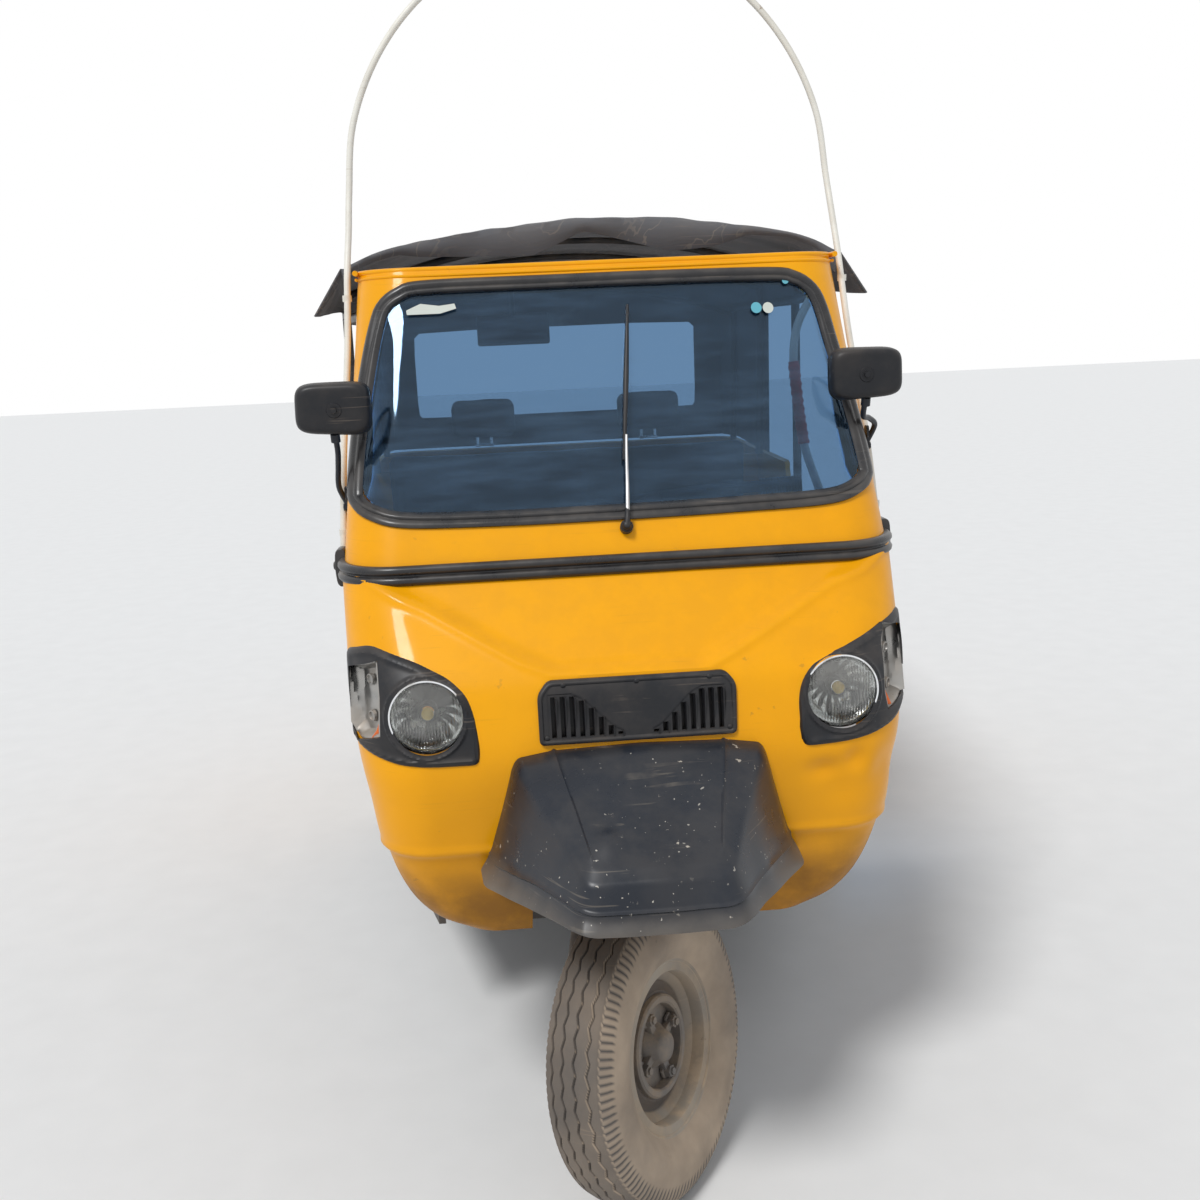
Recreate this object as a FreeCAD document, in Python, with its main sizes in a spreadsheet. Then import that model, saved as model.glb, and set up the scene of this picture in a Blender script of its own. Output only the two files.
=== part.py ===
"""Three-wheeled passenger auto rickshaw, rear engine, single steered front wheel.

Millimetres. +Z up, the front faces -Y, +X is the vehicle's left side. The origin is on the
ground, midway between the front and rear ends. Lengths along Y in this file are measured
from the front axle, and every sub-part is moved by front_axle_y at the end.
"""
import FreeCAD
import Part
import math
import os
import re

import Sketcher
from FreeCAD import Placement, Rotation, Vector

doc = FreeCAD.newDocument("auto_rickshaw")

# Driving dimensions: name, value or formula
SIZES = [
    # whole vehicle
    ("overall_length", 2900), ("front_reach", 300), ("wheelbase", 2005), ("rear_track", 1150),
    ("front_axle_y", "front_reach - overall_length / 2"),
    # wheels and tyres
    ("tyre_diameter", 540), ("tyre_half_width", 65), ("tyre_crown_radius", 120),
    ("tread_half_width", 48), ("rim_flange_radius", 146), ("rim_seat_radius", 127),
    ("rim_well_radius", 108), ("rim_half_width", 45), ("rim_metal", 3.5),
    ("disc_hole_radius", 38), ("slot_radius", 84), ("slot_length", 30), ("slot_width", 15),
    ("slot_count", 8), ("drum_radius", 78), ("drum_depth", 40), ("axle_radius", 12),
    ("pin_clearance", 0.3), ("running_clearance", 5.5),
    # steering
    ("steer_rake", 15), ("steer_rest", 35), ("column_radius", 17), ("head_radius", 26),
    ("head_low", 390), ("head_high", 720), ("crown_height", 345), ("column_top", 935),
    ("leg_x", 92), ("leg_radius", 16), ("link_pivot_ahead", 130), ("link_pivot_up", 30),
    ("spring_x", 104), ("spring_back", 18), ("spring_radius", 28), ("spring_bottom", 62),
    ("spring_top", 316), ("hose_radius", 4), ("bar_height", 1000), ("bar_back", 165), ("bar_half", 110),
    ("grip_half", 270), ("grip_sweep", 70), ("bar_radius", 11), ("grip_radius", 16),
    ("wheel_lean", "asin(sin(steer_rest) * sin(steer_rake))"),
    ("front_wheel_z", "(tyre_diameter / 2 - tyre_crown_radius) * cos(wheel_lean)"
                      " + tyre_crown_radius"),
    # front body
    ("belt_height", 1120), ("header_height", 1645), ("body_wall", 16), ("pillar_wall", 30),
    ("cowl_back", 300), ("header_back", 520), ("header_depth", 25), ("header_run", 70),
    ("belt_strip_height", 36), ("belt_strip_proud", 12), ("belt_strip_back", 262),
    ("glass_sill", 76), ("glass_head", 27), ("glass_low", "belt_height + glass_sill"),
    ("glass_high", "header_height - glass_head"), ("glass_half_low", 474),
    ("glass_half_high", 428), ("glass_corner", 72), ("seal_width", 24), ("seal_proud", 6),
    ("glass_thickness", 5), ("glass_sink", 4),
    ("lamp_x", 351), ("lamp_height", 905), ("lamp_radius", 64), ("lamp_depth", 70),
    ("lamp_front", -6), ("bezel_proud", 9), ("shell_depth", 26), ("shell_wall", 4),
    ("grille_low", 845), ("grille_high", 958), ("grille_half_low", 172),
    ("grille_half_high", 152), ("grille_proud", 13), ("louvre_pitch", 15), ("louvre_gap", 7),
    ("louvre_count", 8), ("louvre_start", 22), ("louvre_low", 862), ("louvre_high", 930),
    ("mudguard_wall", 5), ("arch_half_low", 200), ("arch_half_high", 165),
    ("arch_top", 738), ("mirror_height", 1416), ("mirror_ahead", 232),
    ("mirror_width", 136), ("mirror_tall", 94), ("mirror_deep", 32), ("mirror_arm_radius", 5.5),
    ("hoop_radius", 9), ("hoop_half", 465), ("hoop_spring_line", 1800), ("hoop_y", 530),
    # floor, chassis
    ("floor_top", 380), ("floor_thickness", 20), ("floor_front", 530), ("floor_half_front", 400),
    ("floor_half_rear", "rear_track / 2 + 25"), ("seat_wall_y", "wheelbase - 405"),
    ("member_x", 280), ("member_width", 40),
    ("member_height", 60), ("member_front", 460), ("member_rear", "tub_back - 172"),
    ("cross_width", 40),
    ("partition_y", "wheelbase - 755"), ("sill_height", 90), ("sill_wall", 15),
    # rear body
    ("tub_front", "wheelbase - 365"), ("floor_flare", "partition_y + 30"),
    ("tub_back", "overall_length - front_reach - 28"), ("tub_wall", 20),
    ("arch_radius", "tyre_diameter / 2 + 42"),
    ("wheel_house_wall", 10), ("wheel_house_inner", "rear_track / 2 - 95"), ("seat_plate_thickness", 20),
    ("bulkhead_y", "wheelbase + 45"), ("bulkhead_top", 1100), ("tail_half", 420),
    ("door_half", 380), ("door_low", 470), ("door_high", 850), ("door_gap", 6),
    ("hinge_radius", 8), ("hinge_pin", 4), ("lamp_box_width", 84), ("lamp_box_tall", 130),
    ("bumper_thickness", 24), ("bumper_low", 300), ("bumper_high", 380), ("bumper_half", 500),
    ("bumper_hole_radius", 6.5), ("bumper_hole_spacing", 300),
    # seats
    ("driver_half", 235), ("driver_front", 850), ("driver_depth", 320),
    ("driver_seat_z", 700), ("cushion_thickness", 95), ("passenger_half", "rear_track / 2 + 15"),
    ("backrest_thickness", 95), ("backrest_top", 1174), ("headrest_half", 109),
    ("headrest_x", 262), ("headrest_top", 1330),
    # hood
    ("canopy_wall", 9), ("canopy_front", 545), ("door_opening_top", 1578),
    ("door_opening_back", "wheelbase - 205"), ("window_half", 500), ("window_low", 1230),
    ("window_high", 1540), ("bow_radius", 9), ("rail_radius", 11),
    # engine
    ("engine_half", 200), ("engine_front", "wheelbase - 243"), ("engine_rear", "tub_back - 214"),
    ("engine_low", 230), ("engine_high", 560), ("silencer_radius", 48),
]

# Plan sections of the shells: height, half width, front, corner radius
COWL = [
    ("cowl_bottom", 470, 330, 78, 80), ("cowl_roll", 500, 385, 62, 90),
    ("cowl_tuck", 560, 425, 40, 96), ("cowl_shoulder", 656, 452, 14, 100),
    ("cowl_nose", 740, 463, -8, 112), ("cowl_lamp_low", 820, 475, -20, 125),
    ("cowl_lamp_high", 905, 485, -7, 138),
    ("cowl_crease", 958, 489, 12, 140), ("cowl_belt", "belt_height", 498, 137, 108),
]
SCREEN = [
    ("screen_belt", "belt_height", 498, 137, 108),
    ("screen_header", "header_height", 455, 385, 100),
]
# Plan sections of the rear tub: height, half width, corner radius
TUB = [
    ("tub_bottom", 400, "rear_track / 2 + 65", 100), ("tub_hip", 600, "rear_track / 2 + 90", 120),
    ("tub_waist", 950, "rear_track / 2 + 85", 120), ("tub_top", 1120, "rear_track / 2 + 65", 120),
]
# Route of the front brake hose in the steered frame
HOSE = [(-100, -40, 256), (-138, -40, 300), (-152, -10, 335), (-152, 22, 290),
        (-146, 34, 232), (-124, 52, 180), (-92, 60, 130), (-66, 56, 88), (-52, 50, 56)]
# Cross sections of the hood: y, half width, height of the bend, crown
HOOD = [
    ("hood_front", "canopy_front", 508, 1688, 1748),
    ("hood_cab", "partition_y + 50", "rear_track / 2 + 25", 1650, 1765),
    ("hood_rear", "tub_back - 372", "rear_track / 2 + 65", 1640, 1752),
    ("hood_bend", "tub_back - 132", "rear_track / 2 + 65", 1560, 1665),
    ("hood_tail", "tub_back - 12", "rear_track / 2 + 31", 1440, 1530),
]
for row, height, half, front, corner in COWL + SCREEN:
    SIZES += [(row + "_height", height), (row + "_half", half), (row + "_front", front),
              (row + "_corner", corner)]
for row, height, half, corner in TUB:
    SIZES += [(row + "_height", height), (row + "_half", half), (row + "_corner", corner)]
for row, along, half, bend, crown in HOOD:
    SIZES += [(row + "_along", along), (row + "_half", half), (row + "_bend", bend),
              (row + "_crown", crown)]

sheet = doc.addObject("Spreadsheet::Sheet", "dims")
NAMES = set()
for line, (name, value) in enumerate(SIZES, 1):
    sheet.set("A%d" % line, name)
    sheet.set("B%d" % line, "=" + value if isinstance(value, str) else str(value))
    sheet.setAlias("B%d" % line, name)
    NAMES.add(name)
doc.recompute()


def bound(formula):
    """The formula with every size's name pointed at the sheet."""
    point = lambda word: "dims." + word.group(0) if word.group(0) in NAMES else word.group(0)
    return re.sub(r"[a-z_][a-z0-9_]*", point, str(formula))


def size(formula):
    """The present value of a formula of the sheet's sizes."""
    result = sheet.evalExpression(bound(formula))
    return float(getattr(result, "Value", result))


def tie(part, **formulas):
    for prop, formula in formulas.items():
        part.setExpression(prop, bound(formula))
    return part


def put(part, x=0, y=0, z=0):
    """Place a part; y is measured from the front axle."""
    part.setExpression("Placement.Base.x", bound(x))
    part.setExpression("Placement.Base.y", bound("front_axle_y + (%s)" % y))
    part.setExpression("Placement.Base.z", bound(z))
    return part


def block(x_low, x_high, y_low, y_high, z_low, z_high):
    part = doc.addObject("Part::Box", "block")
    tie(part, Length="(%s) - (%s)" % (x_high, x_low), Width="(%s) - (%s)" % (y_high, y_low),
        Height="(%s) - (%s)" % (z_high, z_low))
    return put(part, x_low, y_low, z_low)


TURN = {"X": Rotation(Vector(0, 1, 0), 90), "Y": Rotation(Vector(1, 0, 0), -90),
        "Z": Rotation()}


def bar(axis, radius, length, x, y, z):
    """A cylinder from a point along +X, +Y or +Z."""
    part = doc.addObject("Part::Cylinder", "bar")
    part.Placement = Placement(Vector(), TURN[axis])
    tie(part, Radius=radius, Height=length)
    return put(part, x, y, z)


def fuse(*pieces):
    part = doc.addObject("Part::MultiFuse", "joined")
    part.Shapes = list(pieces)
    return part


def cut(base, *tools):
    part = doc.addObject("Part::Cut", "cut")
    part.Base = base
    part.Tool = tools[0] if len(tools) == 1 else fuse(*tools)
    return part


def common(*pieces):
    part = doc.addObject("Part::MultiCommon", "common")
    part.Shapes = list(pieces)
    return part


def mirrored(piece):
    part = doc.addObject("Part::Mirroring", "other_side")
    part.Source = piece
    part.Normal = Vector(1, 0, 0)
    return part


def group(*pieces):
    part = doc.addObject("Part::Compound", "pieces")
    part.Links = list(pieces)
    return part


def both_sides(piece):
    return group(piece, mirrored(piece))


def rounded(base, radius):
    """Round every edge of a block."""
    doc.recompute()
    part = doc.addObject("Part::Fillet", "rounded")
    part.Base = base
    edges = range(1, len(base.Shape.Edges) + 1)
    part.Edges = [(edge, size(radius), size(radius)) for edge in edges]
    return part


def held(shape, placement=None):
    """A part whose shape comes from Part's own functions, drawn from the front axle."""
    part = doc.addObject("Part::Feature", "form")
    base = placement or Placement(Vector(0, size("front_axle_y"), 0), Rotation())
    part.Shape = shape
    part.Placement = base.multiply(shape.Placement)
    return part


def sketch(body, plane, outlines):
    """Closed outlines of (x, y) formulas; a third value is the radius of an arc to the next
    point, negative where it bends to the right."""
    flat = [f for f in body.Origin.OriginFeatures if f.Role == plane][0]
    drawing = body.newObject("Sketcher::SketchObject", "sketch")
    drawing.AttachmentSupport = [(flat, "")]
    drawing.MapMode = "FlatFace"
    for outline in outlines:
        first = drawing.GeometryCount
        corners = [Vector(size(row[0]), size(row[1]), 0) for row in outline]
        count = len(outline)
        for index, row in enumerate(outline):
            start, end = corners[index], corners[(index + 1) % count]
            if len(row) == 2:
                drawing.addGeometry(Part.LineSegment(start, end), False)
                continue
            bulge = size(row[2])
            half = (end - start).Length / 2
            rise = abs(bulge) - math.sqrt(max(bulge ** 2 - half ** 2, 0))
            side = Vector(end.y - start.y, start.x - end.x, 0).normalize()
            middle = (start + end) / 2 + side * (rise if bulge > 0 else -rise)
            drawing.addGeometry(Part.Arc(start, middle, end), False)
        for index, row in enumerate(outline):
            here, after = first + index, first + (index + 1) % count
            geometry = drawing.Geometry[here]
            forward = len(row) == 2 or geometry.StartPoint.distanceToPoint(corners[index]) < 1e-6
            ahead = len(outline[(index + 1) % count]) == 2 or \
                drawing.Geometry[after].StartPoint.distanceToPoint(corners[(index + 1) % count]) \
                < 1e-6
            start_end = 1 if forward else 2
            drawing.addConstraint(Sketcher.Constraint(
                "Coincident", here, 3 - start_end, after, 1 if ahead else 2))
            for kind, formula in (("DistanceX", row[0]), ("DistanceY", row[1])):
                rule = drawing.addConstraint(Sketcher.Constraint(
                    kind, here, start_end, size(formula)))
                drawing.setExpression("Constraints[%d]" % rule, bound(formula))
            if len(row) == 3:
                rule = drawing.addConstraint(Sketcher.Constraint(
                    "Radius", here, abs(size(row[2]))))
                drawing.setExpression("Constraints[%d]" % rule, bound("abs(%s)" % row[2]))
    return drawing


def turned(outline):
    """A body of revolution about X; the outline is (along X, radius)."""
    body = doc.addObject("PartDesign::Body", "turned")
    revolution = body.newObject("PartDesign::Revolution", "revolution")
    revolution.Profile = sketch(body, "XY_Plane", [outline])
    revolution.ReferenceAxis = (revolution.Profile[0], ["H_Axis"])
    revolution.Angle = 360
    return body


def padded(plane, outlines, length, midplane=False):
    """A padded outline on a plane of the body's own origin."""
    body = doc.addObject("PartDesign::Body", "padded")
    pad = body.newObject("PartDesign::Pad", "pad")
    pad.Profile = sketch(body, plane, outlines)
    pad.Midplane = midplane
    tie(pad, Length=length)
    return body


def plan_outline(height, half, front, back, corner):
    """Seen from above: a flat front, two round corners and straight sides."""
    bend = corner * (1 - math.sqrt(0.5))
    points = [Vector(-half, back, height), Vector(-half, front + corner, height),
              Vector(-half + bend, front + bend, height), Vector(-half + corner, front, height),
              Vector(half - corner, front, height), Vector(half - bend, front + bend, height),
              Vector(half, front + corner, height), Vector(half, back, height)]
    edges = [Part.makeLine(points[0], points[1]), Part.Arc(*points[1:4]).toShape(),
             Part.makeLine(points[3], points[4]), Part.Arc(*points[4:7]).toShape(),
             Part.makeLine(points[6], points[7]), Part.makeLine(points[7], points[0])]
    return Part.Wire(edges)


def front_loft(rows, backs, inset=0, tail=0):
    """The front body's outer form, moved inward by inset and longer at the back by tail."""
    wires = []
    for (row, *_), back in zip(rows, backs):
        wires.append(plan_outline(size(row + "_height"), size(row + "_half") - inset,
                                  size(row + "_front") + inset, back + tail,
                                  max(size(row + "_corner") - inset, 20)))
    return Part.makeLoft(wires, True, True)


def cowl_form(inset=0, tail=0):
    return front_loft(COWL, [size("cowl_back")] * len(COWL), inset, tail)


def screen_form(inset=0, tail=0):
    return front_loft(SCREEN, [size("cowl_back"), size("header_back")], inset, tail)


def tub_form(inset=0):
    """The rear body's outer form: round rear corners, open towards the front."""
    wires = []
    for row, *_ in TUB:
        wire = plan_outline(size(row + "_height"), size(row + "_half") - inset,
                            -size("tub_back") + inset, -size("tub_front") + (100 if inset else 0),
                            max(size(row + "_corner") - inset, 20))
        wires.append(wire.mirror(Vector(), Vector(0, 1, 0)))
    return Part.makeLoft(wires, True, True)


def hood_row(row, inset=0, base=None):
    """A cross section of the hood: upright sides and an arched top."""
    along, half, bend, crown = (size(row + tail) for tail in ("_along", "_half", "_bend", "_crown"))
    half, crown, bend = half - inset, crown - inset, bend - inset * 0.6
    low = size("tub_top_height") if base is None else base
    left, right = Vector(-half, along, bend), Vector(half, along, bend)
    return Part.Wire([
        Part.makeLine(Vector(-half, along, low), left),
        Part.Arc(left, Vector(0, along, crown), right).toShape(),
        Part.makeLine(right, Vector(half, along, low)),
        Part.makeLine(Vector(half, along, low), Vector(-half, along, low))])


def prism(points, start, end):
    """An outline of (x, z) points pushed along Y from start to end."""
    wire = Part.makePolygon([Vector(x, start, z) for x, z in points + points[:1]])
    return Part.Face(wire).extrude(Vector(0, end - start, 0))


def rounded_prism(points, radius, start, end):
    """The same with its upright edges rounded."""
    solid = prism(points, start, end)
    upright = [edge for edge in solid.Edges
               if abs(edge.tangentAt(edge.FirstParameter).y) > 0.99]
    return solid.makeFillet(radius, upright)


def joined(first, others):
    """One shape from several that overlap, with its seams merged where that stays valid."""
    whole = first.multiFuse(others)
    tidy = whole.removeSplitter()
    return tidy if tidy.isValid() else whole


def ball(point, radius):
    """A ball over a tube's bend, a little proud so that the faces cross cleanly."""
    return Part.makeSphere(radius + 0.3, point)


def tube_run(points, radius):
    """Straight round tubes joined by balls at the bends."""
    pieces = []
    for start, end in zip(points, points[1:]):
        pieces.append(Part.makeCylinder(radius, (end - start).Length, start, end - start))
    for point in points[1:-1]:
        pieces.append(ball(point, radius))
    return joined(pieces[0], pieces[1:]) if len(pieces) > 1 else pieces[0]


def flip(shape):
    return shape.mirror(Vector(), Vector(1, 0, 0))


parts = {}


def name(node, part):
    parts[node] = part
    return part


# Steered frame: origin at the front wheel's centre, Z up the steering axis
rake, lean = size("steer_rake"), size("wheel_lean")
axle_z = size("front_wheel_z")
upright = Placement(Vector(0, 0, axle_z), Rotation(Vector(1, 0, 0), -rake))
straight = Placement(Vector(0, size("front_axle_y"), 0), Rotation()).multiply(upright)
steered = straight.multiply(Placement(Vector(), Rotation(Vector(0, 0, 1), -size("steer_rest"))))


# Tyres: a moulded section revolved about the axle
def tyre():
    shoulder = "tyre_diameter / 2 - tyre_crown_radius" \
               " + sqrt(tyre_crown_radius^2 - tread_half_width^2)"
    inner = "rim_half_width - rim_metal"
    return turned([
        ("-(%s)" % inner, "rim_seat_radius"), (inner, "rim_seat_radius"),
        (inner, "rim_flange_radius + 2"), ("rim_half_width + 11", "rim_flange_radius + 18"),
        ("tyre_half_width", "rim_flange_radius + 54"),
        ("tyre_half_width - 3", shoulder + " - 26"),
        ("tread_half_width", shoulder, "tyre_crown_radius"), ("-tread_half_width", shoulder),
        ("3 - tyre_half_width", shoulder + " - 26"),
        ("-tyre_half_width", "rim_flange_radius + 54"),
        ("-(rim_half_width + 11)", "rim_flange_radius + 18"),
        ("-(%s)" % inner, "rim_flange_radius + 2")])


# Rims: rolled steel section with a dished disc, slots by a polar pattern
def rim():
    half, metal, well = "rim_half_width", "rim_metal", "rim_well_radius"
    seat, flange = "rim_seat_radius", "rim_flange_radius"
    outline = [
        ("-(%s)" % half, flange), ("%s - %s" % (metal, half), flange),
        ("%s - %s" % (metal, half), seat), ("-26", seat), ("-18", well), ("18", well),
        ("26", seat), ("%s - %s" % (half, metal), seat), ("%s - %s" % (half, metal), flange),
        (half, flange), (half, "%s - %s" % (seat, metal)), ("28.5", "%s - %s" % (seat, metal)),
        ("20.5", "%s - %s" % (well, metal)), ("25", "slot_radius + 6"),
        ("11", "disc_hole_radius + 26"), ("11", "disc_hole_radius"),
        ("7", "disc_hole_radius"), ("7", "disc_hole_radius + 28"), ("20", "slot_radius + 6"),
        ("12", "%s - %s" % (well, metal)), ("-20.5", "%s - %s" % (well, metal)),
        ("-28.5", "%s - %s" % (seat, metal)), ("-(%s)" % half, "%s - %s" % (seat, metal))]
    body = turned(outline)
    doc.recompute()
    solid_volume = body.Shape.Volume
    pocket = body.newObject("PartDesign::Pocket", "slot")
    low, high = "slot_radius - slot_width / 2", "slot_radius + slot_width / 2"
    pocket.Profile = sketch(body, "YZ_Plane", [[
        ("-slot_length / 2 + slot_width / 2", low), ("slot_length / 2 - slot_width / 2", low,
                                                    "slot_width / 2 + 0.01"),
        ("slot_length / 2 - slot_width / 2", high), ("-slot_length / 2 + slot_width / 2", high,
                                                     "slot_width / 2 + 0.01")]])
    pocket.Type = "Length"
    pocket.Midplane = True
    tie(pocket, Length="rim_half_width * 2")
    doc.recompute()
    ring = body.newObject("PartDesign::PolarPattern", "slots")
    ring.Originals = [pocket]
    ring.Axis = (pocket.Profile[0], ["N_Axis"])
    ring.Angle = 360
    tie(ring, Occurrences="slot_count")
    body.Tip = ring
    doc.recompute()
    if not body.Shape.Volume < solid_volume:
        raise ValueError("the rim slots cut nothing")
    return body


# Hub and brake drum in one, with the domed grease cap on the outside
def hub():
    bore = "axle_radius + pin_clearance"
    return turned([
        ("-drum_depth", bore), ("-drum_depth", "drum_radius"), ("7", "drum_radius"),
        ("7", "disc_hole_radius"), ("15", "disc_hole_radius"), ("22", "disc_hole_radius - 7"),
        ("33", "disc_hole_radius - 14"), ("38", "disc_hole_radius - 22"), ("39", "0"),
        ("31", "0"), ("31", bore)])


for side, sign in (("left", 1), ("right", -1)):
    for node, make in (("tyre", tyre), ("rim", rim), ("hub", hub)):
        wheel_part = make()
        wheel_part.Placement = Placement(Vector(), Rotation(Vector(0, 0, 1), 90 - 90 * sign))
        put(wheel_part, "%d * rear_track / 2" % sign, "wheelbase", "tyre_diameter / 2")
        name("rear_%s_%s" % (node, side), wheel_part)
for node, make in (("tyre", tyre), ("rim", rim), ("hub", hub)):
    name("front_" + node, make()).Placement = steered


# Front fork: column, crown and one leg beside the tyre
def local(x, y, z):
    return Vector(size(x), size(y), size(z))


fork = tube_run([local("0", "0", "crown_height"), local("0", "0", "column_top")],
                size("column_radius"))
leg_points = [local("-leg_x", "-link_pivot_ahead", "link_pivot_up"),
              local("-leg_x", "-40", "crown_height - 85"), local("-45", "0", "crown_height - 15"),
              local("0", "0", "crown_height")]
leg = tube_run(leg_points, size("leg_radius"))
crown_ball = ball(local("0", "0", "crown_height"), size("column_radius"))
eye = Part.makeCylinder(22, 2 * size("leg_radius"),
                        local("-leg_x - leg_radius", "-link_pivot_ahead", "link_pivot_up"),
                        Vector(1, 0, 0))
bracket = tube_run([leg_points[2], local("-spring_x", "spring_back", "spring_top + 9")], 9)
cap = Part.makeCylinder(size("spring_radius"), 6,
                        local("-spring_x", "spring_back", "spring_top"), Vector(0, 0, 1))
name("front_fork", held(joined(fork, [leg, crown_ball, eye, bracket, cap]),
                        steered))

# Leading link with the stub axle and the brake plate
link_outer = size("leg_radius - leg_x")
link_thick = 18
link_points = [local("0", "-link_pivot_ahead", "link_pivot_up"), local("0", "0", "0")]
run = link_points[1] - link_points[0]
across = run.cross(Vector(1, 0, 0)).normalize()
web = Part.makePolygon([link_points[0] + across * 22, link_points[1] + across * 40,
                        link_points[1] - across * 40, link_points[0] - across * 22,
                        link_points[0] + across * 22])
web = Part.Face(web).extrude(Vector(link_thick, 0, 0))
web.translate(Vector(link_outer, 0, 0))
rounds = [Part.makeCylinder(radius, link_thick, point + Vector(link_outer, 0, 0),
                            Vector(1, 0, 0)) for point, radius in zip(link_points, (22, 40))]
plate_face = size("-drum_depth - running_clearance")
plate = Part.makeCylinder(size("drum_radius + 6"), 7, Vector(plate_face - 7, 0, 0),
                          Vector(1, 0, 0))
spacer = Part.makeCylinder(24, plate_face - 7 - link_outer - link_thick + 0.01,
                           Vector(link_outer + link_thick - 0.005, 0, 0), Vector(1, 0, 0))
stub = Part.makeCylinder(size("axle_radius"), 22 - link_outer, Vector(link_outer, 0, 0),
                         Vector(1, 0, 0))
name("front_link", held(joined(web, rounds + [plate, spacer, stub]), steered))

# Coil spring round its damper: a turned outline with one ridge for each coil
spring_rows = [Vector(0, 0, size("spring_bottom - 32"))]
low, high = size("spring_bottom"), size("spring_top")
coils = 7
spring_rows += [Vector(14, 0, spring_rows[0].z), Vector(14, 0, low - 6),
                Vector(size("spring_radius"), 0, low - 6), Vector(size("spring_radius"), 0, low)]
for coil in range(coils):
    base = low + (high - low) * coil / coils
    pitch = (high - low) / coils
    spring_rows += [Vector(16, 0, base + pitch * 0.08),
                    Vector(size("spring_radius - 1"), 0, base + pitch * 0.38),
                    Vector(size("spring_radius - 1"), 0, base + pitch * 0.62)]
spring_rows += [Vector(16, 0, high - 0.5), Vector(16, 0, high), Vector(0, 0, high)]
damper = Part.Face(Part.makePolygon(spring_rows + spring_rows[:1]))
damper = damper.revolve(Vector(), Vector(0, 0, 1), 360)
damper.translate(local("-spring_x", "spring_back", "0"))
lug = Part.makeCylinder(14, link_outer + size("spring_x") + 14,
                        local("-spring_x - 14", "spring_back", "spring_bottom - 32"),
                        Vector(1, 0, 0))
name("front_spring", held(damper.fuse(lug).removeSplitter(), steered))

# Brake hose from a clip on the fork leg to the brake plate, held at both ends
def hose_line(points):
    """Straight runs joined by arcs that are tangent to both."""
    edges, start = [], points[0]
    for before, corner, after in zip(points, points[1:], points[2:]):
        back, ahead = before - corner, after - corner
        half_turn = (math.pi - back.getAngle(ahead)) / 2
        reach = 0.45 * min(back.Length, ahead.Length)
        back, ahead = back.normalize(), ahead.normalize()
        radius = reach / math.tan(half_turn)
        middle = corner + (back + ahead).normalize() * (radius / math.cos(half_turn) - radius)
        edges += [Part.makeLine(start, corner + back * reach),
                  Part.Arc(corner + back * reach, middle, corner + ahead * reach).toShape()]
        start = corner + ahead * reach
    return Part.Wire(edges + [Part.makeLine(start, points[-1])])


hose_points = [Vector(*point) for point in HOSE]
hose_end = Part.Wire(Part.makeCircle(size("hose_radius"), hose_points[0],
                                     hose_points[1] - hose_points[0]))
hose = hose_line(hose_points).makePipeShell([hose_end], True, True)
name("brake_hose", held(hose.cut(leg).cut(plate), steered))

# Handlebar with a back-swept bar on a stem, grips and levers
grip_root = local("bar_half", "bar_back", "bar_height")
grip_tip = local("grip_half", "bar_back + grip_sweep", "bar_height")
column_end = local("0", "0", "column_top")
stem = tube_run([column_end, local("0", "40", "column_top + 20"),
                 local("0", "bar_back", "bar_height")], size("bar_radius + 3"))
stem = stem.fuse(Part.makeCylinder(size("column_radius + 4"), 34,
                                   column_end, Vector(0, 0, 1)))
stem = stem.fuse(Part.makeSphere(size("bar_radius + 3"), local("0", "bar_back", "bar_height")))
bars = tube_run([Vector(-grip_tip.x, grip_tip.y, grip_tip.z),
                 Vector(-grip_root.x, grip_root.y, grip_root.z), grip_root, grip_tip],
                size("bar_radius"))
pieces = [bars]
for sign in (1, -1):
    start = Vector(sign * (grip_root.x * 0.45 + grip_tip.x * 0.55),
                   grip_root.y * 0.45 + grip_tip.y * 0.55, grip_tip.z)
    end = Vector(sign * grip_tip.x, grip_tip.y, grip_tip.z)
    pieces.append(Part.makeCylinder(size("grip_radius"), (end - start).Length, start, end - start))
    ahead = Vector(0, -34, 0)
    lever_root = Vector(sign * grip_root.x, grip_root.y, grip_root.z)
    pieces.append(tube_run([lever_root, lever_root + ahead * 0.9, end + ahead], 5))
name("handlebar", held(joined(stem, pieces).cut(fork), steered))

# Chassis: two side members, cross members, neck tubes and the steering head
member_top = "floor_top - floor_thickness"
member_low = "floor_top - floor_thickness - member_height"
member = block("member_x - member_width / 2", "member_x + member_width / 2",
               "member_front", "member_rear", member_low, member_top)
crosses = [block("-member_x", "member_x", "(%s)" % y, "(%s) + cross_width" % y,
                 member_low, member_top)
           for y in ("member_front", "engine_front - cross_width", "engine_rear")]
head_span = (size("head_low"), size("head_high"))
head = Part.makeCylinder(size("head_radius"), head_span[1] - head_span[0],
                         Vector(0, 0, head_span[0]), Vector(0, 0, 1))
head.Placement = upright
head_point = upright.multVec(Vector(0, 0, head_span[0] + 40))
neck_start = Vector(size("member_x - 30"), size("member_front + 20"),
                    size("floor_top - floor_thickness - member_height / 2"))
neck = tube_run([neck_start, head_point + Vector(8, 12, 0)], 15)
head_bore = Part.makeCylinder(size("column_radius + pin_clearance"),
                              head_span[1] - head_span[0] + 20,
                              Vector(0, 0, head_span[0] - 10), Vector(0, 0, 1))
head_bore.Placement = upright
swing_arm_pin = bar("X", "14", "2 * member_x + 60", "-member_x - 30", "seat_wall_y + 30",
                    member_low + " + member_height / 2")
chassis = cut(fuse(member, mirrored(member), swing_arm_pin, *crosses, held(head), held(neck),
                   held(flip(neck))), held(head_bore))
name("chassis_frame", chassis)

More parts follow.
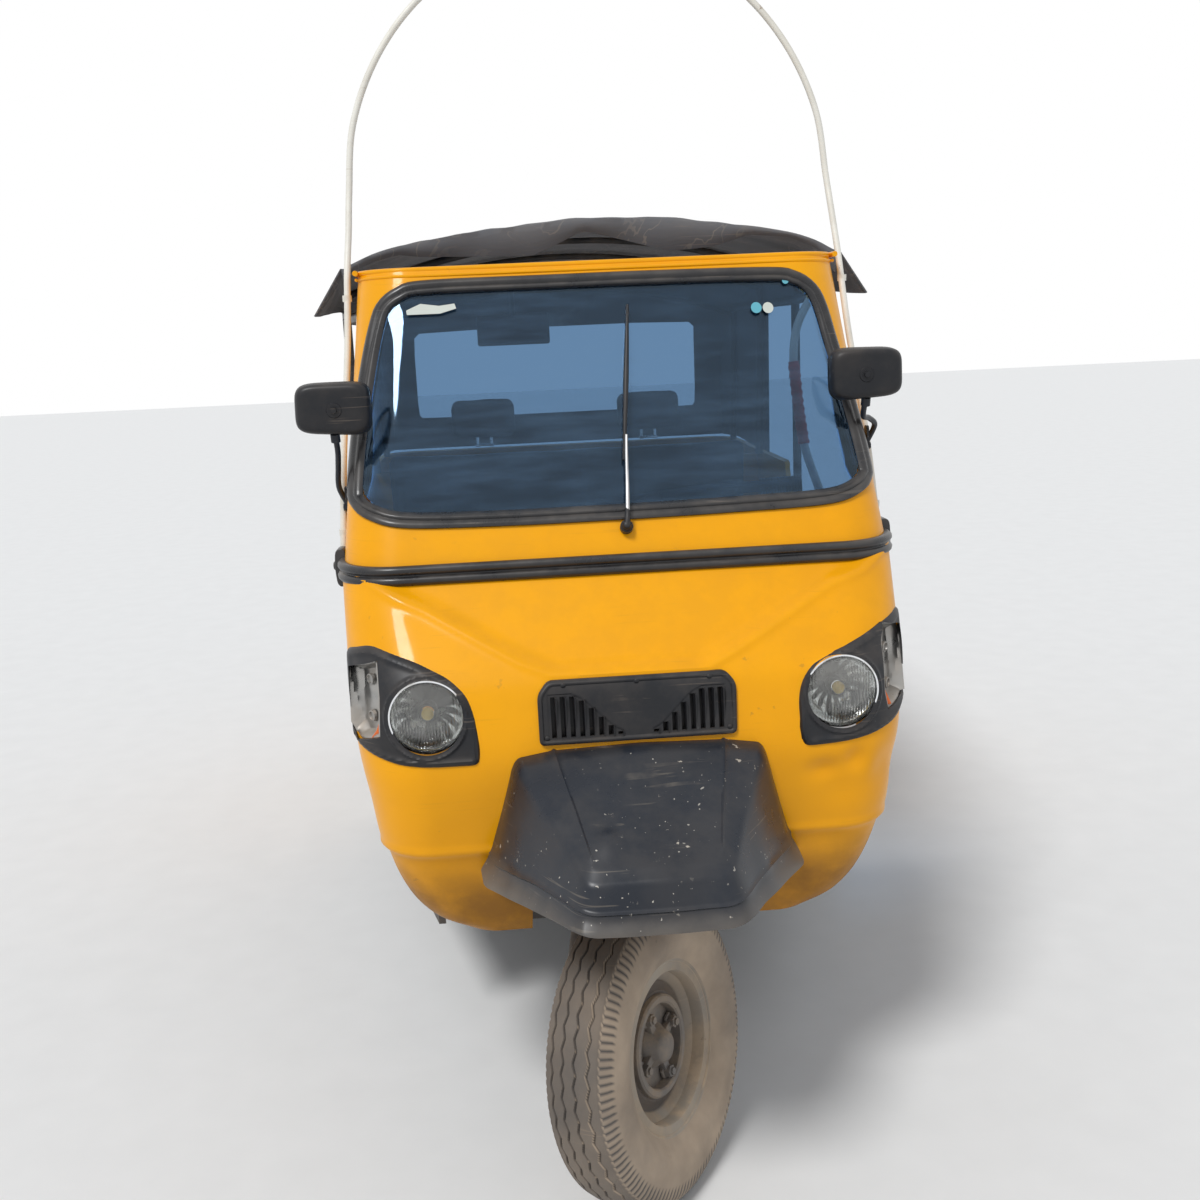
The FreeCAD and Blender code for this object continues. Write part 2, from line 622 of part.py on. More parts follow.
# Floor pan: flat floor, hump over the front wheel, sills along both edges
floor_outline = [("-floor_half_front", "floor_front"), ("floor_half_front", "floor_front"),
                 ("floor_half_rear", "floor_flare"), ("floor_half_rear", "seat_wall_y"),
                 ("-floor_half_rear", "seat_wall_y"), ("-floor_half_rear", "floor_flare")]
floor = put(padded("XY_Plane", [floor_outline], "floor_thickness"),
            0, 0, "floor_top - floor_thickness")
sill = put(padded("XY_Plane", [[
    ("floor_half_front", "floor_front"), ("floor_half_rear", "floor_flare"),
    ("floor_half_rear - sill_wall", "floor_flare"),
    ("floor_half_front - sill_wall", "floor_front")]], "sill_height"),
    0, 0, "floor_top - floor_thickness - sill_height")
hump_top = [(size("floor_front"), size("floor_top")), (310, 500), (240, 700), (0, 765)]
hump_low = [(0, 747), (228, 684), (294, 488), (size("floor_front"),
                                               size("floor_top - floor_thickness"))]
hump = Part.Face(Part.makePolygon([Vector(-600, y, z) for y, z in hump_top + hump_low
                                   + hump_top[:1]])).extrude(Vector(1200, 0, 0))
cowl_base = size("cowl_bottom_height")
narrow = size("cowl_bottom_half - body_wall")
hump_under = hump.common(Part.makeBox(2 * narrow, 900, cowl_base,
                                      Vector(-narrow, -100, 0)))
hump_over = hump.common(cowl_form(size("body_wall"), 60))
head_hole = Part.makeCylinder(size("head_radius"), 900, Vector(), Vector(0, 0, 1))
head_hole.Placement = upright
hump_whole = hump_under.fuse(hump_over).cut(head_hole).cut(neck).cut(flip(neck))
hump_whole = max(hump_whole.Solids, key=lambda solid: solid.Volume)
name("floor_pan", fuse(floor, sill, mirrored(sill), held(hump_whole)))

# Nose cowl: sections lofted outside and inside, then the lamp and grille openings
wall = size("body_wall")
lamp_x, lamp_z, lamp_r = size("lamp_x"), size("lamp_height"), size("lamp_radius")
cowl = cowl_form().cut(cowl_form(wall, 60))
lamp_hole = Part.makeCylinder(lamp_r + 0.3, 260, Vector(lamp_x, -60, lamp_z), Vector(0, 1, 0))
shell_outline = [(lamp_x + 82, lamp_z - 46), (lamp_x + 150, lamp_z - 40),
                 (lamp_x + 150, lamp_z + 112), (lamp_x + 90, lamp_z + 106)]
shell_inner = [(lamp_x + 87, lamp_z - 41), (lamp_x + 146, lamp_z - 36),
               (lamp_x + 146, lamp_z + 107), (lamp_x + 94, lamp_z + 101)]
shell_prism = prism(shell_outline, -60, 118)
grille_hole = prism([(-130, size("louvre_low")), (130, size("louvre_low")),
                     (120, size("louvre_high")), (-120, size("louvre_high"))], -80, 60)
wheel_arch = prism([(-size("arch_half_low"), cowl_base - 1), (size("arch_half_low"), cowl_base - 1),
                    (size("arch_half_high"), size("arch_top")),
                    (-size("arch_half_high"), size("arch_top"))], -80, 160)
for piece in (lamp_hole, flip(lamp_hole), shell_prism, flip(shell_prism), grille_hole,
              wheel_arch):
    cowl = cowl.cut(piece)
name("nose_cowl", held(cowl))

# Black bezel plates round the headlamps, following the cowl
bezel_outline = [(lamp_x - 95, lamp_z - 90), (lamp_x + 64, lamp_z - 80),
                 (lamp_x + 155, lamp_z - 46), (lamp_x + 155, lamp_z + 148),
                 (lamp_x + 95, lamp_z + 128), (lamp_x - 74, lamp_z + 52)]
proud = size("bezel_proud")
bezel = cowl_form(-proud).cut(cowl_form()).common(prism(bezel_outline, -80, 118))
bezel = bezel.cut(Part.makeCylinder(lamp_r + 0.3, 260, Vector(lamp_x, -80, lamp_z),
                                    Vector(0, 1, 0))).cut(prism(shell_outline, -80, 118))
name("headlamp_bezels", both_sides(held(bezel)))

# Headlamp bowls and the broken indicator shells
def revolve_lamp(rows):
    """(radius, depth behind the front) rows turned about the lamp's axis."""
    points = [Vector(radius, size("lamp_front") + depth, 0) for radius, depth in rows]
    face = Part.Face(Part.makePolygon(points + points[:1]))
    solid = face.revolve(Vector(), Vector(0, 1, 0), 360)
    solid.translate(Vector(lamp_x, 0, lamp_z))
    return solid


bowl = revolve_lamp([(lamp_r, 0), (lamp_r, 24), (34, 62), (0, 70), (0, 65), (31, 57),
                     (lamp_r - 4, 20), (lamp_r - 4, 0)])
tray = cowl_form(0.3).cut(cowl_form(size("shell_depth"))).common(prism(shell_outline, -60, 118))
tray = tray.cut(cowl_form(-1).cut(cowl_form(size("shell_depth - shell_wall"), 20))
                .common(prism(shell_inner, -60, 118)))
name("lamp_bowls", both_sides(held(Part.makeCompound([bowl, tray]))))
lens = revolve_lamp([(0, -9), (22, -8), (42, -4), (lamp_r - 4.3, 2), (lamp_r - 4.3, 8), (0, 6)])
name("headlamp_glasses", both_sides(held(lens)))

# Grille: a proud plate on the nose with rows of upright louvres
half_low, half_high = size("grille_half_low"), size("grille_half_high")
grille = cowl_form(-size("grille_proud")).cut(cowl_form()).common(prism(
    [(-half_low, size("grille_low")), (half_low, size("grille_low")),
     (half_high, size("grille_high")), (-half_high, size("grille_high"))], -90, 80))
for column in range(int(size("louvre_count"))):
    x = size("louvre_start") + column * size("louvre_pitch")
    top = size("louvre_high") - 3 - 0.25 * (x - size("louvre_start"))
    low = size("louvre_low") + 3 + 0.03 * (x - size("louvre_start")) ** 1.35
    slot = Part.makeBox(size("louvre_gap"), 200, top - low,
                        Vector(x - size("louvre_gap / 2"), -100, low))
    grille = grille.cut(slot).cut(flip(slot))
name("grille_panel", held(grille))

# Belt moulding: two black beads round the cowl's top edge, with end caps
strip_rows = []
belt, tall, out = size("belt_height"), size("belt_strip_height"), size("belt_strip_proud")
for share, depth in ((-0.5, 3), (-0.34, out), (-0.12, out), (0, 5), (0.12, out), (0.34, out),
                     (0.5, 3)):
    strip_rows.append((belt + share * tall, depth))


def belt_band(outer):
    wires = []
    for height, depth in strip_rows:
        above = max(height - belt, 0) / (size("header_height") - belt)
        below = max(belt - height, 0) / (belt - size("cowl_crease_height"))
        values = []
        for part in ("half", "front", "corner"):
            middle = size("cowl_belt_" + part)
            values.append(middle + above * (size("screen_header_" + part) - middle)
                          + below * (size("cowl_crease_" + part) - middle))
        half, front, corner = values
        grow = depth if outer else 0
        wires.append(plan_outline(height, half + grow, front - grow,
                                  size("belt_strip_back") + (0 if outer else 30), corner + grow))
    return Part.makeLoft(wires, True, True)


front_body = cowl_form().fuse(screen_form())
strip = belt_band(True).cut(belt_band(False))
end_cap = rounded_prism([(0, belt - 38), (26, belt - 38), (26, belt + 34), (0, belt + 34)],
                        6, size("belt_strip_back + pin_clearance"), size("belt_strip_back + 34"))
end_cap.translate(Vector(size("cowl_belt_half") - 6, 0, 0))
end_cap = end_cap.cut(front_body)
name("belt_strip", held(Part.makeCompound([strip, end_cap, flip(end_cap)])))

# Windscreen frame: belt to header with both front pillars, the opening cut out
screen = screen_form().cut(screen_form(size("pillar_wall"), 80))
header_box = Part.makeBox(1200, size("header_run") + 20, size("header_depth"),
                          Vector(-600, size("screen_header_front") - 20,
                                 size("header_height - header_depth")))
screen = joined(screen, [screen_form().common(header_box)])
opening = [(-size("glass_half_low"), size("glass_low")), (size("glass_half_low"),
                                                          size("glass_low")),
           (size("glass_half_high"), size("glass_high")), (-size("glass_half_high"),
                                                           size("glass_high"))]
reach = size("screen_header_front") + 60
opening_prism = rounded_prism(opening, size("glass_corner"), -60, reach)
edge = size("seal_width")
pane_outline = [(x - math.copysign(edge, x), z + (edge if z < 1400 else -edge))
                for x, z in opening]
pane_prism = rounded_prism(pane_outline, size("glass_corner - seal_width / 2"), -60, reach)
name("windscreen_frame", held(screen.cut(opening_prism)))
seal = screen_form(-size("seal_proud")).cut(screen_form(size("pillar_wall") * 0.6))
seal = seal.common(opening_prism).cut(pane_prism)
name("windscreen_seal", held(seal))
pane = screen_form(size("glass_sink")).cut(screen_form(size("glass_sink + glass_thickness")))
name("windscreen_glass", held(pane.common(pane_prism)))

# Front mudguard: a hood over the tyre, folded from a flat top to flared wings
def hood_section(y, points, shrink=0):
    """(x, z) points of one half, mirrored to the other side."""
    rows = [(x - shrink, z - shrink) for x, z in points]
    rows[0] = (rows[0][0], points[0][1] - (60 if shrink else 0))
    whole = [(-x, z) for x, z in rows] + [(x, z) for x, z in reversed(rows)]
    return Part.makePolygon([Vector(x, y, z) for x, z in whole + whole[:1]])


guard_rows = [(90, [(272, 612), (222, 838), (120, 842)]),
              (-45, [(267, 610), (207, 826), (118, 836)]),
              (-215, [(160, 622), (126, 680), (98, 708)]),
              (-300, [(122, 630), (117, 640), (94, 658)])]
guard_skin = size("mudguard_wall")
outer = Part.makeLoft([hood_section(y, rows) for y, rows in guard_rows], True, True)
inner_rows = [(y + (guard_skin if index == 3 else 0), rows)
              for index, (y, rows) in enumerate(guard_rows)]
inner_rows[0] = (110, inner_rows[0][1])
inner = Part.makeLoft([hood_section(y, rows, guard_skin) for y, rows in inner_rows], True, True)
guard = outer.cut(inner).cut(cowl_form())
guard = max(guard.Solids, key=lambda solid: solid.Volume)
name("front_mudguard", held(guard))

# Wiper: pivot boss on the frame, arm and blade in front of the glass
slope = (size("screen_header_front - screen_belt_front")
         / size("header_height - belt_height"))


def screen_y(height):
    return size("screen_belt_front") + slope * (height - belt)


pivot_z = size("glass_low") - 18
normal = Vector(0, -1, slope).normalize()
pivot = Vector(12, screen_y(pivot_z), pivot_z)
boss = Part.makeCylinder(11, 16 + 10, pivot - normal * 10, normal).cut(screen_form())
arm_end = Vector(22, screen_y(1330), 1330) + normal * 14
arm = tube_run([pivot + normal * 14, arm_end], 4)
blade_low = Vector(16, screen_y(1290), 1290) + normal * 12
blade_high = Vector(44, screen_y(1560), 1560) + normal * 12
name("wiper", held(boss.multiFuse([arm, tube_run([blade_low, blade_high], 5)])))

# Mirrors: bent arms from the pillars, housings and glasses
mirror_y = size("mirror_ahead")
sides = (("right", -1, -492, 1407, 1232), ("left", 1, 461, 1425, 1296))


def pillar_half(height):
    """Half the frame's width at a height between the belt and the header."""
    share = (height - belt) / (size("header_height") - belt)
    return size("screen_belt_half") + share * (size("screen_header_half")
                                               - size("screen_belt_half"))



arms, housings, faces = [], [], []
width, tall, deep = size("mirror_width"), size("mirror_tall"), size("mirror_deep")
arm_r = size("mirror_arm_radius")
for side, sign, x, z, foot_z in sides:
    shell = Part.makeBox(width, deep, tall, Vector(x - width / 2, mirror_y - deep / 2,
                                                   z - tall / 2))
    front_edges = [edge for edge in shell.Edges
                   if abs(edge.tangentAt(edge.FirstParameter).y) > 0.99]
    shell = shell.makeFillet(26, front_edges)
    nose_edges = [edge for edge in shell.Edges
                  if edge.BoundBox.YMax < mirror_y - deep / 2 + 1]
    shell = shell.makeFillet(12, nose_edges)
    recess = Part.makeBox(width - 10, 4, tall - 10,
                          Vector(x - width / 2 + 5, mirror_y + deep / 2 - 4, z - tall / 2 + 5))
    recess = recess.makeFillet(21, [edge for edge in recess.Edges
                                    if abs(edge.tangentAt(edge.FirstParameter).y) > 0.99])
    housings.append(shell.cut(recess))
    faces.append(recess)
    foot = Vector(sign * (pillar_half(foot_z) - 8), 320, foot_z)
    bend = Vector(sign * (pillar_half(foot_z) + 9), 300, foot_z + 25)
    top = Vector(x - sign * 0, mirror_y + deep / 2 + 12, z - tall / 2 - 26)
    tip = Vector(x, mirror_y, z - tall / 2)
    arms.append(tube_run([foot, bend, top, tip], arm_r).cut(screen_form()).cut(shell))
name("mirror_arms", held(Part.makeCompound([max(arm.Solids, key=lambda solid: solid.Volume)
                                            for arm in arms])))
name("mirror_housings", held(Part.makeCompound(housings)))
name("mirror_glasses", held(Part.makeCompound(faces)))

# Hoop: a round rod up both pillar gutters and over the hood in an arc
hoop_half, line_z = size("hoop_half"), size("hoop_spring_line")
hoop_y = size("hoop_y")
rod = size("hoop_radius")
foot = Vector(size("cowl_belt_half") + rod * 0.6, size("belt_strip_back + 45"), belt + 30)
header = Vector(hoop_half + rod, hoop_y - 60, size("header_height"))
spring = Vector(hoop_half, hoop_y, line_z)
crown = Vector(0, hoop_y + 40, line_z + hoop_half)
arc = Part.Arc(Vector(-spring.x, spring.y, spring.z), crown, spring).toShape()
rim_wire = Part.Wire([arc])
start_tangent = arc.tangentAt(arc.FirstParameter)
start_point = arc.valueAt(arc.FirstParameter)
arch = rim_wire.makePipeShell([Part.Wire(Part.makeCircle(rod, start_point, start_tangent))],
                              True, False)
legs = [tube_run([foot, header, spring], rod)]
legs.append(flip(legs[0]))
balls = [ball(spring, rod), ball(Vector(-spring.x, spring.y, spring.z), rod)]
hoop = arch.multiFuse(legs + balls).cut(screen_form())
name("hoop_rod", held(max(hoop.Solids, key=lambda solid: solid.Volume)))

# Dash shelf inside the cowl, with a hole round the column
shelf = cowl_form(wall + 0).common(Part.makeBox(1200, 420, 16, Vector(-600, 0, 1052)))
column_hole = Part.makeCylinder(size("column_radius") + 9, 900, Vector(0, 0, 300),
                                Vector(0, 0, 1))
column_hole.Placement = upright
name("dash_shelf", held(shelf.cut(column_hole)))

# Driver's seat: box base on the floor, cushion, backrest on the partition
driver_top = "driver_seat_z"
driver_rear = "driver_front + driver_depth"
name("driver_seat_base", cut(
    block("-driver_half", "driver_half", "driver_front", driver_rear, "floor_top", driver_top),
    block("20 - driver_half", "driver_half - 20", "driver_front - 10",
          driver_rear + " - 20", "floor_top + 60", driver_top + " - 20")))
name("driver_cushion", rounded(block(
    "-driver_half", "driver_half", "driver_front - 10", driver_rear + " + 10", driver_top,
    driver_top + " + cushion_thickness"), "28"))
partition_top = "driver_seat_z + 330"
name("driver_backrest", rounded(block(
    "-driver_half", "driver_half", "partition_y - 75", "partition_y",
    driver_top + " + cushion_thickness + 40", partition_top), "26"))

# Partition between driver and passengers, hollowed above the knee rail
name("partition", cut(
    block("30 - floor_half_rear", "floor_half_rear - 30", "partition_y", "partition_y + 20",
          "floor_top", partition_top),
    block("-floor_half_rear + 90", "-driver_half - 40", "partition_y - 10",
          "partition_y + 30", "floor_top + 420", partition_top + " - 30"),
    block("driver_half + 40", "floor_half_rear - 90", "partition_y - 10",
          "partition_y + 30", "floor_top + 420", partition_top + " - 30")))

# Rear tub: curved side panels and tail, with the wheel arches cut and the wheel houses
tub = tub_form().cut(tub_form(size("tub_wall")))
rear_z = size("tyre_diameter / 2")
arch_cut = Part.makeCylinder(size("arch_radius"), 2000,
                             Vector(-1000, size("wheelbase"), rear_z), Vector(1, 0, 0))
tub = tub.cut(arch_cut)
inside = tub_form(size("tub_wall"))
house_outer = size("arch_radius + wheel_house_wall")
house_x = size("wheel_house_inner")
house = Part.makeCylinder(house_outer, 400, Vector(house_x, size("wheelbase"), rear_z),
                          Vector(1, 0, 0))
house = house.cut(Part.makeCylinder(size("arch_radius"), 400,
                                    Vector(house_x + size("wheel_house_wall"),
                                           size("wheelbase"), rear_z), Vector(1, 0, 0)))
arm_window = Part.makeBox(80, 300, 250, Vector(house_x - 20, size("wheelbase") - 150, 0))
house = house.cut(arm_window).common(inside)
tail_y = size("tub_back - 272")
tail_box = Part.makeBox(2 * size("tail_half"), 400, 2000, Vector(-size("tail_half"), tail_y, 0))
sides_shape = tub.cut(tail_box)
left_half = Part.makeBox(1000, 4000, 2000, Vector(0, 0, 0))
left_side = sides_shape.common(left_half).fuse(house.common(left_half)).removeSplitter()
name("rear_body_sides", held(Part.makeCompound([left_side, flip(left_side)])))
door_gap = size("door_gap")
door_box = Part.makeBox(2 * size("door_half"), 400, size("door_high - door_low"),
                        Vector(-size("door_half"), tail_y, size("door_low")))
door_hole = Part.makeBox(2 * (size("door_half") + door_gap), 400,
                         size("door_high - door_low") + 2 * door_gap,
                         Vector(-size("door_half") - door_gap, tail_y,
                                size("door_low") - door_gap))
tail = tub.common(tail_box)
door_skin = tail.common(door_box)
hinge_z = size("door_high") + door_gap / 2 - 2
hinge_y = size("tub_back") + size("hinge_radius") - 3
knuckle_x, knuckle_len = size("door_half") - 130, 60
pin_r, ring_r = size("hinge_pin"), size("hinge_radius")
knuckle = Part.makeCylinder(ring_r, knuckle_len, Vector(knuckle_x, hinge_y, hinge_z),
                            Vector(1, 0, 0))
leaf = Part.makeBox(knuckle_len, 5, 40, Vector(knuckle_x, hinge_y - 5 - 3, hinge_z - 44))
leaf = leaf.fuse(Part.makeBox(knuckle_len, 8, 8, Vector(knuckle_x, hinge_y - 8, hinge_z - 8)))
bore = Part.makeCylinder(pin_r + 0.3, knuckle_len + 20, Vector(knuckle_x - 10, hinge_y, hinge_z),
                         Vector(1, 0, 0))
knuckle = knuckle.fuse(leaf).cut(bore)
pin = Part.makeCylinder(pin_r, knuckle_len + 40, Vector(knuckle_x - 20, hinge_y, hinge_z),
                        Vector(1, 0, 0))
lugs = []
notches = []
for x in (knuckle_x - 20, knuckle_x + knuckle_len + 5):
    lugs.append(Part.makeBox(15, 24, 12, Vector(x, hinge_y - 20, hinge_z + ring_r)))
    lugs.append(Part.makeBox(15, 2 * ring_r, 28, Vector(x, hinge_y - ring_r, hinge_z - ring_r)))
    notches.append(Part.makeCylinder(17, 25, Vector(x - 5, hinge_y, hinge_z), Vector(1, 0, 0)))
hinge = pin.multiFuse(lugs)
for notch in notches:
    door_skin = door_skin.cut(notch).cut(flip(notch))
door_swing = Part.makeCylinder(ring_r + 5, knuckle_len + 10,
                               Vector(knuckle_x - 5, hinge_y, hinge_z), Vector(1, 0, 0))
tail = tail.cut(door_hole).cut(door_swing).cut(flip(door_swing))
name("tail_panel", held(joined(tail, [hinge, flip(hinge)])))
handle = tube_run([Vector(-60, size("tub_back") - 2, 560), Vector(-60, size("tub_back") + 18, 560),
                   Vector(60, size("tub_back") + 18, 560), Vector(60, size("tub_back") - 2, 560)], 6)
name("engine_door", held(joined(door_skin, [knuckle, flip(knuckle), handle])))

# Rear seat: front wall, plate over the wheel houses and the bulkhead behind
plate_low = rear_z + house_outer
seat_wall_y, bulk_y = size("seat_wall_y"), size("bulkhead_y")
floor_z = size("floor_top")
seat = Part.makeBox(1400, 20, plate_low - floor_z, Vector(-700, seat_wall_y - 20, floor_z))
seat = seat.fuse(Part.makeBox(1400, bulk_y + 20 - seat_wall_y + 20,
                              size("seat_plate_thickness"),
                              Vector(-700, seat_wall_y - 20, plate_low)))
seat = seat.fuse(Part.makeBox(1400, 20, size("bulkhead_top") - plate_low,
                              Vector(-700, bulk_y, plate_low)))
seat = seat.common(inside).cut(house).cut(flip(house))
name("passenger_seat_base", held(seat.removeSplitter()))
seat_top = plate_low + size("seat_plate_thickness")
seat_half = size("passenger_half")
thick = size("cushion_thickness")
passenger_cushion = Part.makeBox(2 * seat_half, bulk_y - seat_wall_y - 30, thick,
                                 Vector(-seat_half, seat_wall_y - 30, seat_top))
name("passenger_cushion", held(passenger_cushion.makeFillet(28, passenger_cushion.Edges)))
back_thick = size("backrest_thickness")
back = Part.makeBox(2 * seat_half, back_thick, size("backrest_top") - seat_top - thick - 2,
                    Vector(-seat_half, bulk_y - back_thick, seat_top + thick + 2))
name("passenger_backrest", held(back.makeFillet(30, back.Edges)))
rest_half, rest_x, rest_top = size("headrest_half"), size("headrest_x"), size("headrest_top")
rest = Part.makeBox(2 * rest_half, 75, rest_top - size("backrest_top") - 20,
                    Vector(rest_x - rest_half, bulk_y - 85, size("backrest_top") + 20))
rest = rest.makeFillet(26, rest.Edges)
stem_post = Part.makeBox(60, 16, 80, Vector(rest_x - 30, bulk_y - 56, size("backrest_top")))
name("headrests", both_sides(held(rest.fuse(stem_post))))

# Lamps and bumper at the tail
lamp_w, lamp_t = size("lamp_box_width"), size("lamp_box_tall")
tail_lamp = rounded_prism([(0, 0), (lamp_w, 0), (lamp_w, lamp_t), (0, lamp_t)], 12,
                          size("tub_back") - 40, size("tub_back") + 24)
tail_lamp.translate(Vector(size("tail_half") + 12, 0, 900))
name("tail_lamps", both_sides(held(tail_lamp.cut(tub_form()))))
rear_end = "overall_length - front_reach"
bumper_bar = cut(
    block("-bumper_half", "bumper_half", rear_end + " - bumper_thickness", rear_end,
          "bumper_low", "bumper_high"),
    *[bar("Y", "bumper_hole_radius", "2 * bumper_thickness", "%d * bumper_hole_spacing / 2" % sign,
          rear_end + " - 1.5 * bumper_thickness", "(bumper_low + bumper_high) / 2")
      for sign in (1, -1)])
name("rear_bumper", fuse(bumper_bar, *[
    block("%d * member_x - 20" % sign, "%d * member_x + 20" % sign, "member_rear",
          rear_end + " - bumper_thickness", member_low, member_top) for sign in (1, -1)]))

# Canvas hood: one shell over the cab and round the back, the doorways left open
hood_wall = size("canopy_wall")
hood_outer = Part.makeLoft([hood_row(row) for row, *_ in HOOD], True, True)
inner_wires = [hood_row(row, hood_wall) for row, *_ in HOOD]
inner_wires[0].translate(Vector(0, -30, 0))
inner_wires[-1].translate(Vector(0, -hood_wall, 0))
hood_inner = Part.makeLoft(inner_wires, True, True)
doorway = Part.makeBox(1600, size("door_opening_back") - size("canopy_front") + 60,
                       size("door_opening_top") - size("tub_top_height") + 60,
                       Vector(-800, size("canopy_front") - 60, size("tub_top_height") - 60))
window = rounded_prism([(-size("window_half"), size("window_low")),
                        (size("window_half"), size("window_low")),
                        (size("window_half"), size("window_high")),
                        (-size("window_half"), size("window_high"))], 50, tail_y + 60, tail_y + 400)
canopy = hood_outer.cut(hood_inner).cut(doorway).cut(window)
name("canopy", held(canopy))


# Hood frame: side rails, bows under the cloth and door posts
def hood_at(along):
    rows = [(size(row + "_along"), size(row + "_half"), size(row + "_bend"), size(row + "_crown"))
            for row, *_ in HOOD]
    for low_row, high_row in zip(rows, rows[1:]):
        if along <= high_row[0]:
            break
    share = (along - low_row[0]) / (high_row[0] - low_row[0])
    return [a + share * (b - a) for a, b in zip(low_row[1:], high_row[1:])]


bow_r, rail_r = size("bow_radius"), size("rail_radius")
frame_pieces = []
rail_z = size("door_opening_top") - 5


def rail_point(along):
    half, bend, crown_z = hood_at(along)
    return Vector(half - hood_wall - rail_r - 0.5, along, rail_z)


front_point = Vector(size("screen_header_half") - 16, size("header_back"), rail_z)
cab_y, post_y = size("partition_y") + 35, size("door_opening_back") + 60
tail_bow_y = size("member_rear")
rail = tube_run([front_point, rail_point(cab_y), rail_point(post_y), rail_point(tail_bow_y)], rail_r)
post_front = rail_point(cab_y)
post = tube_run([Vector(size("floor_half_rear") - 18, cab_y, floor_z), post_front], rail_r)
rear_post = tube_run([Vector(rail_point(post_y).x - 12, post_y, size("tub_top_height")),
                      rail_point(post_y)], rail_r)
tail_post = tube_run([Vector(size("tub_top_half") - 30, tail_bow_y, size("tub_top_height")),
                      rail_point(tail_bow_y)], rail_r)
for piece in (rail, post, rear_post, tail_post):
    frame_pieces += [piece, flip(piece)]
frame_pieces += [ball(point, rail_r) for point in
                 (rail_point(cab_y), rail_point(post_y), rail_point(tail_bow_y))]
frame_pieces += [flip(piece) for piece in frame_pieces[-3:]]
for along in (780, cab_y, post_y, tail_bow_y):
    half, bend, crown_z = hood_at(along)
    start = rail_point(along)
    shoulder = Vector(start.x - 4, along, bend - hood_wall - bow_r - 4)
    bow_arc = Part.Arc(Vector(-shoulder.x, along, shoulder.z),
                       Vector(0, along, crown_z - hood_wall - bow_r - 0.5), shoulder).toShape()
    first, direction = bow_arc.valueAt(bow_arc.FirstParameter), \
        bow_arc.tangentAt(bow_arc.FirstParameter)
    bow = Part.Wire([bow_arc]).makePipeShell(
        [Part.Wire(Part.makeCircle(bow_r, first, direction))], True, False)
    leg_piece = tube_run([start, shoulder], bow_r)
    elbow = ball(shoulder, bow_r)
    frame_pieces += [bow, leg_piece, flip(leg_piece), elbow, flip(elbow)]
hood_frame = frame_pieces[0].multiFuse(frame_pieces[1:])
for neighbour in (screen_form(), canopy, left_side, flip(left_side), seat):
    hood_frame = hood_frame.cut(neighbour)
name("canopy_frame", held(max(hood_frame.Solids, key=lambda solid: solid.Volume)))

# Grab pole beside the driver with its sleeve, and the mirror under the header
pole_bend, pole_elbow = Vector(401, 585, 1268), Vector(373, 598, 1448)
pole = tube_run([Vector(440, 286, 1068), pole_bend, pole_elbow, Vector(450, 590, rail_z)], 9)
sleeve = tube_run([pole_bend, pole_elbow], 13)
pole = joined(pole, [sleeve]).cut(screen).cut(shelf).cut(hood_frame)
name("grab_pole", held(max(pole.Solids, key=lambda solid: solid.Volume)))
inner_mirror = rounded(block("-236", "-96", "470", "484", "1500", "1560"), "5")
header_under = size("header_height - header_depth")
mirror_stalk = held(tube_run([Vector(-166, 430, header_under), Vector(-166, 430, 1600),
                              Vector(-166, 477, 1555)], 5))
name("inner_mirror", fuse(inner_mirror, mirror_stalk))

# Engine as one block with its output shafts, and the silencer behind it
engine = fuse(
    block("-engine_half", "engine_half", "engine_front", "engine_rear", "engine_low",
          "engine_high"),
    bar("X", "18", "2 * (rear_track / 2 - 180)", "180 - rear_track / 2", "wheelbase",
        "tyre_diameter / 2"))
name("engine_block", engine)
name("silencer", fuse(
    bar("X", "silencer_radius", "360", "-180", "engine_rear + 62", "440"),
    bar("Y", "14", "30", "60", "engine_rear", "440"),
    bar("X", "12", "110", "-290", "engine_rear + 62", "430")))

# Trailing arms with the rear stub axles, and the springs up to the seat plate
hub_inner = size("rear_track / 2 - drum_depth - running_clearance")
pin_z = size("floor_top - floor_thickness - member_height / 2")
pivot_point = Vector(330, size("seat_wall_y + 30"), pin_z)
arm_end = Vector(hub_inner - 40, size("wheelbase"), rear_z)
arm = tube_run([pivot_point, arm_end], 20)
boss = Part.makeCylinder(24, 60, Vector(310, pivot_point.y, pin_z), Vector(1, 0, 0))
pin_bore = Part.makeCylinder(14, 800, Vector(-100, pivot_point.y, pin_z), Vector(1, 0, 0))
carrier = Part.makeCylinder(46, 34, Vector(hub_inner - 34, size("wheelbase"), rear_z),
                            Vector(1, 0, 0))
stub = Part.makeCylinder(size("axle_radius"), 80, Vector(hub_inner - 10, size("wheelbase"),
                                                         rear_z), Vector(1, 0, 0))
strut_x, strut_y, shoe_top = arm_end.x - 48, size("wheelbase") - 80, rear_z + 42
shoe = Part.makeBox(66, 50, 44, Vector(strut_x - 26, strut_y - 25, shoe_top - 44))
rear_arm = joined(arm, [boss, carrier, stub, shoe]).cut(pin_bore)
name("rear_arms", held(Part.makeCompound([rear_arm, flip(rear_arm)])))
coil_rows = [Vector(0, 0, shoe_top), Vector(24, 0, shoe_top), Vector(24, 0, shoe_top + 6)]
coil_low, coil_high = shoe_top + 6, plate_low - 6
for coil in range(6):
    pitch = (coil_high - coil_low) / 6
    base = coil_low + pitch * coil
    coil_rows += [Vector(20, 0, base + pitch * 0.1), Vector(33, 0, base + pitch * 0.4),
                  Vector(33, 0, base + pitch * 0.65)]
coil_rows += [Vector(20, 0, coil_high), Vector(33, 0, coil_high + 1), Vector(33, 0, plate_low),
              Vector(0, 0, plate_low)]
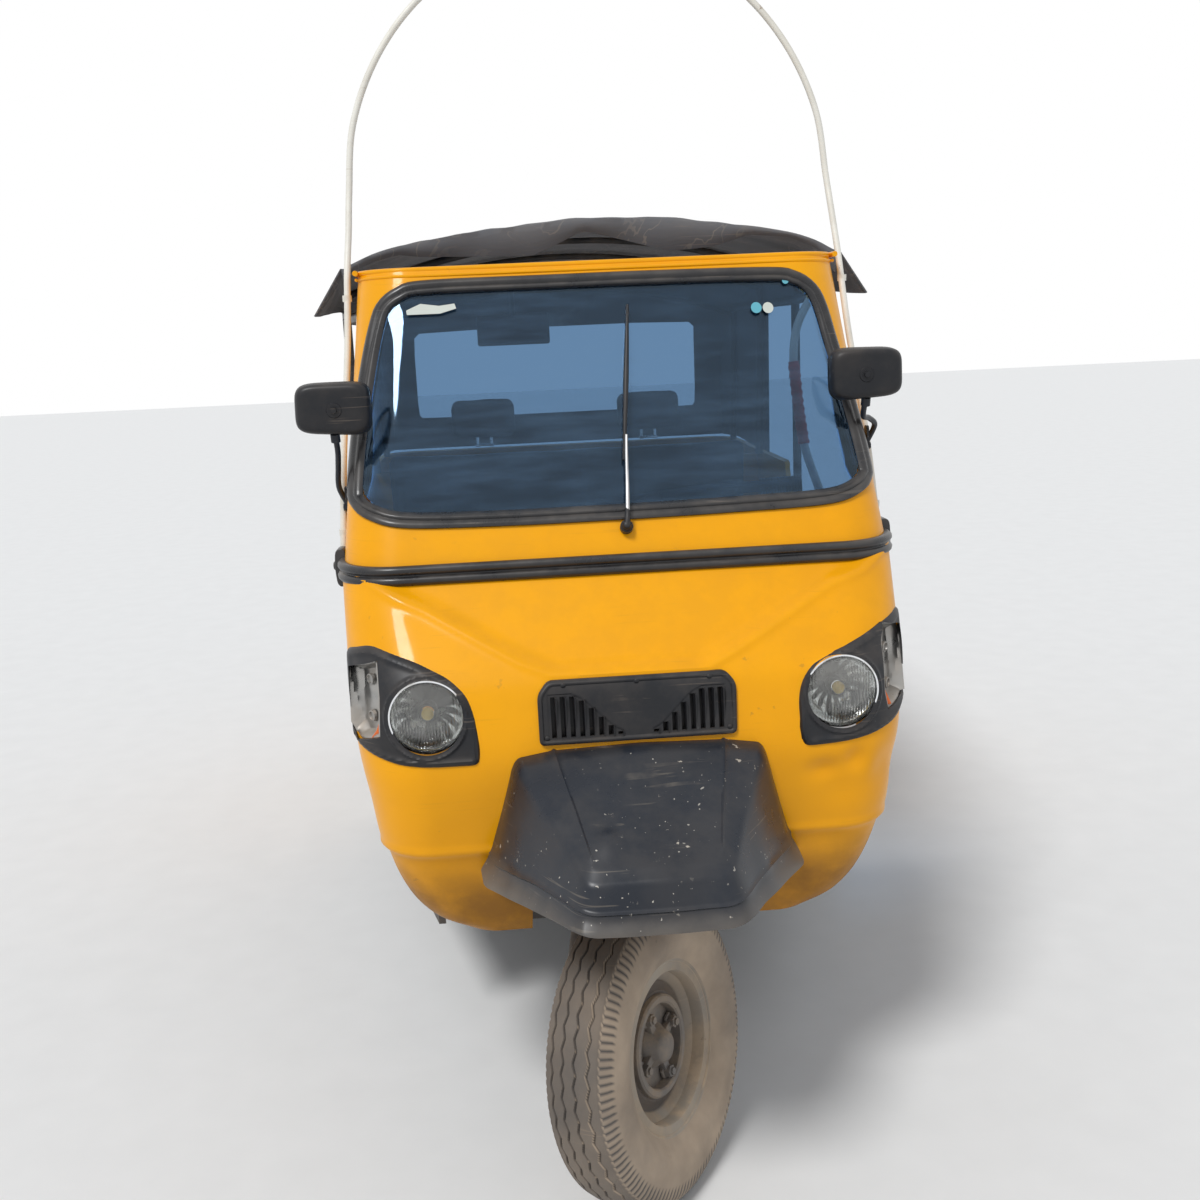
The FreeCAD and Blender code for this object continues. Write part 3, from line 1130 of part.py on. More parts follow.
rear_spring = Part.Face(Part.makePolygon(coil_rows + coil_rows[:1]))
rear_spring = rear_spring.revolve(Vector(), Vector(0, 0, 1), 360)
rear_spring.translate(Vector(strut_x, strut_y, 0))
name("rear_springs", both_sides(held(rear_spring)))

# Check every object, then write each sub-part
doc.recompute()
for thing in doc.Objects:
    if any(word in ("Invalid", "Error") for word in thing.State):
        raise ValueError("%s failed: %s" % (thing.Name, thing.State))
os.makedirs("parts", exist_ok=True)
faulty = [node for node, part in parts.items()
          if part.Shape.isNull() or not part.Shape.isValid() or not part.Shape.Solids]
if faulty:
    raise ValueError("no valid shape: %s" % faulty)
for node, part in parts.items():
    part.Label = node
    part.Shape.exportStep("parts/%s.step" % node)
    box = part.Shape.BoundBox
    print("%-22s solids %d  x %.0f..%.0f  y %.0f..%.0f  z %.0f..%.0f" % (
        node, len(part.Shape.Solids), box.XMin, box.XMax, box.YMin, box.YMax, box.ZMin, box.ZMax))
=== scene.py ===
import math
import bmesh
import bpy
from mathutils import Matrix, Vector, noise


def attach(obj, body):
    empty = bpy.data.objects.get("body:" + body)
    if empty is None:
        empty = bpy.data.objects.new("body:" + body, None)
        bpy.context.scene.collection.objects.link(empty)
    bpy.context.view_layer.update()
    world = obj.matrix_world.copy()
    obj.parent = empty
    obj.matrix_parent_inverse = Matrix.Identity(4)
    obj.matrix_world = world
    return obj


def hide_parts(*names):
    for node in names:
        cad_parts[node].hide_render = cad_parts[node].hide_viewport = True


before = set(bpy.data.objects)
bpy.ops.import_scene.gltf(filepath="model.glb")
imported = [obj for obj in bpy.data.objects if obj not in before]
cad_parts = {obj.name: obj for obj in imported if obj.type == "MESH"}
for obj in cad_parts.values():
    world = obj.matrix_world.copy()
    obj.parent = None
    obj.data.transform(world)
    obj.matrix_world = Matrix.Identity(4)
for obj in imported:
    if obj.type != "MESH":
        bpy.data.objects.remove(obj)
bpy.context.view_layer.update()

# Camera: a standing person's view a good two metres ahead of the cowl, a step
# towards the vehicle's right and tilted down. The picture plane rolls a little.
lens_mm, sensor_mm = 37.5, 36.0
camera_data = bpy.data.cameras.new("camera")
camera_data.lens, camera_data.sensor_width = lens_mm, sensor_mm
camera_data.clip_start = 0.05
camera = bpy.data.objects.new("camera", camera_data)
camera.location = (-0.1903, -3.1604, 1.5247)
camera.rotation_euler = (1.35664, 0.04365, -0.07749)
bpy.context.scene.collection.objects.link(camera)
bpy.context.scene.camera = camera
bpy.context.scene.view_settings.view_transform = "Standard"

# Studio: a pale matt floor that meets a white surround, one large soft lamp from
# high on the left and a level fill from the surround. All are kept plain.


def node(tree, kind, sockets=None, **settings):
    """A shader node with its settings; a socket's value may be another node's output."""
    made = tree.nodes.new("ShaderNode" + kind)
    for key, value in settings.items():
        setattr(made, key, value)
    for key, value in (sockets or {}).items():
        if isinstance(value, bpy.types.NodeSocket):
            tree.links.new(value, made.inputs[key])
        else:
            made.inputs[key].default_value = value
    return made


def blank_material(name):
    """A new material with its node tree emptied down to the output."""
    material = bpy.data.materials.new(name)
    material.use_nodes = True
    tree = material.node_tree
    for old in list(tree.nodes):
        tree.nodes.remove(old)
    return material, tree, tree.nodes.new("ShaderNodeOutputMaterial")


def cloud(tree, scale, detail=2.0, **more):
    """Noise over the object's own coordinates, from 0 to 1."""
    sockets = {
        "Vector": node(tree, "TexCoord").outputs["Object"], "Scale": scale, "Detail": detail,
        **more}
    return node(tree, "TexNoise", sockets).outputs["Fac"]


def blend(tree, amount, a, b):
    return node(tree, "MixRGB", {0: amount, 1: a, 2: b}).outputs[0]


def seen_directly(tree):
    """1 for rays from the camera, off gloss or through glass, and 0 for light."""
    path = node(tree, "LightPath")
    first = node(
        tree, "Math", {0: path.outputs["Is Camera Ray"], 1: path.outputs["Is Glossy Ray"]},
        operation="MAXIMUM")
    return node(
        tree, "Math", {0: first.outputs[0], 1: path.outputs["Is Transmission Ray"]},
        operation="MAXIMUM").outputs[0]


world = bpy.data.worlds.new("studio")
bpy.context.scene.world = world
world.use_nodes = True
tree = world.node_tree
for old in list(tree.nodes):
    tree.nodes.remove(old)
room = node(tree, "Background", {"Color": (0.92, 0.95, 1.0, 1.0), "Strength": 0.5})
white = node(tree, "Background", {"Color": (1.0, 1.0, 1.0, 1.0), "Strength": 1.0})
both = node(tree, "MixShader", {0: seen_directly(tree), 1: room.outputs[0], 2: white.outputs[0]})
tree.links.new(both.outputs[0], tree.nodes.new("ShaderNodeOutputWorld").inputs[0])

sun_data = bpy.data.lights.new("large_lamp", "SUN")
sun_data.energy, sun_data.angle = 1.9, math.radians(16)
sun = bpy.data.objects.new("large_lamp", sun_data)
sun.rotation_euler = Vector((0.42, 0.62, -1.0)).to_track_quat("-Z", "Y").to_euler()
bpy.context.scene.collection.objects.link(sun)

bpy.ops.object.select_all(action="DESELECT")
bpy.ops.mesh.primitive_grid_add(x_subdivisions=8, y_subdivisions=8, size=60)
floor = bpy.context.active_object
floor.name = "floor"
material, tree, output = blank_material("pale_floor")
tint = blend(tree, cloud(tree, 9.0, 5.0), (0.80, 0.80, 0.79, 1), (0.86, 0.86, 0.85, 1))
matt = node(tree, "BsdfPrincipled", {"Base Color": tint, "Roughness": 0.9})
tree.links.new(matt.outputs[0], output.inputs[0])
floor.data.materials.append(material)

# Nose cowl: one pressed steel shell, yellow enamel, with a bonnet fold above the
# grille, a shoulder fold low down, and the dents and chips under the left lamp.


def weathered_group():
    """Colour, roughness and relief of a used surface: fading, dust, chips, scratches."""
    tree = bpy.data.node_groups.new("weathered_surface", "ShaderNodeTree")
    for label, kind, value in (
            ("Base", "Color", (1, 1, 1, 1)), ("Shade", "Color", (1, 1, 1, 1)),
            ("Dust", "Color", (0.36, 0.27, 0.19, 1)), ("Chip", "Color", (0.1, 0.1, 0.1, 1)),
            ("Shade Amount", "Float", 0.5), ("Dust Amount", "Float", 0.2),
            ("Chip Amount", "Float", 0.1), ("Scratch Amount", "Float", 0.1),
            ("Grain Scale", "Float", 300.0), ("Rough", "Float", 0.4),
            ("Rough Spread", "Float", 0.2), ("Low Edge", "Float", 0.0),
            ("Low Dust", "Float", 0.0)):
        socket = tree.interface.new_socket(label, in_out="INPUT", socket_type="NodeSocket" + kind)
        socket.default_value = value
    for label, kind in (
            ("Color", "Color"), ("Roughness", "Float"), ("Height", "Float"), ("Bare", "Float")):
        tree.interface.new_socket(label, in_out="OUTPUT", socket_type="NodeSocket" + kind)
    given = tree.nodes.new("NodeGroupInput").outputs
    result = tree.nodes.new("NodeGroupOutput")
    place = node(tree, "TexCoord").outputs["Object"]

    def blotch(scale, detail=4.0, rough=0.55, vector=None):
        sockets = {"Vector": vector or place, "Scale": scale, "Detail": detail, "Roughness": rough}
        return node(tree, "TexNoise", sockets).outputs["Fac"]

    def above(value, low, high):
        return node(
            tree, "MapRange", {"Value": value, "From Min": low, "From Max": high},
            interpolation_type="SMOOTHSTEP").outputs[0]

    def times(a, b, operation="MULTIPLY", clamp=False):
        return node(tree, "Math", {0: a, 1: b}, operation=operation, use_clamp=clamp).outputs[0]

    def blend(amount, a, b):
        return node(tree, "MixRGB", {0: amount, 1: a, 2: b}).outputs[0]

    wide, middle = blotch(2.3), blotch(13.0, 6.0, 0.62)
    fine = blotch(given["Grain Scale"], 2.0)
    upward = node(tree, "SeparateXYZ", {0: node(tree, "NewGeometry").outputs["Normal"]})
    upward = above(upward.outputs[2], -0.15, 1.0)
    height = node(tree, "SeparateXYZ", {0: place}).outputs[2]
    # Below Low Edge the colour is blended toward the Dust colour by Low Blend, so the surface
    # grows darker or lighter towards the bottom as that colour is.
    low = times(times(given["Low Edge"], height, "SUBTRACT"), 9.0, clamp=True)
    low = times(low, given["Low Dust"])
    dust = times(times(upward, 0.9), 0.35, "ADD")
    dust = times(times(dust, given["Dust Amount"]), above(middle, 0.36, 0.66))
    dust = times(dust, times(low, above(middle, -0.4, 0.7)), "ADD", True)
    spots = times(above(blotch(46.0, 3.0), 0.69, 0.74), above(blotch(4.1), 0.46, 0.6))
    chips = times(spots, given["Chip Amount"], clamp=True)
    lines = 0.0
    for turn, stretch in ((0.5, 3.0), (-0.9, 2.0), (1.4, 4.0)):
        turned = node(
            tree, "Mapping",
            {0: place, "Rotation": (0.3, turn, turn * 0.7), "Scale": (stretch, stretch, 95.0)})
        line = times(
            above(blotch(1.6, 2.0, vector=turned.outputs[0]), 0.665, 0.69),
            above(blotch(7.0), 0.5, 0.62))
        lines = times(line, lines, "MAXIMUM")
    lines = times(lines, given["Scratch Amount"], clamp=True)
    color = blend(
        times(above(wide, 0.3, 0.7), given["Shade Amount"]), given["Base"], given["Shade"])
    color = blend(dust, color, given["Dust"])
    color = blend(times(lines, 0.7), color, given["Dust"])
    color = blend(chips, color, given["Chip"])
    rough = times(
        times(times(middle, 0.5, "SUBTRACT"), given["Rough Spread"]), given["Rough"], "ADD")
    rough = times(times(dust, 0.45), rough, "ADD")
    rough = times(times(chips, 0.3), rough, "ADD", True)
    relief = times(times(fine, 0.4), times(chips, -0.6), "ADD")
    relief = times(relief, times(lines, -0.4), "ADD")
    for label, value in (
            ("Color", color), ("Roughness", rough), ("Height", relief), ("Bare", chips)):
        tree.links.new(value, result.inputs[label])
    return tree


weathered = weathered_group()


def remap(tree, value, low, high, to_low=0.0, to_high=1.0):
    """A value stretched from one range to another, held at both ends."""
    sockets = {
        "Value": value, "From Min": low, "From Max": high, "To Min": to_low, "To Max": to_high}
    return node(tree, "MapRange", sockets).outputs[0]


def math_node(tree, a, b, operation="MULTIPLY", **settings):
    return node(tree, "Math", {0: a, 1: b}, operation=operation, **settings).outputs[0]


def opened(material):
    """A worn material's tree and the group in it, to drive its inputs."""
    return material.node_tree, next(n for n in material.node_tree.nodes if n.type == "GROUP")


def worn(
        name, base, shade, rough, chip=(0.05, 0.05, 0.05), dust=(0.36, 0.27, 0.19), bump=0.15,
        bump_distance=0.0006, metal=0.0, coat=0.0, coat_rough=0.1, ior=1.5, sheen=0.0, **amounts):
    """A finish with wear; amounts are the group's own inputs."""
    material, tree, output = blank_material(name)
    wear = tree.nodes.new("ShaderNodeGroup")
    wear.node_tree = weathered
    for label, value in (("Base", base), ("Shade", shade), ("Chip", chip), ("Dust", dust)):
        wear.inputs[label].default_value = (*value, 1)
    wear.inputs["Rough"].default_value = rough
    for label, value in amounts.items():
        wear.inputs[label.replace("_", " ").title()].default_value = value
    relief = node(
        tree, "Bump",
        {"Height": wear.outputs["Height"], "Strength": bump, "Distance": bump_distance})
    surface = node(
        tree, "BsdfPrincipled",
        {
            "Base Color": wear.outputs["Color"], "Roughness": wear.outputs["Roughness"],
            "Normal": relief.outputs[0], "Metallic": metal, "Coat Weight": coat,
            "Coat Roughness": coat_rough, "IOR": ior, "Sheen Weight": sheen})
    surface.name = "surface"
    tree.links.new(surface.outputs[0], output.inputs[0])
    return material


# Its Dust colour is a dark brown; blended in below low_edge it makes the cowl darker towards the
# bottom, under the shoulder fold.
yellow_paint = worn(
    "yellow_enamel", (0.93, 0.405, 0.001), (0.85, 0.345, 0.001), 0.34, chip=(0.09, 0.06, 0.05),
    dust=(0.21, 0.095, 0.020), bump=0.05, coat=0.22, coat_rough=0.08, ior=1.22, shade_amount=0.5,
    dust_amount=0.08, chip_amount=0.25, scratch_amount=0.10, grain_scale=120.0, rough_spread=0.15,
    low_edge=0.668, low_dust=0.85)


def dress(node_name, material):
    """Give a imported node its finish; its mesh stays as it is."""
    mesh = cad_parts[node_name].data
    mesh.materials.clear()
    mesh.materials.append(material)


def at(rows, height):
    """Values of a table of sections at a height, on a smooth curve through its rows."""
    keys = [row[0] for row in rows]
    if height <= keys[0]:
        low, high, share = 0, 1, 0.0
    elif height >= keys[-1]:
        low, high, share = len(rows) - 2, len(rows) - 1, 1.0
    else:
        high = next(i for i, key in enumerate(keys) if key >= height)
        low = high - 1
        share = (height - keys[low]) / (keys[high] - keys[low])
    before, after = rows[max(low - 1, 0)], rows[min(high + 1, len(rows) - 1)]
    values = []
    for column in range(1, len(rows[0])):
        a, b = rows[low][column], rows[high][column]
        span = keys[high] - keys[low]
        slope_a = (b - before[column]) / max(keys[high] - before[0], 1e-9) * span
        slope_b = (after[column] - a) / max(after[0] - keys[low], 1e-9) * span
        s2, s3 = share ** 2, share ** 3
        values.append(
            (2 * s3 - 3 * s2 + 1) * a + (s3 - 2 * s2 + share) * slope_a + (3 * s2 - 2 * s3) * b
            + (s3 - s2) * slope_b)
    return values


def step(value, low, high):
    """0 below low, 1 above high, smooth between."""
    share = min(max((value - low) / (high - low), 0.0), 1.0)
    return share * share * (3 - 2 * share)


axle_y = -1.150
belt_z, belt_half, belt_front = 1.120, 0.498, 0.137
header_z, header_half, header_front = 1.645, 0.455, 0.385
glass_z = 1.410
flat_share, corner_share, side_share = 0.46, 0.30, 0.24
# height, half width, front, corner radius; y is measured from the front axle
cowl_rows = [
    (0.470, 0.330, 0.078, 0.080), (0.500, 0.385, 0.062, 0.090), (0.560, 0.425, 0.040, 0.096),
    (0.656, 0.452, 0.014, 0.100), (0.740, 0.463, -0.008, 0.112), (0.820, 0.475, -0.020, 0.125),
    (0.905, 0.485, -0.007, 0.138), (0.958, 0.489, 0.012, 0.140),
    (belt_z, belt_half, belt_front, 0.108)]
screen_rows = [
    (belt_z, belt_half, belt_front, 0.108), (header_z, header_half, header_front, 0.100)]
cowl_back = 0.300


def around(rows, height, share, back):
    """A point and its outward direction on the front body; share runs -1 to 1 across it."""
    half, front, corner = at(rows, height)
    side = 1 if share >= 0 else -1
    reach = abs(share)
    if reach <= flat_share:
        x, y, out = (half - corner) * reach / flat_share, front, (0.0, -1.0)
    elif reach <= flat_share + corner_share:
        turn = (reach - flat_share) / corner_share * math.pi / 2
        out = (math.sin(turn), -math.cos(turn))
        x, y = half - corner + corner * out[0], front + corner * (1 + out[1])
    else:
        past = reach - (flat_share + corner_share)
        x, y = half, front + corner + (back - front - corner) * past / side_share
        out = (1.0, 0.0)
    return Vector((side * x, y + axle_y, height)), Vector((side * out[0], out[1], 0.0))


def to_line(x, z, line):
    """Distance in front view to a run of points, positive above it."""
    best, above = 1e9, 1.0
    for (ax, az), (bx, bz) in zip(line, line[1:]):
        dx, dz = bx - ax, bz - az
        share = min(max(((x - ax) * dx + (z - az) * dz) / (dx * dx + dz * dz), 0.0), 1.0)
        off_x, off_z = x - ax - share * dx, z - az - share * dz
        distance = math.hypot(off_x, off_z)
        if distance < best:
            best, above = distance, (1.0 if off_z * dx - off_x * dz >= 0 else -1.0)
    return best * above


fold_line = [
    (-0.470, 1.128), (-0.395, 1.091), (-0.345, 1.070), (-0.190, 0.986), (-0.137, 0.966),
    (0.123, 0.963), (0.185, 0.990), (0.360, 1.077), (0.418, 1.092), (0.490, 1.128)]
dents = [
    (0.318, 0.772, 0.030, 0.020, 0.011), (0.372, 0.786, 0.020, 0.024, 0.012),
    (0.345, 0.735, 0.045, 0.030, 0.006), (0.432, 0.760, 0.030, 0.040, 0.008),
    (-0.300, 0.700, 0.060, 0.040, 0.002), (0.05, 1.03, 0.09, 0.05, 0.0015)]


def cowl_offset(x, z):
    """How far the pressed surface stands off the plain section at a place."""
    fold = to_line(x, z, fold_line)
    fade = 1.0 - 0.35 * step(abs(x), 0.38, 0.48)
    offset = -0.013 * fade * step(fold, -0.002, 0.014)
    offset += 0.0060 * fade * math.exp(-((fold + 0.004) / 0.007) ** 2)
    shoulder = z - 0.648
    offset += 0.006 * step(shoulder, -0.006, 0.004) - 0.003
    offset += 0.003 * math.exp(-((shoulder - 0.006) / 0.008) ** 2)
    for dent_x, dent_z, wide, tall, depth in dents:
        offset -= depth * math.exp(-((x - dent_x) / wide) ** 2 - ((z - dent_z) / tall) ** 2)
    ripple = noise.noise(Vector((x * 5, z * 6, 3.1)))
    return offset + 0.0012 * ripple


def deselect():
    bpy.ops.object.select_all(action="DESELECT")


def active(piece):
    """Make a piece the only selected one and the active one."""
    deselect()
    piece.select_set(True)
    bpy.context.view_layer.objects.active = piece


def shift(x, y, z):
    return Matrix.Translation((x, y, z))


def spin(degrees, axis):
    return Matrix.Rotation(math.radians(degrees), 4, axis)


def solid(name, points, faces, edges=()):
    """A new object from its points and faces."""
    mesh = bpy.data.meshes.new(name)
    mesh.from_pydata(points, edges, faces)
    piece = bpy.data.objects.new(name, mesh)
    bpy.context.scene.collection.objects.link(piece)
    return piece


def grid(name, across, along):
    """A flat grid, later shaped by placing its points; returns the object."""
    deselect()
    bpy.ops.mesh.primitive_grid_add(x_subdivisions=across, y_subdivisions=along, size=2)
    piece = bpy.context.active_object
    piece.name = name
    return piece


def shape(piece, place):
    """Move each point of a mesh to where place puts it."""
    for vertex in piece.data.vertices:
        vertex.co = place(*vertex.co)


def apply(piece, kind, **settings):
    modifier = piece.modifiers.new("step", kind)
    for key, value in settings.items():
        setattr(modifier, key, value)
    active(piece)
    bpy.ops.object.modifier_apply(modifier="step")


def thicken(piece, thickness):
    """Give a sheet its thickness, inward from its faces."""
    apply(piece, "SOLIDIFY", thickness=thickness, offset=-1.0)


def merged(name, pieces):
    """Several meshes as one object."""
    active(pieces[0])
    for piece in pieces:
        piece.select_set(True)
    if len(pieces) > 1:
        bpy.ops.object.join()
    pieces[0].name = name
    return pieces[0]


def settle(piece, material, slot, *replaced, body="body", degrees=35):
    """Smooth, dress and seat a finished piece, or a (name, pieces) pair, on its body."""
    if isinstance(piece, tuple):
        piece = merged(*piece)
    active(piece)
    bpy.ops.object.shade_smooth_by_angle(angle=math.radians(degrees))
    piece.data.materials.clear()
    piece.data.materials.append(material)
    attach(piece, body)
    if replaced:
        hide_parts(*replaced)
    return piece


def outward(piece, axis=None, sign=1):
    """Turn the faces outward; a sheet's faces go the way of sign along an axis."""
    work = bmesh.new()
    work.from_mesh(piece.data)
    bmesh.ops.remove_doubles(work, verts=work.verts, dist=1e-5)
    bmesh.ops.recalc_face_normals(work, faces=work.faces)
    work.to_mesh(piece.data)
    work.free()
    if axis is not None and sum(f.normal[axis] for f in piece.data.polygons) * sign < 0:
        piece.data.flip_normals()
    return piece


def skin(name, across, along, place, axis, sign, thickness=0.0):
    """A grid with its points put in place, its faces turned and its thickness added."""
    piece = grid(name, across, along)
    shape(piece, place)
    outward(piece, axis, sign)
    if thickness:
        thicken(piece, thickness)
    return piece


def plate(name, outline, y_low, y_high, place=None):
    """A solid with an (x, z) outline that runs along Y, for cutting and for flat parts."""
    count = len(outline)
    points = [(x, y_low, z) for x, z in outline] + [(x, y_high, z) for x, z in outline]
    faces = [tuple(range(count)), tuple(range(2 * count - 1, count - 1, -1))]
    faces += [(i, i + count, (i + 1) % count + count, (i + 1) % count) for i in range(count)]
    piece = outward(solid(name, points, faces))
    if place:
        piece.data.transform(place)
        outward(piece)
    return piece


def curved(outline, rounds=3):
    """Corners of a closed outline rounded by cutting them again and again."""
    for _ in range(rounds):
        fresh = []
        for (ax, az), (bx, bz) in zip(outline, outline[1:] + outline[:1]):
            fresh += [
                (0.8 * ax + 0.2 * bx, 0.8 * az + 0.2 * bz),
                (0.2 * ax + 0.8 * bx, 0.2 * az + 0.8 * bz)]
        outline = fresh
    return outline


def remove(piece, *cutters, operation="DIFFERENCE"):
    for cutter in cutters:
        apply(piece, "BOOLEAN", operation=operation, object=cutter, solver="MANIFOLD")
        bpy.data.objects.remove(cutter)


def cowl_place(u, v, _):
    height = 0.470 + (1.126 - 0.470) * (v + 1) / 2
    point, out = around(cowl_rows, min(height, belt_z), u, cowl_back)
    point.z = height
    if height > belt_z:
        point.y += 0.004
    return point + out * cowl_offset(point.x, point.z)


cowl = skin("cowl_skin", 200, 114, cowl_place, 1, -1, 0.0035)
lamp_opening = [
    (0.4885, 0.999), (0.480, 1.004), (0.436, 1.004), (0.372, 0.980), (0.313, 0.954),
    (0.290, 0.932), (0.278, 0.903), (0.274, 0.852), (0.277, 0.830), (0.345, 0.830), (0.402, 0.835),
    (0.446, 0.848), (0.475, 0.862), (0.4885, 0.872)]
holes = [
    plate("cut", [(side * x, z) for x, z in lamp_opening], axle_y - 0.3, axle_y + 0.125)
    for side in (-1, 1)]
holes.append(plate(
    "cut", [(-0.154, 0.857), (0.154, 0.857), (0.154, 0.934), (-0.154, 0.934)], axle_y - 0.3,
    axle_y + 0.09))
wheel_arch = curved(
    [
        (-0.200, 0.40), (0.200, 0.40), (0.190, 0.60), (0.165, 0.738), (-0.165, 0.738),
        (-0.190, 0.60)], 2)
holes.append(plate("cut", wheel_arch, axle_y - 0.3, axle_y + 0.25))
remove(cowl, *holes)
settle(cowl, yellow_paint, "yellow_paint", "nose_cowl", degrees=40)

# Windscreen frame: yellow pressing with two pillars and a rolled gutter along the header, then the
# glossy rubber round the glass, and the blue-tinted pane with a painted blue reflection and sheen.


def lathe(name, rows, steps, place=None):
    """A turned piece about X from (along, radius) rows, closed where the radius is 0."""
    piece = solid(
        name, [(x, 0.0, max(r, 0.0)) for x, r in rows], [],
        [(i, i + 1) for i in range(len(rows) - 1)])
    apply(
        piece, "SCREW", angle=math.tau, steps=steps, render_steps=steps, axis="X",
        use_merge_vertices=True, merge_threshold=1e-5)
    outward(piece)
    if place:
        piece.data.transform(place)
    return piece


def on_front(rows, x, z, off=0.0):
    """A point on the front body straight behind a place in front view, and outward there."""
    half, front, corner = at(rows, z)
    reach = min(max(abs(x) - (half - corner), 0.0), corner * 0.96)
    out = Vector((math.copysign(reach / corner, x), -math.sqrt(1 - (reach / corner) ** 2), 0))
    surface = Vector((x, front + corner * (1 + out.y) + axle_y, z))
    return surface + out * off


def rings(name, loops, close_along=True):
    """A skin over closed loops of points, each the same length, with ends where open."""
    count, total = len(loops[0]), len(loops)
    faces = []
    for i in range(total if close_along else total - 1):
        a, b = i * count, ((i + 1) % total) * count
        faces += [(a + j, a + (j + 1) % count, b + (j + 1) % count, b + j) for j in range(count)]
    if not close_along:
        faces += [
            tuple(range(count - 1, -1, -1)), tuple(range((total - 1) * count, total * count))]
    return outward(solid(name, [point for loop in loops for point in loop], faces))


def spread(line, count, closed=False):
    """Points at even steps along a line, on a smooth curve through its points."""
    size = len(line)
    fine = []
    for i in range(size if closed else size - 1):
        p = [
            Vector(line[k % size] if closed else line[min(max(k, 0), size - 1)])
            for k in (i - 1, i, i + 1, i + 2)]
        for s in range(12):
            t = s / 12
            bend = 2 * p[1] + (p[2] - p[0]) * t + (2 * p[0] - 5 * p[1] + 4 * p[2] - p[3]) * t * t
            fine.append(0.5 * (bend + (3 * p[1] - p[0] - 3 * p[2] + p[3]) * t ** 3))
    fine.append(Vector(line[0] if closed else line[-1]))
    lengths = [0.0]
    for a, b in zip(fine, fine[1:]):
        lengths.append(lengths[-1] + (b - a).length)
    result, k = [], 0
    steps = count if closed else count - 1
    for i in range(count):
        goal = lengths[-1] * i / steps
        while k < len(lengths) - 2 and lengths[k + 1] < goal:
            k += 1
        span = max(lengths[k + 1] - lengths[k], 1e-9)
        result.append(fine[k].lerp(fine[k + 1], min(max((goal - lengths[k]) / span, 0), 1)))
    return result


def tube(name, line, radius, sides=12, count=None):
    """A round rod along a smooth line; radius may be a list, one for each point."""
    path = spread(line, count or len(line) * 8)
    loops, side = [], None
    for i, point in enumerate(path):
        along = (path[min(i + 1, len(path) - 1)] - path[max(i - 1, 0)]).normalized()
        side = side or along.orthogonal().normalized()
        side = (side - along * side.dot(along)).normalized()
        other = along.cross(side)
        if isinstance(radius, (list, tuple)):
            place = i / (len(path) - 1) * (len(radius) - 1)
            low = min(int(place), len(radius) - 2)
            r = radius[low] + (radius[low + 1] - radius[low]) * (place - low)
        else:
            r = radius
        loops.append([
            point + (
                side * math.cos(j * math.tau / sides) + other * math.sin(j * math.tau / sides)) * r
            for j in range(sides)])
    return rings(name, loops, False)


def frame_place(u, v, _):
    height = 1.118 + (header_z - 1.118) * (v + 1) / 2
    back = 0.300 + (0.520 - 0.300) * max((height - 1.12) / 0.525, 0)
    point, out = around(screen_rows, max(height, 1.1201), u, back)
    point.z = height
    sag = 0.0012 * noise.noise(Vector((point.x * 4, height * 5, 1.7)))
    return point + out * (sag - 0.001)


frame_skin = skin("windscreen_frame_skin", 150, 60, frame_place, 1, -1, 0.026)
seal_outline = [
    (-0.486, 1.262), (-0.477, 1.236), (-0.448, 1.217), (-0.377, 1.201), (-0.20, 1.196),
    (0.0, 1.196), (0.20, 1.198), (0.377, 1.203), (0.448, 1.219), (0.475, 1.238), (0.480, 1.262),
    (0.462, 1.370), (0.437, 1.480), (0.421, 1.555), (0.402, 1.590), (0.368, 1.611), (0.318, 1.619),
    (0.10, 1.622), (-0.10, 1.622), (-0.330, 1.621), (-0.382, 1.610), (-0.414, 1.588),
    (-0.430, 1.555), (-0.450, 1.480), (-0.472, 1.370)]
seal_line = spread([(x * 0.985, 0.0, z) for x, z in seal_outline], 220, True)
hole_outline = [(p.x * 0.968, glass_z + (p.z - glass_z) * 0.95) for p in seal_line]
remove(frame_skin, plate("cut", hole_outline[::2], axle_y - 0.1, axle_y + 0.40))
gutter = tube(
    "gutter",
    [
        around(screen_rows, 1.6440, s / 40 - 1, 0.42)[0] + Vector((0, 0.004, 0.0))
        for s in range(0, 81, 2)], 0.0052, 10, 120)
lip = tube(
    "lip",
    [
        around(screen_rows, 1.6330, s / 40 - 0.9, 0.42)[0] + Vector((0, 0.001, 0.0))
        for s in range(0, 73, 2)], 0.0032, 8, 110)
header_top = plate(
    "header_top", [(-0.36, 1.621), (0.36, 1.621), (0.36, 1.641), (-0.36, 1.641)], axle_y + 0.392,
    axle_y + 0.452)
frame_skin = merged("windscreen_frame_skin", [frame_skin, gutter, lip, header_top])
settle(frame_skin, yellow_paint, "yellow_paint", "windscreen_frame", degrees=40)

# Rubber: a fat glossy bead against the paint, a locking strip down its middle and
# a thin lip on the glass, all swept round the opening.


def swept(name, line, profile, place):
    """A closed band: profile is (across towards the middle, off the surface)."""
    loops, count = [], len(line)
    for i, point in enumerate(line):
        along = (line[(i + 1) % count] - line[i - 1]).normalized()
        inward = Vector((-along.z, 0.0, along.x))
        if inward.dot(Vector((-point.x, 0, glass_z - point.z))) < 0:
            inward = -inward
        loops.append(
            [place(point.x + inward.x * a, point.z + inward.z * a, off) for a, off in profile])
    return rings(name, loops)


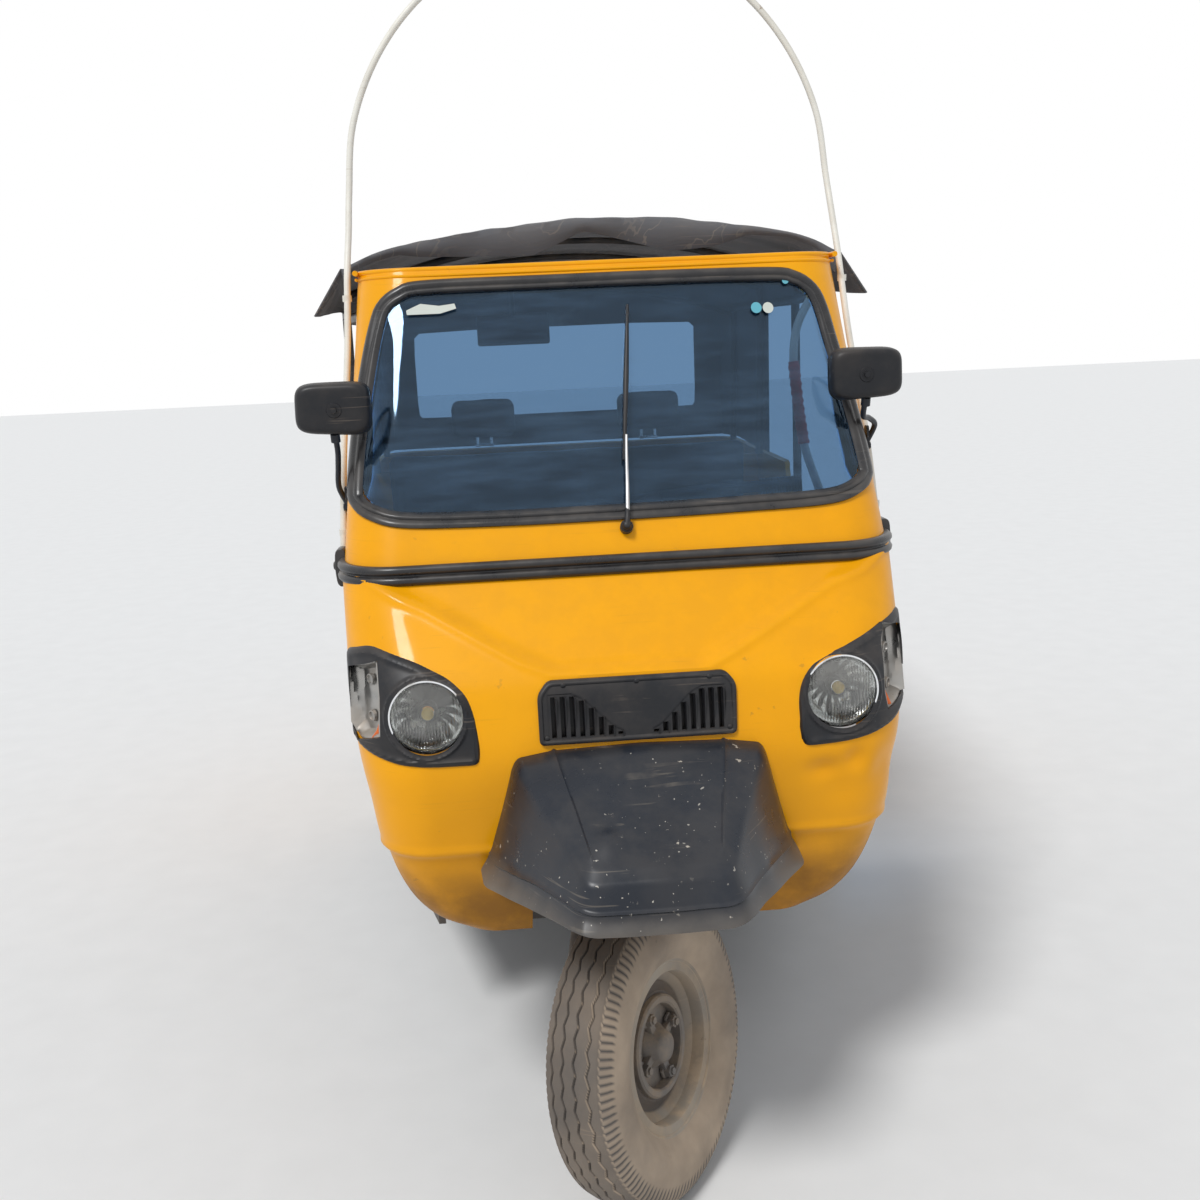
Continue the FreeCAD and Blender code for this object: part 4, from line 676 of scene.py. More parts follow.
rubber_profile = [
    (-0.003, -0.004), (-0.004, 0.001), (-0.002, 0.0048), (0.002, 0.0062), (0.006, 0.0056),
    (0.0085, 0.0036), (0.0105, 0.0024), (0.0125, 0.0044), (0.0155, 0.0048), (0.0180, 0.0034),
    (0.0195, 0.0012), (0.0215, -0.0015), (0.0225, -0.0050), (0.0150, -0.0140), (0.004, -0.0140)]
rubber = swept(
    "windscreen_rubber", seal_line, rubber_profile, lambda *place: on_front(screen_rows, *place))
glossy_rubber = worn(
    "glossy_rubber", (0.012, 0.012, 0.014), (0.03, 0.03, 0.032), 0.3, chip=(0.05, 0.05, 0.05),
    dust=(0.30, 0.25, 0.2), bump=0.12, grain_scale=300.0, dust_amount=0.12, chip_amount=0.1,
    scratch_amount=0.25, rough_spread=0.3)
settle(rubber, glossy_rubber, "black_rubber", "windscreen_seal", degrees=60)

pane_rings = 18
pane_loops = [
    [
        on_front(
            screen_rows, p.x * 0.955 * share, glass_z + (p.z - glass_z) * 0.925 * share, -0.0055)
        for p in seal_line[::2]]
    for share in (1.0 - ring / pane_rings for ring in range(pane_rings))]
size = len(pane_loops[0])
faces = [
    (i * size + j, i * size + (j + 1) % size, (i + 1) * size + (j + 1) % size, (i + 1) * size + j)
    for i in range(pane_rings - 1) for j in range(size)]
start, middle = (pane_rings - 1) * size, pane_rings * size
faces += [(start + j, start + (j + 1) % size, middle) for j in range(size)]
points = [point for loop in pane_loops for point in loop]
pane = solid("windscreen_pane", [*points, on_front(screen_rows, 0.0, glass_z, -0.0055)], faces)
outward(pane, 1, -1)
thicken(pane, 0.004)


def glaze(name, haze, tint, dust_and_sheen_film, film_rough, shine, shine_rough, index, gain=1.0, ribs=None):
    """Clear glass under a diffuse film, with a shine that grows towards its edges. On the lamps
    the film is dust; on the windscreen the film is a painted blue sheen and the shine colour a
    painted blue reflection.
    """
    material, tree, output = blank_material(name)
    relief = {}
    if ribs:
        wave = node(
            tree, "TexWave",
            {
                "Vector": node(tree, "TexCoord").outputs["Object"], "Scale": ribs,
                "Distortion": 0.3, "Detail": 1.0}, bands_direction="X")
        bump = node(
            tree, "Bump", {"Height": wave.outputs["Fac"], "Strength": 0.5, "Distance": 0.0015})
        relief = {"Normal": bump.outputs[0]}
    clear = node(tree, "BsdfTransparent", {"Color": tint})
    # The diffuse film: dust on the lamps, a painted blue sheen on the windscreen.
    dust_and_painted_light = node(tree, "BsdfDiffuse", {"Color": dust_and_sheen_film, "Roughness": film_rough, **relief})
    through = node(tree, "MixShader", {0: haze(tree), 1: clear.outputs[0], 2: dust_and_painted_light.outputs[0]})
    gloss = node(tree, "BsdfGlossy", {"Color": shine, "Roughness": shine_rough, **relief})
    edge = node(tree, "Fresnel", {"IOR": index, **relief}).outputs[0]
    edge = math_node(tree, edge, gain, use_clamp=True)
    glass = node(tree, "MixShader", {0: edge, 1: through.outputs[0], 2: gloss.outputs[0]})
    tree.links.new(glass.outputs[0], output.inputs[0])
    return material


def screen_haze(tree):
    """Patches and slanting wiped streaks."""
    place = node(tree, "TexCoord").outputs["Object"]
    turned = node(
        tree, "Mapping", {0: place, "Rotation": (0.0, 0.5, 0.0), "Scale": (2.0, 1.0, 14.0)})
    streak = node(tree, "TexNoise", {"Vector": turned.outputs[0], "Scale": 4.0, "Detail": 4.0})
    haze = math_node(tree, cloud(tree, 3.0, 6.0, Roughness=0.6), streak.outputs["Fac"])
    return remap(tree, haze, 0.2, 0.5, 0.02, 0.13)


# Painted blue reflection and sheen: the shine (0.60, 0.80, 1.0) and the film (0.24, 0.42, 0.62)
# are blue; the clear tint is the glass's own colour.
screen_glass = glaze(
    "tinted_glass", screen_haze, (0.33, 0.46, 0.60, 1), (0.24, 0.42, 0.62, 1), 0.5,
    (0.60, 0.80, 1.0, 1), 0.03, 1.52)
settle(pane, screen_glass, "screen_glass", "windscreen_glass", degrees=30)

# Belt moulding: two black rubber beads round the front under the windscreen, and a
# clamped pod at each end with a knob on its outside.
strip_profile = [
    (-0.017, -0.004), (-0.018, 0.003), (-0.0165, 0.0065), (-0.013, 0.0100), (-0.008, 0.0110),
    (-0.0035, 0.0085), (-0.001, 0.0045), (0.001, 0.0045), (0.0035, 0.0080), (0.008, 0.0105),
    (0.0125, 0.0100), (0.0160, 0.0065), (0.0175, 0.003), (0.017, -0.004)]
strip_loops = []
for s in range(161):
    share = s / 80 - 1
    point, out = around(screen_rows, 1.1201, share, 0.262)
    strip_loops.append([point + out * off + Vector((0, 0, up)) for up, off in strip_profile])
strip = rings("belt_beads", strip_loops, False)
pods = []
for sign in (-1, 1):
    pod = plate(
        "pod",
        curved(
            [(0.000, 1.083), (0.021, 1.083), (0.024, 1.118), (0.021, 1.153), (0.000, 1.153)], 2),
        axle_y + 0.262, axle_y + 0.296)
    apply(pod, "BEVEL", width=0.004, segments=3)
    knob = lathe(
        "knob", [(0.0, 0.0), (0.0, 0.0085), (0.004, 0.0085), (0.0065, 0.006), (0.0075, 0.0)], 20,
        shift(0.021, axle_y + 0.279, belt_z))
    pod = merged("pod", [pod, knob])
    pod.data.transform(Matrix.Diagonal((sign, 1, 1, 1)) @ shift(0.4935, 0, 0))
    if sign < 0:
        pod.data.flip_normals()
    pods.append(pod)
strip = merged("belt_beads", [strip, *pods])
settle(strip, glossy_rubber, "black_rubber", "belt_strip", degrees=50)

# Grille: black moulded plate with a raised border, two groups of upright louvres
# under a sloping top edge, a plain middle and five screws.


def patch(name, low_x, high_x, low_z, high_z, across, up, height, thickness):
    """A sheet over a rectangle in front view, standing off the cowl by height(x, z)."""
    def place_point(u, v, _):
        x = low_x + (high_x - low_x) * (u + 1) / 2
        z = low_z + (high_z - low_z) * (v + 1) / 2
        return on_front(cowl_rows, x, z, height(x, z))

    return skin(name, across, up, place_point, 1, -1, thickness)


def loop_distance(x, z, outline):
    """Distance inside a closed outline, given against the clock; negative outside."""
    closed = outline + outline[:1]
    inside = False
    best = 1e9
    for (ax, az), (bx, bz) in zip(closed, closed[1:]):
        dx, dz = bx - ax, bz - az
        share = min(max(((x - ax) * dx + (z - az) * dz) / (dx * dx + dz * dz), 0.0), 1.0)
        best = min(best, math.hypot(x - ax - share * dx, z - az - share * dz))
        if (az > z) != (bz > z) and x < ax + (z - az) / (bz - az) * dx:
            inside = not inside
    return best if inside else -best


def rounded(outline, reach):
    """An outline whose corners are arcs that start this far from each corner."""
    count, made = len(outline), []
    for index in range(count):
        corner = Vector(outline[index])
        ends = []
        for other in (outline[index - 1], outline[(index + 1) % count]):
            way = Vector(other) - corner
            ends.append(corner + way.normalized() * min(reach, way.length * 0.48))
        for share in (0.0, 0.25, 0.5, 0.75, 1.0):
            first, second = ends[0].lerp(corner, share), corner.lerp(ends[1], share)
            made.append(tuple(first.lerp(second, share)))
    return made


grille_outline = rounded(
    [
        (-0.166, 0.850), (0.166, 0.850), (0.169, 0.934), (0.152, 0.954), (-0.148, 0.954),
        (-0.166, 0.932)], 0.010)


def louvre_top(x):
    """The sloping upper edge of a louvre group, high towards the outside."""
    reach = abs(x)
    return 0.862 + 0.066 * step(reach, 0.015, 0.115)


def grille_height(x, z):
    inside = loop_distance(x, z, grille_outline)
    height = 0.0085 + 0.0032 * step(inside, 0.000, 0.003) - 0.0026 * step(inside, 0.006, 0.009)
    if 0.024 < abs(x) < 0.150 and 0.858 < z < louvre_top(x) + 0.004:
        height -= 0.0012
    return height


grille = patch("grille", -0.172, 0.172, 0.847, 0.957, 190, 64, grille_height, 0.0050)
remove(grille, plate("trim", grille_outline, axle_y - 0.2, axle_y + 0.2), operation="INTERSECT")
slots, fins = [], []
for side in (-1, 1):
    for index in range(8):
        x = side * (0.030 + index * 0.0158)
        top = louvre_top(x)
        if top - 0.860 < 0.006:
            continue
        slots.append(plate(
            "slot",
            [(x - 0.0042, 0.861), (x + 0.0042, 0.861), (x + 0.0042, top), (x - 0.0042, top)],
            axle_y - 0.2, axle_y + 0.06))
        surface = on_front(cowl_rows, x, (0.861 + top) / 2, 0.0)
        fin = plate(
            "fin",
            [
                (x + 0.0028, 0.8605), (x + 0.0046, 0.8605), (x + 0.0046, top + 0.001),
                (x + 0.0028, top + 0.001)], surface.y - 0.0125, surface.y + 0.004)
        fin.data.transform(
            Matrix.Translation(surface) @ Matrix.Rotation(0.12, 4, "Z")
            @ Matrix.Translation(-surface))
        fins.append(fin)
remove(grille, merged("cut", slots))
backing = patch("backing", -0.156, 0.156, 0.852, 0.938, 30, 10, lambda x, z: -0.016, 0.003)
screws = []
for x, z in ((-0.122, 0.946), (0.001, 0.946), (0.124, 0.946), (-0.153, 0.862), (0.154, 0.862)):
    screw = lathe(
        "screw", [(0.0, 0.0), (0.0, 0.0045), (0.0012, 0.0042), (0.0022, 0.003), (0.0028, 0.0)], 16,
        Matrix.Translation(on_front(cowl_rows, x, z, grille_height(x, z))) @ spin(-90, "Z"))
    screws.append(screw)
grille = merged("grille", [grille, backing, *fins, *screws])
black_plastic = worn(
    "black_plastic", (0.010, 0.011, 0.014), (0.020, 0.022, 0.026), 0.40, chip=(0.16, 0.16, 0.16),
    dust=(0.34, 0.27, 0.21), bump=0.18, grain_scale=260.0, dust_amount=0.09, chip_amount=0.25,
    scratch_amount=0.25, rough_spread=0.3, shade_amount=0.6, ior=1.38)
settle(grille, black_plastic, "black_plastic", "grille_panel")

# Headlamps: black plates with a raised inner line round each lamp, ribbed glass
# over a bright faceted bowl, and an open chrome box where the flasher lens has
# broken away, a sliver of orange left in its corner.


def pointing(point, way):
    """The placing that turns X along a direction and moves it to a point."""
    return Matrix.Translation(point) @ way.to_track_quat("X", "Z").to_matrix().to_4x4()


right_outline = [
    (-0.491, 1.003), (-0.442, 1.019), (-0.366, 0.995), (-0.311, 0.968), (-0.281, 0.941),
    (-0.269, 0.906), (-0.262, 0.849), (-0.266, 0.820), (-0.345, 0.821), (-0.400, 0.826),
    (-0.448, 0.838), (-0.484, 0.852)]
left_outline = [
    (0.484, 0.862), (0.448, 0.838), (0.400, 0.826), (0.340, 0.818), (0.281, 0.815), (0.273, 0.835),
    (0.272, 0.899), (0.280, 0.931), (0.305, 0.957), (0.375, 0.985), (0.436, 1.006), (0.491, 1.020)]
shell_right = [
    (-0.4865, 0.975), (-0.431, 0.994), (-0.428, 0.937), (-0.431, 0.872), (-0.474, 0.857),
    (-0.4865, 0.880)]
shell_left = [
    (0.4865, 0.990), (0.442, 1.004), (0.432, 0.975), (0.430, 0.893), (0.436, 0.862),
    (0.4865, 0.875)]
lamp_places = ((-0.3505, 0.9055), (0.3505, 0.9055))
bezels, bowls, lenses, bulbs, chips, trays, shades = [], [], [], [], [], [], []
for (lamp_x, lamp_z), outline, shell in zip(
        lamp_places, (right_outline, left_outline), (shell_right, shell_left)):
    sign = math.copysign(1, lamp_x)
    outer = rounded(outline, 0.016)
    behind_lamp = shift(lamp_x, axle_y - 0.006, lamp_z) @ spin(90, "Z")

    def bezel_height(x, z):
        inside = loop_distance(x, z, outer)
        round_lamp = math.hypot(x - lamp_x, z - lamp_z)
        height = -0.002 + 0.0095 * step(inside, -0.001, 0.006)
        height += 0.0020 * math.exp(-((inside - 0.0115) / 0.0020) ** 2)
        height += 0.0025 * math.exp(-((round_lamp - 0.0665) / 0.0022) ** 2)
        height -= 0.0014 * step(inside, 0.014, 0.020) * step(round_lamp, 0.068, 0.072)
        return height

    low_x, high_x = sorted((sign * 0.252, sign * 0.4915))
    bezel = patch("bezel", low_x, high_x, 0.806, 1.030, 84, 76, bezel_height, 0.004)
    remove(bezel, plate("trim", outer, axle_y - 0.2, axle_y + 0.2), operation="INTERSECT")
    hole = lathe(
        "hole", [(-0.3, 0.0), (-0.3, 0.0605), (0.3, 0.0605), (0.3, 0.0)], 64,
        shift(lamp_x, axle_y, lamp_z) @ spin(90, "Z"))
    remove(bezel, hole, plate("cut", shell, axle_y - 0.2, axle_y + 0.2))
    bezels.append(bezel)

    bowl = lathe(
        "bowl",
        [
            (0.000, 0.0610), (0.006, 0.0612), (0.010, 0.0585), (0.022, 0.0555), (0.040, 0.0470),
            (0.052, 0.0330), (0.058, 0.0160), (0.060, 0.0120), (0.066, 0.0120), (0.066, 0.0170),
            (0.056, 0.0380), (0.042, 0.0510), (0.024, 0.0600), (0.004, 0.0638), (0.000, 0.0638),
            (0.0, 0.0610)], 96)
    for vertex in bowl.data.vertices:
        turn = math.atan2(vertex.co.z, vertex.co.y)
        radius = math.hypot(vertex.co.z, vertex.co.y)
        if 0.010 < vertex.co.x < 0.056 and radius > 0.015:
            vertex.co.x += 0.0012 * (abs((turn * 16 / math.tau) % 1 * 2 - 1) - 0.5)
    bowl.data.transform(behind_lamp)
    bowls.append(bowl)
    lens = lathe(
        "lens",
        [
            (-0.0085, 0.0), (-0.0080, 0.014), (-0.0060, 0.028), (-0.0025, 0.042), (0.0015, 0.052),
            (0.0050, 0.0590), (0.0080, 0.0595), (0.0080, 0.054), (0.0045, 0.045), (0.001, 0.032),
            (-0.0025, 0.016), (-0.0035, 0.0)], 96, behind_lamp)
    lenses.append(lens)
    bulb = lathe(
        "bulb",
        [
            (0.012, 0.0), (0.014, 0.007), (0.019, 0.0105), (0.028, 0.0100), (0.034, 0.006),
            (0.038, 0.006), (0.038, 0.0)], 32, behind_lamp)
    shade = lathe(
        "shade_ring",
        [
            (0.030, 0.0110), (0.030, 0.0165), (0.034, 0.0175), (0.058, 0.0150), (0.058, 0.0110),
            (0.030, 0.0110)], 40, behind_lamp)
    shades.append(shade)
    bulbs.append(bulb)

    low_x, high_x = sorted((sign * 0.424, sign * 0.4875))

    def shell_depth(x, z):
        inside = loop_distance(x, z, shell)
        ripple = 0.0012 * noise.noise(Vector((x * 60, z * 60, 2.0)))
        return 0.0015 - 0.019 * step(inside, 0.0015, 0.012) + ripple * step(inside, 0.01, 0.02)

    tray = patch("tray", low_x, high_x, 0.852, 1.006, 36, 80, shell_depth, 0.0022)
    remove(
        tray, plate("trim", [(x * 1.002, z) for x, z in shell], axle_y - 0.2, axle_y + 0.4),
        operation="INTERSECT")
    trays.append(tray)
    for socket_z in (0.958, 0.898):
        socket = lathe(
            "socket",
            [
                (-0.001, 0.0), (-0.001, 0.0050), (0.001, 0.0050), (0.001, 0.0105),
                (0.0065, 0.0095), (0.0070, 0.0075), (0.0040, 0.0065), (0.0036, 0.0)], 24)
        half, front, corner = at(cowl_rows, socket_z)
        turn = math.asin(min((0.4560 - half + corner) / corner, 1.0))
        facing = Vector((sign * math.sin(turn), -math.cos(turn), 0))
        socket.data.transform(
            pointing(on_front(cowl_rows, sign * 0.4560, socket_z, -0.017), facing))
        trays.append(socket)

    corner_chip = (
        [(0.4335, 0.896), (0.4395, 0.866), (0.4460, 0.868), (0.4385, 0.885)]
        if sign > 0 else [(-0.4325, 0.895), (-0.4335, 0.874), (-0.4480, 0.867), (-0.4380, 0.880)])
    chip_y = on_front(cowl_rows, sign * 0.438, 0.88, -0.002).y - axle_y
    chip = plate("chip", corner_chip, axle_y, axle_y + 0.004, shift(0, chip_y, 0))
    apply(chip, "BEVEL", width=0.0008, segments=2)
    chips.append(chip)

settle(("bulb_shades", shades), black_plastic, "black_plastic")
settle(("headlamp_plates", bezels), black_plastic, "black_plastic", "headlamp_bezels")
tray_metal = worn(
    "dull_tray", (0.46, 0.46, 0.45), (0.26, 0.25, 0.235), 0.30, metal=0.85,
    chip=(0.10, 0.08, 0.06), dust=(0.36, 0.30, 0.24), bump=0.3, grain_scale=160.0,
    dust_amount=0.55, chip_amount=0.6, scratch_amount=0.4, shade_amount=0.9, rough_spread=0.4)
settle(("flasher_trays", trays), tray_metal, "lamp_chrome", degrees=25)


def silvered(name, clean, dirty, spots, rough):
    """Bright metal, mixed and roughened where spots(tree) is 1."""
    material, tree, output = blank_material(name)
    amount = spots(tree)
    bright = node(
        tree, "BsdfPrincipled",
        {
            "Base Color": blend(tree, amount, clean, dirty), "Metallic": 1.0,
            "Roughness": remap(tree, amount, 0.0, 1.0, *rough)})
    tree.links.new(bright.outputs[0], output.inputs[0])
    return material


worn_chrome = silvered(
    "bright_bowl", (0.93, 0.94, 0.95, 1), (0.62, 0.60, 0.56, 1),
    lambda tree: remap(tree, cloud(tree, 38.0, 5.0), 0.50, 0.68), (0.10, 0.42))
settle(("lamp_bowls_finish", bowls), worn_chrome, "lamp_chrome", "lamp_bowls", degrees=25)

lamp_glass = glaze(
    "ribbed_lens", lambda tree: remap(tree, cloud(tree, 12.0, 6.0), 0.35, 0.7, 0.03, 0.14),
    (0.97, 0.98, 0.97, 1), (0.80, 0.78, 0.72, 1), 0.0, (0.8, 0.8, 0.8, 1), 0.06, 1.55, 1.6, 62.0)
settle(("headlamp_lenses", lenses), lamp_glass, "lamp_glass", "headlamp_glasses", degrees=40)
amber = worn(
    "amber_bulb", (0.86, 0.62, 0.12), (0.70, 0.40, 0.04), 0.18, dust=(0.3, 0.25, 0.2),
    dust_amount=0.1, chip_amount=0.0, scratch_amount=0.0, coat=0.5)
settle(("headlamp_bulbs", bulbs), amber, "lamp_glass", degrees=40)
flasher = worn(
    "orange_chip", (0.85, 0.16, 0.01), (0.65, 0.10, 0.01), 0.2, dust_amount=0.1, chip_amount=0.0,
    scratch_amount=0.2, coat=0.4)
settle(("flasher_chips", chips), flasher, "lamp_red", degrees=30)

# Front mudguard: one moulded black shell over the tyre, flat on top between two fine
# ridges, folded down in front, with flared wings and a rim line above its flange.
guard_columns = (0.0, 0.26, 0.34, 0.54, 0.82, 1.0)
guard_levels = (0.00, 0.34, 0.55, 0.83, 1.00)
guard_net = (
    (
        (0.0, -0.215, 0.752), (0.0, -0.215, 0.752), (0.0, -0.210, 0.756), (0.0, -0.150, 0.788),
        (0.0, -0.045, 0.843), (0.0, 0.055, 0.847)),
    (
        (0.0, -0.258, 0.729), (0.092, -0.258, 0.727), (0.103, -0.248, 0.733),
        (0.118, -0.170, 0.775), (0.144, -0.045, 0.839), (0.150, 0.055, 0.843)),
    (
        (0.0, -0.279, 0.712), (0.100, -0.277, 0.709), (0.115, -0.268, 0.712),
        (0.152, -0.170, 0.762), (0.208, -0.045, 0.828), (0.221, 0.055, 0.836)),
    (
        (0.0, -0.294, 0.672), (0.104, -0.292, 0.672), (0.126, -0.280, 0.677),
        (0.186, -0.170, 0.674), (0.250, -0.045, 0.654), (0.268, 0.055, 0.652)),
    (
        (0.0, -0.306, 0.640), (0.104, -0.305, 0.641), (0.126, -0.297, 0.646),
        (0.190, -0.185, 0.635), (0.268, -0.050, 0.617), (0.276, 0.055, 0.611)))


def guard_point(across, down):
    """A place on the flat-sided form that the shell is rounded from."""
    if down < 0.0:
        mirrored = guard_point(across, -down)
        return Vector((-mirrored.x, mirrored.y, mirrored.z))
    reach = min(abs(across), 1.0)
    down = min(down, 1.0)
    places = []
    for row in guard_net:
        for k in range(len(row) - 1):
            if reach <= guard_columns[k + 1]:
                break
        share = (reach - guard_columns[k]) / (guard_columns[k + 1] - guard_columns[k])
        places.append(Vector(row[k]).lerp(Vector(row[k + 1]), share))
    for k in range(len(places) - 1):
        if down <= guard_levels[k + 1]:
            break
    share = (down - guard_levels[k]) / (guard_levels[k + 1] - guard_levels[k])
    point = places[k].lerp(places[k + 1], share)
    return Vector((math.copysign(point.x, across), point.y, point.z))


def guard_place(u, v, _):
    down = (v + 1) / 2
    soft = 0.028 if down < 0.7 else 0.012
    point = Vector()
    for a in (-1, 0, 1):
        for b in (-1, 0, 1):
            point += guard_point(u + a * 0.024, down + b * soft) / 9
    out = Vector((point.x, point.y + 0.10, 0.0))
    out = out.normalized() * step(down, 0.0, 0.2)
    side_only = step(abs(u), 0.33, 0.38)
    point.z += 0.0034 * math.exp(-((down - 0.34) / 0.009) ** 2) * side_only
    point += out * 0.0040 * math.exp(-((down - 0.835) / 0.010) ** 2)
    point += out * 0.0060 * step(down, 0.88, 1.0)
    x, along = point.x, point.y
    if down < 0.6:
        point.z += 0.009 * math.exp(-((x + 0.072) / 0.026) ** 2 - ((along + 0.220) / 0.026) ** 2)
        point.z -= 0.005 * math.exp(-((x - 0.050) / 0.04) ** 2 - ((along + 0.120) / 0.05) ** 2)
    point += out * 0.0022 * down * noise.noise(Vector((x * 15, along * 13, point.z * 9)))
    point.y += axle_y
    return point


guard = skin("mudguard", 140, 74, guard_place, 2, 1, 0.0035)
guard_black = worn(
    "scratched_black", (0.010, 0.013, 0.020), (0.022, 0.027, 0.037), 0.30, chip=(0.50, 0.45, 0.38),
    dust=(0.33, 0.28, 0.22), bump=0.08, grain_scale=260.0, dust_amount=0.05, chip_amount=0.9,
    scratch_amount=0.32, rough_spread=0.25, shade_amount=0.8, low_edge=0.672, low_dust=0.9,
    ior=1.38)
tree, wear = opened(guard_black)
speck = math_node(
    tree, remap(tree, cloud(tree, 135.0, 1.0), 0.735, 0.765),
    remap(tree, cloud(tree, 7.0), 0.42, 0.58))
tree.links.new(
    blend(tree, speck, wear.outputs["Color"], (0.45, 0.42, 0.37, 1)),
    tree.nodes["surface"].inputs["Base Color"])
settle(guard, guard_black, "black_plastic", "front_mudguard", degrees=32)

# Wiper: domed boss on the rubber's lower edge, silver arm and a black blade in its
# frame, parked upright at the middle.
slope = (header_front - belt_front) / (header_z - belt_z)
off_glass = Vector((0, -1, slope)).normalized()


def before_screen(x, z, off):
    """A place this far in front of the windscreen's plane."""
    return Vector((x, axle_y + belt_front + slope * (z - belt_z), z)) + off_glass * off


boss = lathe(
    "boss",
    [
        (-0.006, 0.0), (-0.006, 0.0115), (0.007, 0.0115), (0.0095, 0.0085), (0.0120, 0.0075),
        (0.0170, 0.0068), (0.0190, 0.0045), (0.0195, 0.0)], 32,
    pointing(before_screen(0.010, 1.178, 0.006), off_glass))
clip = tube(
    "clip",
    [
        before_screen(0.010, 1.178, 0.020), before_screen(0.012, 1.192, 0.021),
        before_screen(0.013, 1.206, 0.018)], [0.0058, 0.0050, 0.0042], 12, 14)


def on_blade(share, off):
    """A place along the wiper's blade, from its foot at 0 to its tip at 1."""
    return before_screen(0.015 + 0.029 * share, 1.290 + 0.270 * share, off)


fifths = (0, 0.25, 0.5, 0.75, 1)
blade = tube(
    "blade", [on_blade(s, 0.0072 + 0.0010 * math.sin(s * math.pi)) for s in fifths], 0.0034, 8, 40)
spine = tube(
    "spine", [on_blade(s, 0.0105 + 0.0045 * math.sin(s * math.pi)) for s in fifths],
    [0.0024, 0.0042, 0.0052, 0.0042, 0.0024], 8, 40)
joints = [
    tube("link", [on_blade(s, 0.0055), on_blade(s, 0.0140)], 0.0036, 8, 4)
    for s in (0.06, 0.34, 0.66, 0.94)]
wiper = merged("wiper_blade", [boss, clip, blade, spine, *joints])
settle(wiper, black_plastic, "black_steel", "wiper", degrees=50)
arm = tube(
    "wiper_arm",
    [
        before_screen(0.013, 1.200, 0.0190), before_screen(0.016, 1.240, 0.0170),
        before_screen(0.019, 1.290, 0.0165), before_screen(0.022, 1.330, 0.0165)],
    [0.0042, 0.0038, 0.0032, 0.0026], 10, 40)
silver = worn(
    "dull_silver", (0.55, 0.55, 0.55), (0.36, 0.35, 0.34), 0.34, metal=0.9,
    chip=(0.12, 0.08, 0.05), dust=(0.35, 0.3, 0.25), dust_amount=0.15, chip_amount=0.3,
    scratch_amount=0.3, bump=0.1)
settle(arm, silver, "black_steel", degrees=60)

# Mirrors: moulded housings with a rolled edge and a big bolt, on bent rods from
# brackets on the pillars, with the glass on the driver's side of each.
housings, mirror_rods, faces = [], [], []
for side, x, z, foot_z, tilt in (
        (-1, -0.492, 1.407, 1.232, 0.035), (1, 0.461, 1.425, 1.296, -0.02)):
    y = axle_y + 0.232
    loops = []
    for depth, scale in (
            (-0.016, 0.70), (-0.0155, 0.80), (-0.0135, 0.88), (-0.009, 0.945), (-0.002, 0.985),
            (0.006, 1.0), (0.0125, 1.0), (0.0135, 1.012), (0.0160, 1.012), (0.0160, 0.965),
            (0.0118, 0.955)):
        loop = []
        for k in range(72):
            turn = k * math.tau / 72
            waves = ((0.066, math.cos(turn)), (0.0455, math.sin(turn)))
            px, pz = (
                half * math.copysign(abs(wave) ** 0.42, wave) * scale for half, wave in waves)
            pz *= 1.0 - 0.05 * side * px / 0.066
            loop.append(Vector((px, depth, pz)))
        loops.append(loop)
    shell = rings("shell", loops, False)
    bolt = lathe(
        "bolt",
        [
            (0.0, 0.0), (0.0, 0.0085), (0.0030, 0.0085), (0.0030, 0.0060), (0.0070, 0.0052),
            (0.0074, 0.0)], 6, shift(side * -0.004, -0.0155, -0.002) @ spin(-90, "Z"))
    pad = lathe(
        "pad", [(0.0, 0.0), (0.0, 0.0135), (0.0014, 0.0125), (0.0016, 0.0)], 28,
        shift(side * -0.004, -0.0160, -0.002) @ spin(-90, "Z"))
    housing = merged("housing", [shell, bolt, pad])
    turned = shift(x, y, z) @ Matrix.Rotation(tilt, 4, "Y")
    housing.data.transform(turned)
    housings.append(housing)
    face_steps = ((0.95, -0.0020), (0.95, 0.0004), (0.94, 0.0008), (0.60, 0.0016), (0.25, 0.0019))
    face_loops = []
    for scale, rise in face_steps:
        face_loops.append([Vector((p.x * scale, 0.0125 + rise, p.z * scale)) for p in loops[5]])
    face = rings("face", face_loops, False)
    face.data.transform(turned)
    faces.append(face)
    half = belt_half + (foot_z - belt_z) / 0.525 * (header_half - belt_half)
    foot = Vector((side * (half + 0.004), axle_y + 0.316, foot_z))
    bend = Vector((side * (half + 0.013), axle_y + 0.300, foot_z + 0.030))
    top = Vector((x, y + 0.020, z - 0.077))
    rod = tube(
        "rod",
        [
            foot, bend, bend.lerp(top, 0.5) + Vector((0, 0, 0.004)), top,
            Vector((x, y + 0.003, z - 0.046))], 0.0052, 12, 60)
    outline = curved([(-0.011, -0.020), (0.011, -0.020), (0.011, 0.026), (-0.011, 0.026)], 2)
    place = Matrix.Translation(foot + Vector((side * -0.001, 0.002, 0.002))) @ spin(side * 90, "Z")
    bracket = plate("bracket", outline, -0.0022, 0.0022, place)
    place = Matrix.Translation(
        foot + Vector((side * 0.0005, 0.002, -0.010))) @ spin(90 - side * 90, "Z")
    nut = lathe("nut", [(0.0, 0.0), (0.0, 0.0070), (0.0055, 0.0066), (0.0060, 0.0)], 6, place)
    collar = tube("collar", [(x, y + 0.006, z - 0.058), (x, y + 0.002, z - 0.044)], 0.0085, 16, 5)
    mirror_rods += [rod, bracket, nut, collar]
settle(("mirror_rods", mirror_rods), guard_black, "black_steel", "mirror_arms", degrees=40)
settle(("mirror_shells", housings), black_plastic, "black_plastic", "mirror_housings", degrees=40)
